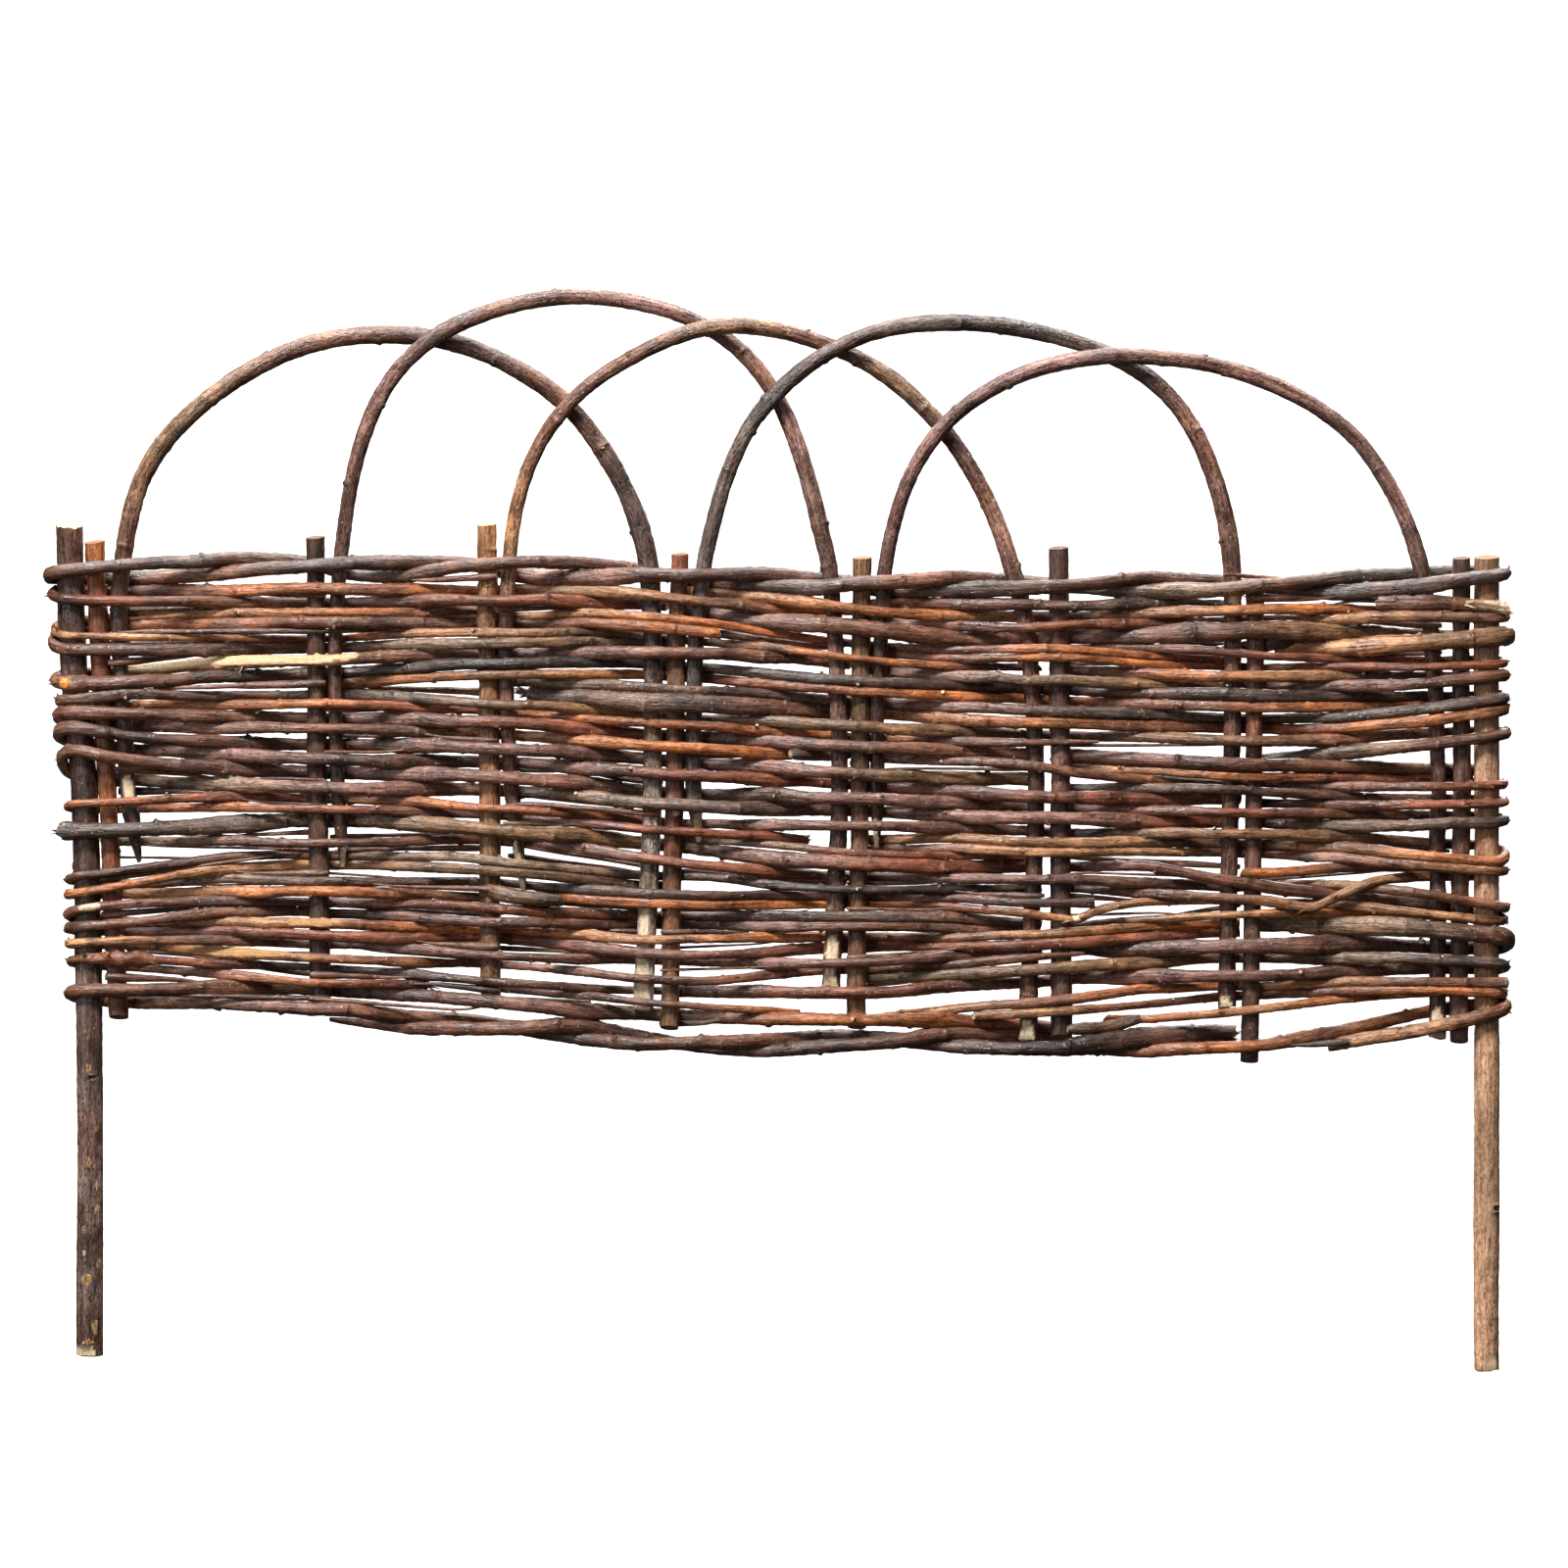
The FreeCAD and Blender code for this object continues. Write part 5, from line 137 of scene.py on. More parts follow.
# Hoops: (x, pass, z); pass -1 in front of the neighbours, +1 behind.
HOOPS = [
    [(-438.4,0,348.9),(-446.8,0,399.2),(-448.8,0,442.9),(-452.5,0,510.0),(-451.9,0,536.8),(-446.5,0,577.1),(-439.8,0,604.6),(-429.7,0,625.4),(-415.6,0,644.2),(-395.5,0.1,662.9),(-370.7,0.35,681.7),(-341.1,0.7,697.8),(-315.6,0.95,706.6),(-287.5,1,710.6),(-262.0,1,710.9),(-238.5,1,709.2),(-215.7,1,703.9),(-191.5,1,694.1),(-166.0,1,679.7),(-144.5,1,662.9),(-127.1,1,640.8),(-110.3,1,614.0),(-97.6,0.45,586.5),(-89.5,0,556.9),(-87.2,0,523.4),(-85.8,0,469.7),(-86.5,0,402.6),(-93.5,0,246.9)],
    [(-298.9,0,346.2),(-303.2,0,409.3),(-304.2,0,503.3),(-301.6,0,543.5),(-297.5,-0.35,579.1),(-293.2,-0.9,609.3),(-286.1,-1,637.5),(-275.4,-1,665.6),(-258.6,-1,689.8),(-235.8,-1,709.2),(-211.6,-1,721.0),(-184.8,-1,730.0),(-158.0,-0.55,735.1),(-131.1,0,736.8),(-102.9,0.6,734.4),(-73.4,1,727.4),(-50.6,1,717.3),(-31.1,1,704.6),(-13.7,1,686.4),(2.4,1,659.6),(15.2,1,626.7),(25.9,0.4,589.8),(33.9,0,552.2),(38.0,0,503.3),(41.0,0,429.4),(41.3,0,382.5),(35.3,0,262.4)],
    [(-174.1,0,324.1),(-183.5,0,399.2),(-186.8,0,469.7),(-187.5,0,513.3),(-184.8,0,560.3),(-180.8,-0.45,589.8),(-171.4,-0.95,620.7),(-158.3,-1,646.2),(-140.5,-1,667.3),(-119.0,-1,684.4),(-94.2,-1,698.8),(-69.4,-1,709.2),(-45.9,-1,715.0),(-20.4,-0.9,716.3),(5.8,0.3,712.6),(32.6,1,704.6),(56.8,1,693.8),(82.3,1,677.0),(105.1,1,655.6),(123.9,1,631.4),(140.0,0.85,603.2),(152.7,0.3,573.0),(162.1,0,542.2),(169.5,0,510.0),(173.5,0,459.6),(176.5,0,402.6),(169.5,0,226.1)],
    [(-55.3,0,363.0),(-59.7,0,402.6),(-59.0,0,442.9),(-56.6,0,503.3),(-51.3,0,553.6),(-45.2,-0.4,580.4),(-38.2,-0.95,609.3),(-27.8,-1,633.4),(-14.4,-1,656.6),(5.1,-1,678.0),(28.6,-1,695.8),(51.4,-1,707.2),(74.9,-1,715.0),(100.4,-0.7,718.3),(131.2,0,719.0),(163.4,0.65,716.0),(195.7,1,708.6),(225.8,1,697.8),(250.0,1,685.1),(270.8,1,666.3),(287.6,1,640.8),(299.7,1,609.9),(307.0,0.35,579.7),(310.4,0,548.9),(310.4,0,510.0),(309.7,0,422.7),(306.4,0,248.3)],
    [(66.1,0,359.7),(67.5,0,409.3),(67.8,0,483.1),(71.5,0,546.9),(75.9,-0.3,571.0),(83.6,-0.85,599.9),(95.7,-1,626.0),(113.1,-1,649.5),(136.6,-1,668.7),(163.4,-1,682.7),(191.0,-1,691.1),(218.5,-1,694.8),(250.0,-1,695.2),(280.9,-0.9,692.5),(313.1,-0.6,685.8),(340.6,-0.3,675.7),(362.1,-0.1,665.0),(380.2,0,652.9),(395.6,0,639.5),(409.0,0,621.3),(422.5,0,598.5),(432.5,0,575.0),(439.9,0,550.2),(445.3,0,510.0),(449.3,0,463.0),(450.6,0,409.3),(450.6,0,227.5)],
]

LEFT_POST = [(-472.3, 10.1), (-472.3, 228.1), (-476.0, 402.6), (-482.1, 469.7), (-484.7, 510.0), (-486.1, 577.1)]
# Stakes: diameter, length, foot x, foot z, lean in degrees.
STAKES = [(12.48, 322.5, -452.5, 244.9, -2.92), (13.15, 316.7, -314.3, 253.6, -0.61), (13.15, 322.8, -197.6, 256.3, -0.48), (11.41, 321.5, -75.4, 237.5, 1.32), (12.08, 318.1, 52.7, 238.2, 0.73), (13.15, 331.5, 193.0, 231.5, -0.35), (11.41, 323.4, 321.8, 214.7, 0.71), (12.08, 328.1, 465.4, 228.1, 0.23)]
HOOP_DIA = [11.41, 9.93, 9.93, 10.2, 9.66]
LEFT_POST_DIA = 16.78
RIGHT_POST = (484.2, 17.5, 556.3)  # x, diameter, length

# Side shoots that lie in the gaps: photo column, photo row and radius (mm) at the end where the shoot leaves its rod and at its far end.
TWIGS = [
    (154, 702.9, 1.01, 314, 698.0, 3.10),
    (1092, 874.3, 2.12, 1247, 883.5, 2.25),
    (845, 660.5, 2.84, 734, 646.2, 3.10),
    (130, 645.1, 1.38, 314, 644.2, 2.63),
    (1248, 760.2, 0.91, 1092, 760.8, 1.32),
    (373, 701.2, 1.23, 490, 705.7, 3.10),
    (356, 866.2, 1.84, 490, 865.5, 2.24),
    (482, 1031.1, 0.92, 337, 1019.7, 1.71),
    (203, 1000.4, 1.03, 128, 997.0, 3.10),
    (292, 871.6, 0.70, 123, 894.7, 2.63),
    (147, 1014.6, 0.89, 317, 1018.2, 2.25),
    (423, 593.4, 1.20, 489, 589.8, 3.10),
    (695, 887.3, 1.61, 844, 900.8, 2.16),
    (338, 924.7, 0.75, 491, 932.8, 2.12),
    (202, 926.1, 0.98, 124, 931.7, 2.83),
    (147, 863.4, 0.71, 315, 866.5, 1.33),
    (531, 819.5, 2.10, 655, 829.5, 2.25),
    (213, 807.5, 0.78, 139, 807.4, 3.10),
    (536, 864.9, 1.05, 653, 882.4, 1.88),
    (1092, 889.7, 0.85, 1209, 893.8, 1.05),
    (903, 783.7, 0.85, 1050, 785.2, 1.38),
    (207, 668.8, 0.70, 131, 675.3, 3.10),
    (1356, 612.1, 0.75, 1290, 610.5, 3.10),
    (470, 850.5, 1.05, 355, 853.5, 1.82),
    (1160, 919.2, 1.13, 1092, 914.3, 2.25),
    (592, 971.5, 0.98, 510, 967.8, 2.25),
    (1411, 889.5, 0.70, 1288, 897.8, 1.28),
    (216, 792.0, 0.81, 137, 786.1, 2.54),
    (414, 998.1, 0.85, 337, 995.0, 2.82),
    (761, 951.3, 1.16, 694, 950.8, 2.39),
    (222, 970.2, 0.78, 316, 972.4, 0.78),
    (391, 903.9, 0.70, 491, 906.9, 2.25),
    (279, 937.3, 0.70, 368, 940.5, 0.70),
    (434, 1002.9, 1.38, 491, 1008.7, 2.63),
    (640, 886.9, 0.70, 537, 875.2, 1.88),
    (1193, 930.6, 0.70, 1109, 933.7, 1.26),
    (231, 853.1, 0.70, 315, 849.2, 2.25),
    (249, 891.3, 0.79, 316, 890.8, 2.63),
    (435, 963.2, 0.88, 489, 965.1, 3.10),
    (208, 620.0, 0.87, 130, 621.6, 2.17),
    (228, 655.0, 0.70, 131, 655.6, 1.48),
    (173, 903.6, 0.70, 287, 902.5, 0.77),
    (582, 620.5, 0.79, 524, 621.2, 2.34),
    (954, 901.6, 0.79, 884, 901.9, 1.88),
    (786, 963.0, 0.70, 694, 967.0, 1.08),
    (225, 876.2, 0.70, 122, 874.8, 1.13),
    (219, 977.8, 0.70, 148, 971.2, 1.47),
    (431, 620.2, 0.88, 488, 620.8, 2.46),
    (1400, 636.8, 1.03, 1451, 638.1, 2.44),
    (966, 969.9, 0.70, 883, 975.2, 1.30),
    (608, 792.0, 0.70, 657, 796.6, 2.68),
    (372, 970.3, 0.70, 473, 978.3, 0.85),
    (956, 929.0, 0.94, 883, 927.3, 1.35),
    (510, 1017.1, 0.81, 584, 1020.6, 1.13),
    (412, 752.5, 0.70, 351, 750.5, 1.69),
    (991, 912.1, 0.70, 1046, 913.3, 2.22),
    (1189, 655.9, 0.71, 1249, 657.7, 2.10),
    (779, 987.2, 0.75, 693, 989.2, 1.13),
    (395, 642.3, 0.81, 349, 644.0, 2.31),
    (266, 607.8, 0.70, 314, 608.0, 1.83),
    (403, 768.0, 0.94, 351, 767.3, 1.22),
    (262, 793.4, 0.94, 313, 795.2, 1.22),
    (446, 752.8, 1.07, 489, 754.7, 1.93),
    (268, 989.8, 0.70, 316, 993.9, 2.02),
    (538, 813.6, 0.70, 627, 822.9, 0.70),
    (1414, 668.0, 0.75, 1453, 666.3, 2.25),
    (608, 948.9, 0.75, 650, 950.6, 2.20),
    (1309, 590.1, 0.81, 1267, 587.7, 1.66),
    (574, 842.2, 0.75, 533, 840.6, 1.82),
    (760, 928.8, 0.75, 694, 928.5, 1.13),
    (1194, 934.0, 0.70, 1247, 926.4, 1.88),
    (256, 818.3, 0.71, 314, 820.4, 1.09),
    (1413, 862.6, 0.89, 1461, 867.0, 1.46),
    (1368, 613.3, 0.70, 1407, 611.9, 2.25),
    (755, 773.6, 0.88, 714, 771.3, 1.69),
    (1137, 678.9, 0.70, 1091, 676.5, 1.56),
    (564, 788.4, 1.13, 528, 785.6, 1.57),
    (410, 895.9, 0.70, 336, 891.1, 1.13),
    (392, 725.7, 0.70, 351, 725.0, 1.50),
    (1315, 1067.6, 0.70, 1356, 1063.7, 2.63),
    (718, 1044.8, 1.78, 692, 1044.6, 2.25),
    (930, 1003.4, 0.86, 883, 1006.2, 1.13),
    (508, 913.0, 5.50, 556, 918.0, 4.50),
    (556, 920.0, 2.20, 648, 927.0, 1.60),
    (862, 770.0, 4.60, 826, 769.5, 4.80),
    (1262, 663.0, 4.50, 1312, 654.0, 5.00),
    (1140, 1047.0, 4.00, 1108, 1049.0, 4.50),
]

# ---------------------------------------------------------------- centre lines
def smooth(values, sigma):
    """Gaussian smoothing along the first axis that keeps both ends in place."""
    n = int(3 * sigma) + 1
    kernel = np.exp(-0.5 * (np.arange(-n, n + 1) / sigma) ** 2)
    kernel /= kernel.sum()
    v = np.asarray(values, float)
    if len(v) < 2 * n + 2:
        return v
    head = 2 * v[0] - v[1:n + 1][::-1]
    tail = 2 * v[-1] - v[-n - 1:-1][::-1]
    full = np.concatenate([head, v, tail])
    if full.ndim == 1:
        return np.convolve(full, kernel, "valid")
    return np.stack([np.convolve(full[:, k], kernel, "valid") for k in range(full.shape[1])], 1)


def bent_path(points, bends, sigma=2.5, step=0.8):
    """The construction's centre line: straight runs joined by tangent arcs, evenly sampled in mm."""
    P = np.asarray(points, float)
    out = [P[0]]
    for i in range(1, len(P) - 1):
        u, v = P[i - 1] - P[i], P[i + 1] - P[i]
        lu, lv = np.linalg.norm(u), np.linalg.norm(v)
        u, v = u / lu, v / lv
        turn = math.pi - math.acos(float(np.clip(u @ v, -1, 1)))
        if turn < 0.002:
            out.append(P[i])
            continue
        reach = min(bends[i] * math.tan(turn / 2), 0.48 * lu, 0.48 * lv)
        radius = reach / math.tan(turn / 2)
        inward = (u + v) / np.linalg.norm(u + v)
        c = P[i] + inward * (radius / math.cos(turn / 2))
        a, b = P[i] + u * reach - c, P[i] + v * reach - c
        for t in np.linspace(0, 1, max(3, int(radius * turn) + 2)):
            out.append(c + (a * math.sin((1 - t) * turn) + b * math.sin(t * turn)) / math.sin(turn))
    out.append(P[-1])
    Q = np.array(out)
    d = np.r_[0, np.cumsum(np.linalg.norm(np.diff(Q, axis=0), axis=1))]
    keep = np.r_[True, np.diff(d) > 1e-6]
    Q, d = Q[keep], d[keep]
    s = np.linspace(0, d[-1], int(d[-1] / step) + 2)
    return smooth(np.stack([np.interp(s, d, Q[:, k]) for k in range(3)], 1), sigma)


def unit(v):
    return v / np.maximum(np.linalg.norm(v, axis=-1, keepdims=True), 1e-12)


class Line:
    """A centre line with its arc length and a frame that doesn't twist."""

    def __init__(self, S):
        self.S = S
        self.s = np.r_[0, np.cumsum(np.linalg.norm(np.diff(S, axis=0), axis=1))]
        self.length = self.s[-1]
        self.T = unit(np.gradient(S, axis=0))
        N = np.zeros_like(S)
        ref = np.array([0, -1.0, 0]) if abs(self.T[0][1]) < 0.9 else np.array([0, 0, 1.0])
        n = ref
        for i, t in enumerate(self.T):
            n = n - (n @ t) * t
            n = n / np.linalg.norm(n)
            N[i] = n
        self.N = N

    def at(self, q):
        pick = lambda A: np.stack([np.interp(q, self.s, A[:, k]) for k in range(3)], -1)
        T = unit(pick(self.T))
        N = pick(self.N)
        N = unit(N - (N * T).sum(-1, keepdims=True) * T)
        return pick(self.S), T, N, np.cross(T, N)

    def px(self):
        return (self.S[:, 0] - SHIFT) / K + 798.5

    def py(self):
        return 1400.0 - self.S[:, 2] / K

    def nearest(self, px, py):
        i = np.argmin((self.px() - px) ** 2 + (self.py() - py) ** 2)
        return self.s[i]


def wander(q, period, rng):
    """Smooth random wave of unit size along the length."""
    n = int((q.max() - q.min()) / period) + 4
    knots = rng.normal(size=n)
    x = (q - q.min()) / period
    i = np.clip(x.astype(int), 0, n - 2)
    f = x - i
    f = f * f * (3 - 2 * f)
    return knots[i] * (1 - f) + knots[i + 1] * f


# ---------------------------------------------------------------- one rod of wood
class Wood:
    """Mesh of one rod: bark tube, cut ends, buds and stubs, with its attributes."""

    def __init__(self, name, line, radius, tones, seed, sides=14, step=3.2, nodes=32.0, bump=1.0,
                 ends=("flat", "flat"), slants=(0.2, 0.2), cuts=(), scars=(), taper=(1.05, 0.97), bud_share=0.35,
                 stub_share=0.05, lobes=1.0, tips=(0.0, 0.0), extra=None, leans=(None, None), rough_skin=1.0,
                 rubbed=1.0, captones=(None, None), bulges=(), trims=(True, True), twigs=(), even=1.0, lenses=(), band=1.0):
        self.name = name
        self.radius = radius
        self.rng = rng = np.random.default_rng(seed)
        self.verts, self.faces, self.uv, self.tone, self.cut, self.co = [], [], [], [], [], []
        L = line.length
        # places of the leaf nodes, spiralling round the rod
        node_s, node_a = [], []
        q, a = rng.uniform(4, nodes), rng.uniform(0, 6.28)
        while q < L - 3:
            node_s.append(q)
            node_a.append(a)
            q += nodes * float(np.clip(rng.lognormal(0, 0.4), 0.45, 2.2))
            a += 2.4 + rng.normal(0, 0.3)
        node_s, node_a = np.array(node_s), np.array(node_a) % (2 * math.pi)
        spots = [np.linspace(0, L, max(4, int(L / step) + 1))]
        for p in node_s:
            spots.append(p + np.array([-2.4, -1.5, -0.7, 0, 0.7, 1.5, 2.4]))
        for c in cuts:
            spots.append(np.linspace(c["s0"], c["s1"], max(4, int((c["s1"] - c["s0"]) / 1.4))))
        for c in scars:
            spots.append(c["s"] + np.linspace(-c["len"], c["len"], 15))
        q = np.unique(np.concatenate(spots))
        q = q[(q >= 0) & (q <= L)]
        keep = [0]
        for i in range(1, len(q)):
            if q[i] - q[keep[-1]] > 0.45:
                keep.append(i)
        q = q[keep]
        if L - q[-1] > 0.2:
            q = np.r_[q, L]
        C, T, N, B = line.at(q)
        n, m = len(q), sides
        kink = 0.085 * radius * rough_skin
        for axis in (N, B):
            knots = rng.normal(size=len(node_s) + 2) * kink
            knots[0] = knots[-1] = 0
            C = C + np.interp(q, np.r_[0, node_s, L], knots)[:, None] * axis
        th = np.arange(m) * 2 * math.pi / m
        # section: slightly oval and lobed, drifting along the rod
        p2, p3, p5 = (rng.uniform(0, 6.28) + 1.2 * np.cumsum(np.r_[0, np.diff(q)]) / 60 * rng.normal() + 0.4 * wander(q, 50, rng) for _ in range(3))
        rad = np.interp(q / L, [0, 1], taper) * (1 + even * (0.035 * wander(q, 26, rng) + 0.03 * wander(q, 90, rng)))
        R = 1 + lobes * (0.045 * np.cos(2 * th[None] + p2[:, None]) + 0.026 * np.cos(3 * th[None] + p3[:, None]) + 0.014 * np.cos(5 * th[None] + p5[:, None]))
        R = R + lobes * 0.016 * rng.normal(size=R.shape)
        for _ in range(7):
            R = R + rough_skin * 0.012 * np.cos(rng.integers(1, 5) * th[None] + q[:, None] * rng.uniform(0.25, 0.9) * rng.choice([-1, 1]) + rng.uniform(0, 6.28))
        dark = np.zeros_like(R)
        for p, ang in zip(node_s, node_a):
            d = q - p
            i0, i1 = np.searchsorted(d, -9), np.searchsorted(d, 9)
            dd = d[i0:i1, None]
            da = (th[None] - ang + math.pi) % (2 * math.pi) - math.pi
            size = bump * rng.uniform(0.5, 1.25)
            ring = np.exp(-(dd / 2.6) ** 2)
            hump = np.exp(-(dd / 1.7) ** 2 - (da / 0.55) ** 2)
            R[i0:i1] += 0.028 * size * ring + 0.26 * size * hump - 0.05 * size * np.exp(-((dd + 2.6) / 1.1) ** 2 - (da / 0.8) ** 2)
            dark[i0:i1] += min(1.0, 2.2 * bump) * 0.55 * np.exp(-((dd - 0.4) / 0.9) ** 2) * np.exp(-(da / 0.6) ** 2) + 0.03 * ring
        R = R * rad[:, None] * radius
        if extra is not None:
            up = np.cos(th)[None] * N[:, 2:3] + np.sin(th)[None] * B[:, 2:3]
            R += np.interp(q, line.s, extra[0])[:, None] * np.clip(up, 0, 1) + np.interp(q, line.s, extra[1])[:, None] * np.clip(-up, 0, 1)
        for s0, s1, size in bulges:
            f = np.clip((q - s0) / (s1 - s0), 0, 1)
            hump = np.clip(np.minimum(f / 0.18, (1 - f) / 0.6), 0, 1) ** 0.8
            lump = 1 + 0.35 * np.cos(2 * th[None] + 0.35 * q[:, None]) + 0.25 * np.cos(3 * th[None] - 0.6 * q[:, None]) + 0.12 * rng.normal(size=(n, m))
            R += size * hump[:, None] * lump
        slim = np.ones(n)
        if tips[0]:
            slim *= 0.3 + 0.7 * np.clip(q / tips[0], 0, 1) ** 0.8
        if tips[1]:
            slim *= 0.3 + 0.7 * np.clip((L - q) / tips[1], 0, 1) ** 0.8
        R *= slim[:, None]
        O = R[..., None] * (np.cos(th)[None, :, None] * N[:, None] + np.sin(th)[None, :, None] * B[:, None])
        cutv = np.zeros((n, m))
        cut_tone = np.repeat(np.repeat(TONES["c"][None, None], n, 0), m, 1)
        # flat slashes and splits that show the wood
        for c in cuts:
            d = np.array(c["dir"], float)
            d /= np.linalg.norm(d)
            sel = np.where((q >= c["s0"]) & (q <= c["s1"]))[0]
            f = (q[sel] - c["s0"]) / (c["s1"] - c["s0"])
            lev = np.interp(f, c["at"], c["level"]) * radius + c.get("rough", 0.06) * radius * wander(q[sel], 9, rng)
            comp = O[sel] @ d
            over = comp - lev[:, None]
            O[sel] -= np.maximum(over, 0)[..., None] * d
            if c.get("bare", True):
                cutv[sel] = np.maximum(cutv[sel], (over > 0.02 * radius).astype(float))
                # The second tone of a cut lies at its start and fades into the main tone by about 60 % of its length;
                # where it is brighter, it is painted light that lifts a start lying in shadow.
                if "tone" in c:
                    w = np.clip(1.6 * f - 0.1, 0, 1)[:, None, None]
                    cut_tone[sel] = lin(c["tone"]) * w + lin(c.get("far", c["tone"])) * (1 - w)
        # torn patches and knots
        base = np.stack([np.interp(q / L, *tone_track) for tone_track in tones], -1)
        col = np.repeat(base[:, None, :], m, 1)
        shade = 1 + band * (0.20 * wander(q, 11, rng)[:, None] + 0.14 * wander(q, 42, rng)[:, None])
        shade = shade + 0.10 * np.cos(th[None] + rng.uniform(0, 6.28) + 2 * wander(q, 30, rng)[:, None]) + 0.07 * rng.normal(size=(n, m))
        rub = np.clip(0.5 * wander(q, 24, rng)[:, None] + 0.5 * np.cos(th[None] - rng.uniform(0, 6.28) + 1.5 * wander(q, 60, rng)[:, None]) - 0.45, 0, 1)
        warm = TONES["o"] * 0.85
        col = col * np.clip(shade, 0.45, 1.7)[..., None]
        rub *= 0.45 * rubbed
        col = col * (1 - rub[..., None]) + rub[..., None] * (0.5 * warm + 0.7 * col)
        bloom = np.clip(wander(q, 34, rng)[:, None] - 0.9 + 0.3 * rng.normal(size=(n, m)), 0, 1)
        col = col * (1 - 0.22 * bloom[..., None]) + 0.22 * bloom[..., None] * TONES["g"] * 1.2
        col *= (1 - np.clip(dark, 0, 0.75))[..., None]
        for c in scars:
            d = np.array(c["dir"], float)
            d /= np.linalg.norm(d)
            away = (q - c["s"])[:, None] / c["len"]
            face = unit(O) @ d
            inside = np.clip(1.6 - 1.6 * np.sqrt(away ** 2 + ((1 - np.clip(face, -1, 1)) / c.get("spread", 0.35)) ** 2), 0, 1)
            if c["kind"] == "knot":
                O *= (1 + 0.22 * inside * (1 - inside) * 4 * 0.4 - 0.10 * (inside > 0.85))[..., None]
                rim = np.clip(1 - np.abs(inside - 0.45) * 4, 0, 1)
                col = col * (1 - 0.6 * rim[..., None])
                core = np.clip(inside * 2 - 1.0, 0, 1)[..., None]
                col = col * (1 - core) + core * lin(c.get("tone", "a9743a"))
            else:
                cutv = np.maximum(cutv, (inside > 0.35).astype(float))
                O *= (1 - 0.10 * (inside > 0.35))[..., None]
        col[cutv > 0.5] = cut_tone[cutv > 0.5] * (0.92 + 0.1 * rng.normal(size=((cutv > 0.5).sum(), 1)))
        rings_p = [C[:, None] + O]
        rings = np.array(rings_p[0])
        # cut ends
        for end in (0, 1):
            i = 0 if end == 0 else n - 1
            t = -T[i] if end == 0 else T[i]
            kind = ends[end]
            lean = unit(rng.normal(size=3)) if leans[end] is None else unit(np.array(leans[end], float))
            off = (O[i] @ lean) * slants[end]
            off = off - (off.max() if trims[end] else off.min())
            rings[i] = rings[i] + off[:, None] * t
            if kind == "torn":
                jag = (rng.uniform(-0.6, 0.6, size=m) + 0.6 * np.cos(th + 2.2) + 0.5 * np.cos(2 * th + 0.6)) * radius * 0.14
                rings[i] = rings[i] + jag[:, None] * t
            if kind == "broken":
                jag = (rng.uniform(0, 1, size=m) ** 2.5 * 1.5 + 0.35 * np.cos(th + rng.uniform(0, 6.28))) * radius * 0.5
                rings[i] = rings[i] + jag[:, None] * t
        # everything as one strip of rings, closed by a point at each end
        strip, scut, stone, sq = [rings], [cutv], [col], [q]
        caps = []
        for end in (0, 1):
            i = 0 if end == 0 else n - 1
            t = -T[i] if end == 0 else T[i]
            mid = C[i]
            edge = rings[i]
            depth = -0.25 * radius if ends[end] == "broken" else (-0.10 * radius if ends[end] == "torn" else 0.0)
            inner = [mid + (edge - mid) * f + t * (0.12 * radius * (1 - f) + depth * (1 - f) * 2) for f in (0.93, 0.55)]
            caps.append((inner, mid + t * (0.12 * radius + depth * 2 + (edge - mid).mean(0) @ t * 0.0) + (edge - mid).mean(0)))
        woodcol = TONES["c"] * rng.uniform(0.72, 1.0)
        first = [np.array(v) for v in caps[0][0]][::-1]
        last = [np.array(v) for v in caps[1][0]]
        allrings = np.concatenate([np.array(first), rings, np.array(last)])
        cut_all = np.concatenate([np.ones((2, m)), cutv, np.ones((2, m))])
        ends_col = [woodcol * rng.uniform(0.75, 1.05) if c is None else lin(c) for c in captones]
        capcol = [np.repeat(np.repeat(c[None, None], 2, 0), m, 1) for c in ends_col]
        col_all = np.concatenate([capcol[0], col, capcol[1]])
        offs = np.concatenate([(np.array(first) - C[0]), O, (np.array(last) - C[-1])])
        Nn = np.concatenate([N[:1], N[:1], N, N[-1:], N[-1:]])
        Bn = np.concatenate([B[:1], B[:1], B, B[-1:], B[-1:]])
        qq = np.r_[q[0] - 0.6, q[0] - 0.3, q, q[-1] + 0.3, q[-1] + 0.6]
        shift = rng.uniform(0, 40, size=3)
        co = np.stack([(offs * Nn[:, None]).sum(-1) + shift[0] * 50, (offs * Bn[:, None]).sum(-1) + shift[1] * 50, np.repeat(qq[:, None], m, 1) + shift[2] * 50], -1)
        k = len(allrings)
        self.shift = shift * 50
        self.verts = [allrings.reshape(-1, 3)]
        self.tone = [np.clip(col_all.reshape(-1, 3), 0.004, 0.95)]
        self.cut = [cut_all.reshape(-1)]
        self.co = [co.reshape(-1, 3)]
        jj = np.arange(m)
        j2 = (jj + 1) % m
        ii = np.arange(k - 1)[:, None] * m
        quads = np.stack([ii + jj, ii + j2, ii + m + j2, ii + m + jj], -1).reshape(-1, 4)
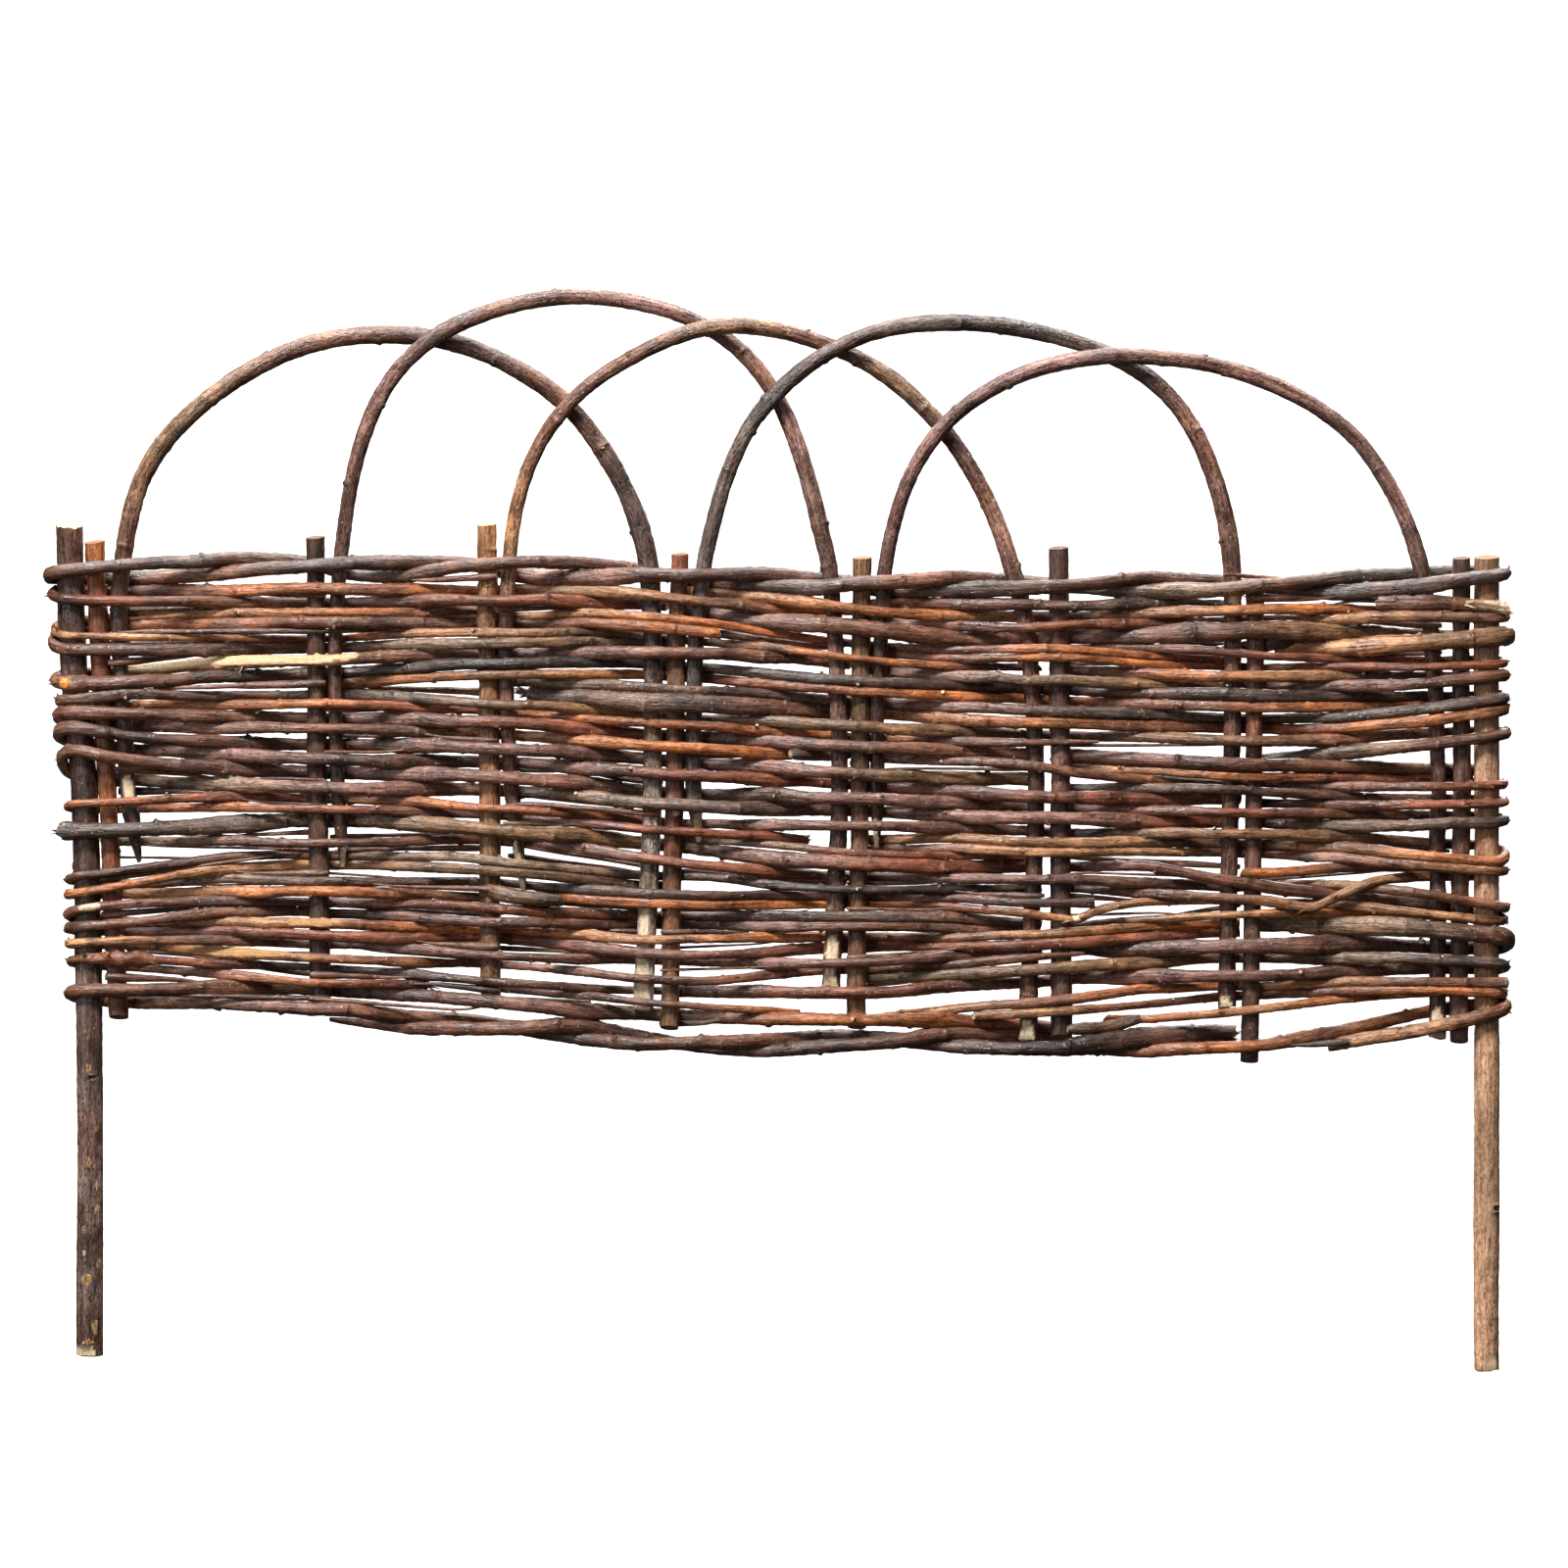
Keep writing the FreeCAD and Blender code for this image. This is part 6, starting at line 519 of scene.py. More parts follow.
        # unwrap: the strip is laid in rows, with one more row for buds and end points
        prof = np.linalg.norm(np.diff(allrings.mean(1), axis=0), axis=1)
        gap_r = np.abs(np.diff(np.linalg.norm(allrings - allrings.mean(1, keepdims=True), axis=-1).mean(1)))
        run = np.r_[0, np.cumsum(np.maximum(prof, gap_r) + 0.02)]
        rows = max(1, int(round(math.sqrt(run[-1] / (2 * math.pi * radius)))))
        self.rows = rows + 1 + len(twigs)
        self.cell_row = rows
        row_len = run[-1] / rows * 1.02 + 8
        row = np.minimum((run[:-1] / (run[-1] / rows + 1e-9)).astype(int), rows - 1)
        start = np.array([run[np.where(row == r)[0][0]] if (row == r).any() else 0 for r in range(rows)])
        u0 = (run[:-1] - start[row]) / row_len
        u1 = (run[1:] - start[row]) / row_len
        va = (row[:, None] + 0.06 + 0.88 * jj[None] / m) / self.rows
        vb = (row[:, None] + 0.06 + 0.88 * (jj[None] + 1) / m) / self.rows
        U0, U1 = np.repeat(u0[:, None], m, 1) + 0.002, np.repeat(u1[:, None], m, 1) + 0.002
        uvq = np.stack([np.stack([U0, va], -1), np.stack([U0, vb], -1), np.stack([U1, vb], -1), np.stack([U1, va], -1)], 2).reshape(-1, 4, 2)
        self.quads, self.quv = [quads], [uvq]
        self.tris, self.tuv = [], []
        self.count = k * m
        self.cells = 0
        self.max_cells = 2 + 3 * len(node_s) + 40
        for end in (0, 1):
            tip = caps[end][1]
            ring = (0 if end == 0 else (k - 1) * m) + jj
            self.add_point(tip, ends_col[end] * 0.8, 1.0, np.array([self.shift[0], self.shift[1], self.shift[2] + (0 if end == 0 else L)]))
            c = self.count - 1
            nxt = ring[j2]
            tri = np.stack([np.full(m, c), nxt, ring], -1) if end == 0 else np.stack([np.full(m, c), ring, nxt], -1)
            cell = self.cell()
            ang = np.arange(m + 1) * 2 * math.pi / m
            rim = lambda a: np.stack([cell[0] + cell[2] * (0.5 + 0.42 * np.cos(a)), cell[1] + cell[3] * (0.5 + 0.42 * np.sin(a))], -1)
            mid = np.tile([cell[0] + cell[2] * 0.5, cell[1] + cell[3] * 0.5], (m, 1))
            pair = (rim(ang[1:]), rim(ang[:-1])) if end == 0 else (rim(ang[:-1]), rim(ang[1:]))
            self.tris.append(tri)
            self.tuv.append(np.stack([mid, pair[0], pair[1]], 1))
        # buds and pruned side shoots
        for p, ang in zip(node_s, node_a):
            roll = rng.uniform()
            if any(c["s0"] - 3 < p < c["s1"] + 3 for c in cuts) or p < 4 or p > L - 4:
                continue
            if roll > bud_share + stub_share:
                continue
            c0, t0, n0, b0 = (v[0] for v in line.at(np.array([p + 0.6])))
            out = math.cos(ang) * n0 + math.sin(ang) * b0
            side = np.cross(t0, out)
            k_here = int(np.argmin(np.abs(q - p)))
            r_here = float(np.linalg.norm(O[k_here], axis=1).mean())
            near = col[int(np.argmin(np.abs(q - p)))].mean(0)
            if roll < stub_share:
                self.stub(c0 + out * r_here * 0.7, unit(out * 0.8 + t0 * rng.uniform(-0.2, 0.9)), rng.uniform(1.6, 3.4), rng.uniform(0.9, 1.5), near, p)
            else:
                self.bud(c0 + out * r_here * 0.96, t0 * (1 if rng.uniform() < 0.9 else -1), out, side, rng.uniform(2.4, 4.2) * min(1.0, 0.5 + radius / 8), rng.uniform(0.8, 1.25), near, p)

        for s, face, length, wide, tone in lenses:
            c0, t0, n0, b0 = (v[0] for v in line.at(np.array([s])))
            out = np.array(face, float)
            out = unit(out - (out @ t0) * t0)
            side = np.cross(t0, out)
            k_here = int(np.argmin(np.abs(q - s)))
            r_here = float((O[k_here] @ out).max())
            self.lens(c0 + out * r_here * 0.985, t0, out, side, length, wide, lin(tone), s)
        for k, (path, radii, tone_word) in enumerate(twigs):
            self.twig(path, radii, tone_word, rows + 1 + k)

    def twig(self, path, radii, tone_word, row):
        """A side shoot along its own line, thin and uneven, with closed ends."""
        rng = self.rng
        line = Line(smooth(path, 4))
        L = line.length
        q = np.linspace(0, L, max(6, int(L / 3.0)))
        C, T, N, B = line.at(q)
        n, m = len(q), 9
        th = np.arange(m) * 2 * math.pi / m
        R = np.interp(q / L, np.linspace(0, 1, len(radii)), radii)[:, None] * (1 + 0.07 * wander(q, 14, rng)[:, None] + 0.05 * np.cos(2 * th[None] + 0.1 * q[:, None]) + 0.02 * rng.normal(size=(n, m)))
        R[-1] *= 0.8
        P = C[:, None] + R[..., None] * (np.cos(th)[None, :, None] * N[:, None] + np.sin(th)[None, :, None] * B[:, None])
        word = np.array([TONES[c] for c in tone_word])
        col = np.stack([np.interp(q / L, np.linspace(0, 1, len(word)), word[:, k]) for k in range(3)], -1)
        col = np.repeat(col[:, None], m, 1) * (1 + 0.16 * wander(q, 10, rng)[:, None] + 0.06 * rng.normal(size=(n, m)))[..., None]
        base = self.count
        shift = rng.uniform(0, 2000, size=3)
        off = P - C[:, None]
        co = np.stack([(off * N[:, None]).sum(-1) + shift[0], (off * B[:, None]).sum(-1) + shift[1], np.repeat(q[:, None], m, 1) + shift[2]], -1)
        self.verts += [P.reshape(-1, 3), C[:1], C[-1:] + T[-1:] * 0.3]
        self.tone += [np.clip(col.reshape(-1, 3), 0.004, 0.95), col[:1, 0], TONES["c"][None] * 0.8]
        self.cut += [np.zeros(n * m), np.zeros(1), np.ones(1)]
        self.co += [co.reshape(-1, 3), co[0, :1], co[-1, :1]]
        self.count += n * m + 2
        jj = np.arange(m)
        j2 = (jj + 1) % m
        ii = base + np.arange(n - 1)[:, None] * m
        self.quads.append(np.stack([ii + jj, ii + j2, ii + m + j2, ii + m + jj], -1).reshape(-1, 4))
        u = 0.03 + 0.94 * q / L
        v = (row + 0.06 + 0.88 * np.arange(m + 1) / m) / self.rows
        U0, U1 = np.repeat(u[:-1, None], m, 1), np.repeat(u[1:, None], m, 1)
        va, vb = np.repeat(v[None, :-1], n - 1, 0), np.repeat(v[None, 1:], n - 1, 0)
        self.quv.append(np.stack([np.stack([U0, va], -1), np.stack([U0, vb], -1), np.stack([U1, vb], -1), np.stack([U1, va], -1)], 2).reshape(-1, 4, 2))
        a, b = base + n * m, base + n * m + 1
        last = base + (n - 1) * m
        self.tris.append(np.stack([np.full(m, a), base + j2, base + jj], -1))
        self.tuv.append(np.stack([np.stack([np.full(m, 0.005), 0.5 * (v[:-1] + v[1:])], -1), np.stack([np.full(m, u[0]), v[1:]], -1), np.stack([np.full(m, u[0]), v[:-1]], -1)], 1))
        self.tris.append(np.stack([np.full(m, b), last + jj, last + j2], -1))
        self.tuv.append(np.stack([np.stack([np.full(m, 0.995), 0.5 * (v[:-1] + v[1:])], -1), np.stack([np.full(m, u[-1]), v[:-1]], -1), np.stack([np.full(m, u[-1]), v[1:]], -1)], 1))

    def cell(self):
        w = 1.0 / self.max_cells
        c = (self.cells * w, (self.cell_row + 0.05) / self.rows, w * 0.94, 0.9 / self.rows)
        self.cells = min(self.cells + 1, self.max_cells - 1)
        return c

    def add_point(self, p, col, cut, co):
        self.verts.append(np.asarray(p, float).reshape(1, 3))
        self.tone.append(np.clip(np.asarray(col, float).reshape(1, 3), 0.004, 0.95))
        self.cut.append(np.array([float(cut)]))
        self.co.append(np.asarray(co, float).reshape(1, 3))
        self.count += 1

    def lump(self, rings, cols, cuts, p):
        """A small closed form of stacked rings of equal count, ended by single points."""
        m = len(rings[0])
        base = self.count
        for ring, col, cut in zip(rings, cols, cuts):
            for v in ring:
                self.add_point(v, col, cut, self.shift + np.array([0.0, 0.0, p]) + (v - rings[0].mean(0)))
        first, last = rings[0].mean(0), rings[-1].mean(0)
        self.add_point(first, cols[0], cuts[0], self.shift + np.array([0.0, 0.0, p]))
        self.add_point(last, cols[-1], cuts[-1], self.shift + np.array([0.0, 0.0, p]) + (last - first))
        k = len(rings)
        x, y, w, h = self.cell()
        V = lambda i, j: (x + w * (0.04 + 0.92 * j / m), y + h * (0.1 + 0.8 * i / (k - 1)))
        for i in range(k - 1):
            for j in range(m):
                j2 = (j + 1) % m
                self.quads.append(np.array([[base + i * m + j, base + i * m + j2, base + (i + 1) * m + j2, base + (i + 1) * m + j]]))
                self.quv.append(np.array([[V(i, j), V(i, j + 1), V(i + 1, j + 1), V(i + 1, j)]]))
        for j in range(m):
            j2 = (j + 1) % m
            self.tris.append(np.array([[base + k * m, base + j2, base + j]]))
            self.tuv.append(np.array([[(x + w * (0.04 + 0.92 * (j + 0.5) / m), y), V(0, j + 1), V(0, j)]]))
            self.tris.append(np.array([[base + k * m + 1, base + (k - 1) * m + j, base + (k - 1) * m + j2]]))
            self.tuv.append(np.array([[(x + w * (0.04 + 0.92 * (j + 0.5) / m), y + h), V(k - 1, j), V(k - 1, j + 1)]]))

    def bud(self, at, t, out, side, length, height, near, p):
        a = np.arange(6) * math.pi / 3
        if np.dot(np.cross(side, out), t) < 0:
            side = -side
        ring = lambda sx, sy, up, fwd: np.array([at + t * (fwd + sx * math.cos(x)) - side * (sy * math.sin(x)) + out * up for x in a])
        wide = 0.36 * length
        rings = [ring(0.5 * length, wide, -0.5, 0.1 * length), ring(0.46 * length, wide * 0.9, 0.35 * height, 0.16 * length), ring(0.26 * length, wide * 0.55, 0.85 * height, 0.3 * length), ring(0.08 * length, wide * 0.2, 0.95 * height, 0.5 * length)]
        tint = near * self.rng.uniform(0.55, 1.1)
        tip = 0.6 * tint + 0.4 * TONES["t"]
        self.lump(rings, [tint * 0.7, tint, tip, tip], [0, 0, 0, 0], p)

    def lens(self, at, t, out, side, length, wide, tint, p):
        """A low, lens-shaped scar in the bark."""
        a = np.arange(8) * math.pi / 4
        if np.dot(np.cross(side, out), t) < 0:
            side = -side
        jag = 1 + 0.18 * self.rng.normal(size=8)
        ring = lambda f, up: np.array([at + t * (0.5 * length * f * j * math.cos(x)) - side * (0.5 * wide * f * j * math.sin(x)) + out * up for x, j in zip(a, jag)])
        self.lump([ring(1.0, -0.4), ring(0.95, 0.14), ring(0.62, 0.42), ring(0.25, 0.36)], [tint * 0.4, tint * 0.65, tint * (0.84, 0.90, 1.05), tint * (0.62, 0.64, 0.72)], [0, 0, 0, 0], p)

    def stub(self, at, axis, length, r, near, p, pale=True, bend=None):
        ref = np.array([0.3, 0.5, 0.8])
        n = unit(ref - (ref @ axis) * axis)
        b = np.cross(axis, n)
        a = np.arange(7) * 2 * math.pi / 7
        ring = lambda d, f: np.array([at + axis * d + (n * math.cos(x) + b * math.sin(x)) * r * f for x in a])
        rings = [ring(-1.0, 1.25), ring(0.25 * length, 1.05), ring(length * 0.97, 0.97), ring(length, 0.86), ring(length + 0.05, 0.45)]
        bark = near * 0.8
        end = TONES["c"] * self.rng.uniform(0.7, 1.0) if pale else near * 0.6
        self.lump(rings, [bark, bark, bark, end, end], [0, 0, 0, 1 if pale else 0, 1 if pale else 0], p)

    def splinter(self, at, axis, length, r, col, p, cut=1.0, curl=None):
        """A long thin sliver that narrows to a point."""
        axis = unit(np.asarray(axis, float))
        ref = np.array([0.3, 0.5, 0.8])
        n = unit(ref - (ref @ axis) * axis)
        b = np.cross(axis, n)
        a = np.arange(5) * 2 * math.pi / 5
        rings = []
        for f, w in ((0, 1.0), (0.3, 0.95), (0.6, 0.75), (0.85, 0.4), (1.0, 0.06)):
            mid = at + axis * length * f
            if curl is not None:
                mid = mid + np.asarray(curl, float) * length * f * f
            rings.append(np.array([mid + (n * math.cos(x) * 0.55 + b * math.sin(x)) * r * w for x in a]))
        self.lump(rings, [col] * 5, [cut] * 5, p)

    def build(self, material):
        V = np.concatenate(self.verts) / 1000.0
        quads, tris = np.concatenate(self.quads), np.concatenate(self.tris)
        me = bpy.data.meshes.new(self.name)
        nq, nt = len(quads), len(tris)
        me.vertices.add(len(V))
        me.vertices.foreach_set("co", V.astype(np.float32).ravel())
        me.loops.add(4 * nq + 3 * nt)
        me.polygons.add(nq + nt)
        me.loops.foreach_set("vertex_index", np.concatenate([quads.ravel(), tris.ravel()]).astype(np.int32))
        me.polygons.foreach_set("loop_start", np.concatenate([np.arange(nq) * 4, 4 * nq + np.arange(nt) * 3]).astype(np.int32))
        me.polygons.foreach_set("use_smooth", np.ones(nq + nt, bool))
        uv = np.concatenate([np.concatenate(self.quv).reshape(-1, 2), np.concatenate(self.tuv).reshape(-1, 2)])
        layer = me.uv_layers.new(name="OFBake")
        layer.data.foreach_set("uv", uv.astype(np.float32).ravel())
        tone = np.concatenate(self.tone)
        att = me.attributes.new("tone", "FLOAT_COLOR", "POINT")
        att.data.foreach_set("color", np.c_[tone, np.ones(len(tone))].astype(np.float32).ravel())
        att = me.attributes.new("cut", "FLOAT", "POINT")
        att.data.foreach_set("value", np.concatenate(self.cut).astype(np.float32))
        att = me.attributes.new("barkco", "FLOAT_VECTOR", "POINT")
        att.data.foreach_set("vector", (np.concatenate(self.co) / 1000.0).astype(np.float32).ravel())
        me.update(calc_edges=True)
        me.validate()
        me.set_sharp_from_angle(angle=math.radians(50))
        me.materials.append(material)
        ob = bpy.data.objects.new(self.name, me)
        bpy.context.scene.collection.objects.link(ob)
        return ob


def tone_tracks(words, spans, L, tint=(1.0, 1.0, 1.0)):
    """Tone along the length: each word covers its span (start, end in share of the length)."""
    xs, cols = [], []
    for word, (a, b) in zip(words, spans):
        k = len(word)
        for i, ch in enumerate(word):
            xs.append(a + (b - a) * (i + 0.5) / k)
            cols.append(TONES[ch] * np.array(tint))
    xs, cols = np.array(xs), np.array(cols)
    order = np.argsort(xs)
    xs, cols = xs[order], cols[order]
    grid = np.linspace(0, 1, max(40, int(L / 6)))
    out = []
    for k in range(3):
        v = np.interp(grid, xs, cols[:, k])
        out.append((grid, smooth(v, 1.3)))
    return out


# ---------------------------------------------------------------- materials
def bark_material(name, streak=520.0, patch=150.0, lenticel=0.6, rough=(0.24, 0.52), bump=0.8, contrast=1.05, scuff=0.60, fleck=(0.57, 0.68), grit=0.30, pale=(1.90, 1.86, 1.78)):
    mat = bpy.data.materials.new(name)
    mat.use_nodes = True
    nt = mat.node_tree
    nt.nodes.clear()
    N = lambda kind, **kw: _node(nt, kind, **kw)
    link = nt.links.new
    out = N("ShaderNodeOutputMaterial")
    bsdf = N("ShaderNodeBsdfPrincipled")
    bsdf.inputs["Specular IOR Level"].default_value = 0.5
    link(bsdf.outputs[0], out.inputs[0])
    tone = N("ShaderNodeAttribute", attribute_name="tone")
    cut = N("ShaderNodeAttribute", attribute_name="cut")
    co = N("ShaderNodeAttribute", attribute_name="barkco")

    def noise(scale, stretch, detail=3.0, roughness=0.6):
        mp = N("ShaderNodeMapping")
        mp.inputs["Scale"].default_value = stretch
        link(co.outputs["Vector"], mp.inputs["Vector"])
        nz = N("ShaderNodeTexNoise")
        nz.inputs["Scale"].default_value = scale
        nz.inputs["Detail"].default_value = detail
        nz.inputs["Roughness"].default_value = roughness
        link(mp.outputs[0], nz.inputs["Vector"])
        return nz.outputs[0]

    def ranged(value, a, b, c, d):
        mr = N("ShaderNodeMapRange")
        link(value, mr.inputs["Value"])
        for key, v in (("From Min", a), ("From Max", b), ("To Min", c), ("To Max", d)):
            mr.inputs[key].default_value = v
        return mr.outputs[0]

    def math_(op, a, b):
        mt = N("ShaderNodeMath", operation=op)
        for i, v in enumerate((a, b)):
            if isinstance(v, (int, float)):
                mt.inputs[i].default_value = v
            else:
                link(v, mt.inputs[i])
        return mt.outputs[0]

    def mix(fac, a, b):
        mx = N("ShaderNodeMix", data_type="RGBA")
        if isinstance(fac, (int, float)):
            mx.inputs[0].default_value = fac
        else:
            link(fac, mx.inputs[0])
        for i, v in ((6, a), (7, b)):
            if isinstance(v, tuple):
                mx.inputs[i].default_value = (*v, 1.0)
            else:
                link(v, mx.inputs[i])
        return mx.outputs[2]

    streaks = noise(streak, (1, 1, 0.075), 3.0, 0.66)
    patches = noise(patch, (1, 1, 0.38), 3.0, 0.64)
    flecks = noise(640.0, (1, 1, 0.36), 2.0, 0.5)
    weather = noise(72.0, (1, 1, 0.36), 5.0, 0.72)
    lines = noise(300.0, (1, 1, 0.045), 2.0, 0.5)
    cracks = ranged(math_("ABSOLUTE", math_("SUBTRACT", lines, 0.5), 0.0), 0.0, 0.022, 1.0, 0.0)
    mp = N("ShaderNodeMapping")
    mp.inputs["Scale"].default_value = (0.75, 0.75, 1.0)
    link(co.outputs["Vector"], mp.inputs["Vector"])
    vor = N("ShaderNodeTexVoronoi")
    vor.inputs["Scale"].default_value = 260.0
    link(mp.outputs[0], vor.inputs["Vector"])
    sep = N("ShaderNodeSeparateColor")
    link(vor.outputs["Color"], sep.inputs[0])
    dots = math_("MULTIPLY", ranged(vor.outputs["Distance"], 0.10, 0.20, 1.0, 0.0), ranged(sep.outputs[0], 0.60, 0.72, 0.0, 1.0))

    level = math_("MULTIPLY", ranged(streaks, 0.32, 0.68, 1 - 0.52 * contrast, 1 + 0.50 * contrast), ranged(patches, 0.30, 0.70, 1 - 0.46 * contrast, 1 + 0.46 * contrast))
    level = math_("MULTIPLY", level, ranged(noise(950.0, (1, 1, 0.45), 2.0, 0.6), 0.32, 0.68, 1 - grit, 1 + grit))
    tint = N("ShaderNodeCombineXYZ")
    link(level, tint.inputs[0])
    for i, k in ((1, 1.14), (2, 1.30)):
        link(math_("MAXIMUM", math_("SUBTRACT", math_("MULTIPLY", level, k), k - 1.0), 0.04), tint.inputs[i])
    sc = N("ShaderNodeVectorMath", operation="MULTIPLY")
    link(tone.outputs["Color"], sc.inputs[0])
    link(tint.outputs[0], sc.inputs[1])
    lift = N("ShaderNodeVectorMath", operation="MULTIPLY")
    link(tone.outputs["Color"], lift.inputs[0])
    lift.inputs[1].default_value = pale
    bark = mix(ranged(weather, 0.565, 0.615, 0.0, scuff), sc.outputs[0], lift.outputs[0])
    deep = N("ShaderNodeVectorMath", operation="MULTIPLY")
    link(tone.outputs["Color"], deep.inputs[0])
    deep.inputs[1].default_value = (0.30, 0.20, 0.15)
    bark = mix(math_("MULTIPLY", cracks, ranged(patches, 0.40, 0.62, 0.04, 0.50)), bark, deep.outputs[0])
    bark = mix(ranged(flecks, fleck[0], fleck[1], 0.0, 0.72), bark, deep.outputs[0])
    bark = mix(math_("MULTIPLY", dots, 0.7 * lenticel), bark, (0.60, 0.45, 0.33))
    grain = noise(1100.0, (1, 1, 0.03), 3.0, 0.6)
    stain = noise(210.0, (1, 1, 0.3), 3.0, 0.6)
    wsc = N("ShaderNodeVectorMath", operation="SCALE")
    link(tone.outputs["Color"], wsc.inputs[0])
    link(math_("MULTIPLY", ranged(grain, 0.3, 0.7, 0.74, 1.18), ranged(stain, 0.35, 0.7, 0.92, 1.10)), wsc.inputs["Scale"])
    wood = mix(ranged(stain, 0.60, 0.78, 0.0, 0.35), wsc.outputs[0], (0.55, 0.33, 0.17))
    colour = mix(cut.outputs["Fac"], bark, wood)
    link(colour, bsdf.inputs["Base Color"])
    ro = N("ShaderNodeMix", data_type="FLOAT")
    link(cut.outputs["Fac"], ro.inputs[0])
    link(ranged(patches, 0.3, 0.7, rough[0], rough[1]), ro.inputs[2])
    ro.inputs[3].default_value = 0.78
    link(ro.outputs[0], bsdf.inputs["Roughness"])
    h = math_("ADD", streaks, ranged(flecks, fleck[0] - 0.02, fleck[1] + 0.01, 0.0, -0.3))
    h = math_("ADD", h, math_("MULTIPLY", patches, 0.9))
    bp = N("ShaderNodeBump")
    bp.inputs["Strength"].default_value = bump
    bp.inputs["Distance"].default_value = 0.0010
    link(h, bp.inputs["Height"])
    link(bp.outputs[0], bsdf.inputs["Normal"])
    return mat


def _node(nt, kind, **kw):
    n = nt.nodes.new(kind)
    for key, v in kw.items():
        setattr(n, key, v)
    return n


BARK = bark_material("willow_rod_bark")
HOOP = bark_material("willow_hoop_bark", streak=430.0, patch=115.0, lenticel=0.8, rough=(0.28, 0.56), bump=1.0, contrast=1.2, scuff=0.40, fleck=(0.55, 0.64), grit=0.48)
STAKE = bark_material("willow_stake_bark", streak=400.0, patch=110.0, lenticel=0.6, rough=(0.34, 0.60), bump=0.9, contrast=0.95, scuff=0.5)
POST = bark_material("willow_post_bark", streak=480.0, patch=170.0, lenticel=0.5, rough=(0.28, 0.48), bump=0.8, contrast=1.2, scuff=0.45, fleck=(0.56, 0.65), grit=0.52)

PEELED = bark_material("willow_peeled_post", streak=420.0, patch=230.0, lenticel=0.3, rough=(0.40, 0.64), bump=0.8, contrast=0.70, scuff=0.42, fleck=(0.57, 0.70), grit=0.36, pale=(1.42, 1.50, 1.55))

FRONT = (0.0, -1.0, 0.0)


def place(wood, node, material):
    ob = wood.build(material)
    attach(ob, "root")
    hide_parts(node)
    return ob


# side shoots and torn fibres: leg (or photo row on a hoop), photo column, direction, length and radius in mm, tone, bare wood, curl
SHOOTS = {
    "right_weaver_15": [(0, 930, (0.95, -0.16, 0.26), 47, 1.5, "t", 0, (0, 0, -0.04)), (0, 1100, (0.8, -0.5, 0.3), 10, 1.2, "t", 0, None), (0, 1092, (-0.7, -0.6, -0.2), 7, 1.1, "c", 1, None)],
    "left_weaver_05": [(0, 66, (-0.95, -0.2, -0.12), 8, 1.3, "b", 0, None), (1, 250, (-0.35, -0.5, -0.8), 7, 1.0, "c", 1, None), (1, 240, (0.8, -0.5, -0.5), 8, 0.8, "t", 1, None)],
    "left_weaver_03": [(0, 62, (-0.4, -0.6, 0.7), 8, 1.0, "t", 0, None)],
    "left_weaver_16": [(0, 92, (-0.6, -0.7, 0.5), 8, 1.3, "t", 1, None), (0, 110, (0.5, -0.8, 0.4), 9, 1.3, "o", 0, None), (0, 150, (0.9, -0.4, -0.3), 12, 1.5, "l", 0, None)],
    "left_weaver_07": [(0, 258, (0.7, -0.6, 0.4), 7, 0.9, "c", 1, None)],
    "right_weaver_08": [(0, 1344, (0.4, -0.6, 0.7), 7, 1.0, "t", 0, None)],
    "short_weaver_06": [(0, 1332, (-0.8, -0.45, -0.4), 9, 1.2, "t", 0, None), (0, 1322, (-0.9, -0.3, -0.5), 8, 1.0, "k", 0, None)],
    "hoop_1": [(850, 668, (-0.5, -0.8, 0.2), 6, 1.3, "k", 0, None), (858, 664, (0.4, -0.8, -0.3), 6, 1.3, "k", 0, None), (866, 664, (-0.4, -0.8, -0.5), 6, 1.2, "k", 0, None), (575, 668, (-0.6, -0.6, 0.5), 6, 0.9, "u", 0, None)],
    "hoop_4": [(604, 1258, (0.7, -0.6, -0.4), 9, 1.1, "c", 1, None), (608, 1270, (0.8, -0.5, 0.2), 8, 1.0, "c", 1, None)],
}
# a frayed end: leg, photo column, direction of the fibres, count, longest, tone, bare wood
FRAYS = {
    "short_weaver_02": [(0, 540, (-1, -0.2, 0.10), 14, 15, "w", 1), (0, 544, (-1, -0.1, -0.05), 8, 13, "s", 0)],
    "short_weaver_04": [(0, 63, (-1, -0.2, 0.0), 6, 5, "k", 0)],
    "short_weaver_01": [(0, 1528, (1, -0.45, -0.15), 9, 6, "t", 1), (0, 1520, (0.9, -0.5, 0.25), 5, 7, "c", 1), (0, 1492, (0.8, -0.6, -0.2), 4, 10, "c", 1)],
    "left_weaver_16": [(1, 436, (1, -0.15, -0.1), 5, 10, "b", 0)],
    "left_weaver_17": [(1, 1258, (1, -0.2, 0.1), 5, 8, "w", 1)],
    "left_weaver_10": [(1, 818, (1, -0.1, 0.0), 4, 9, "c", 1)],
}


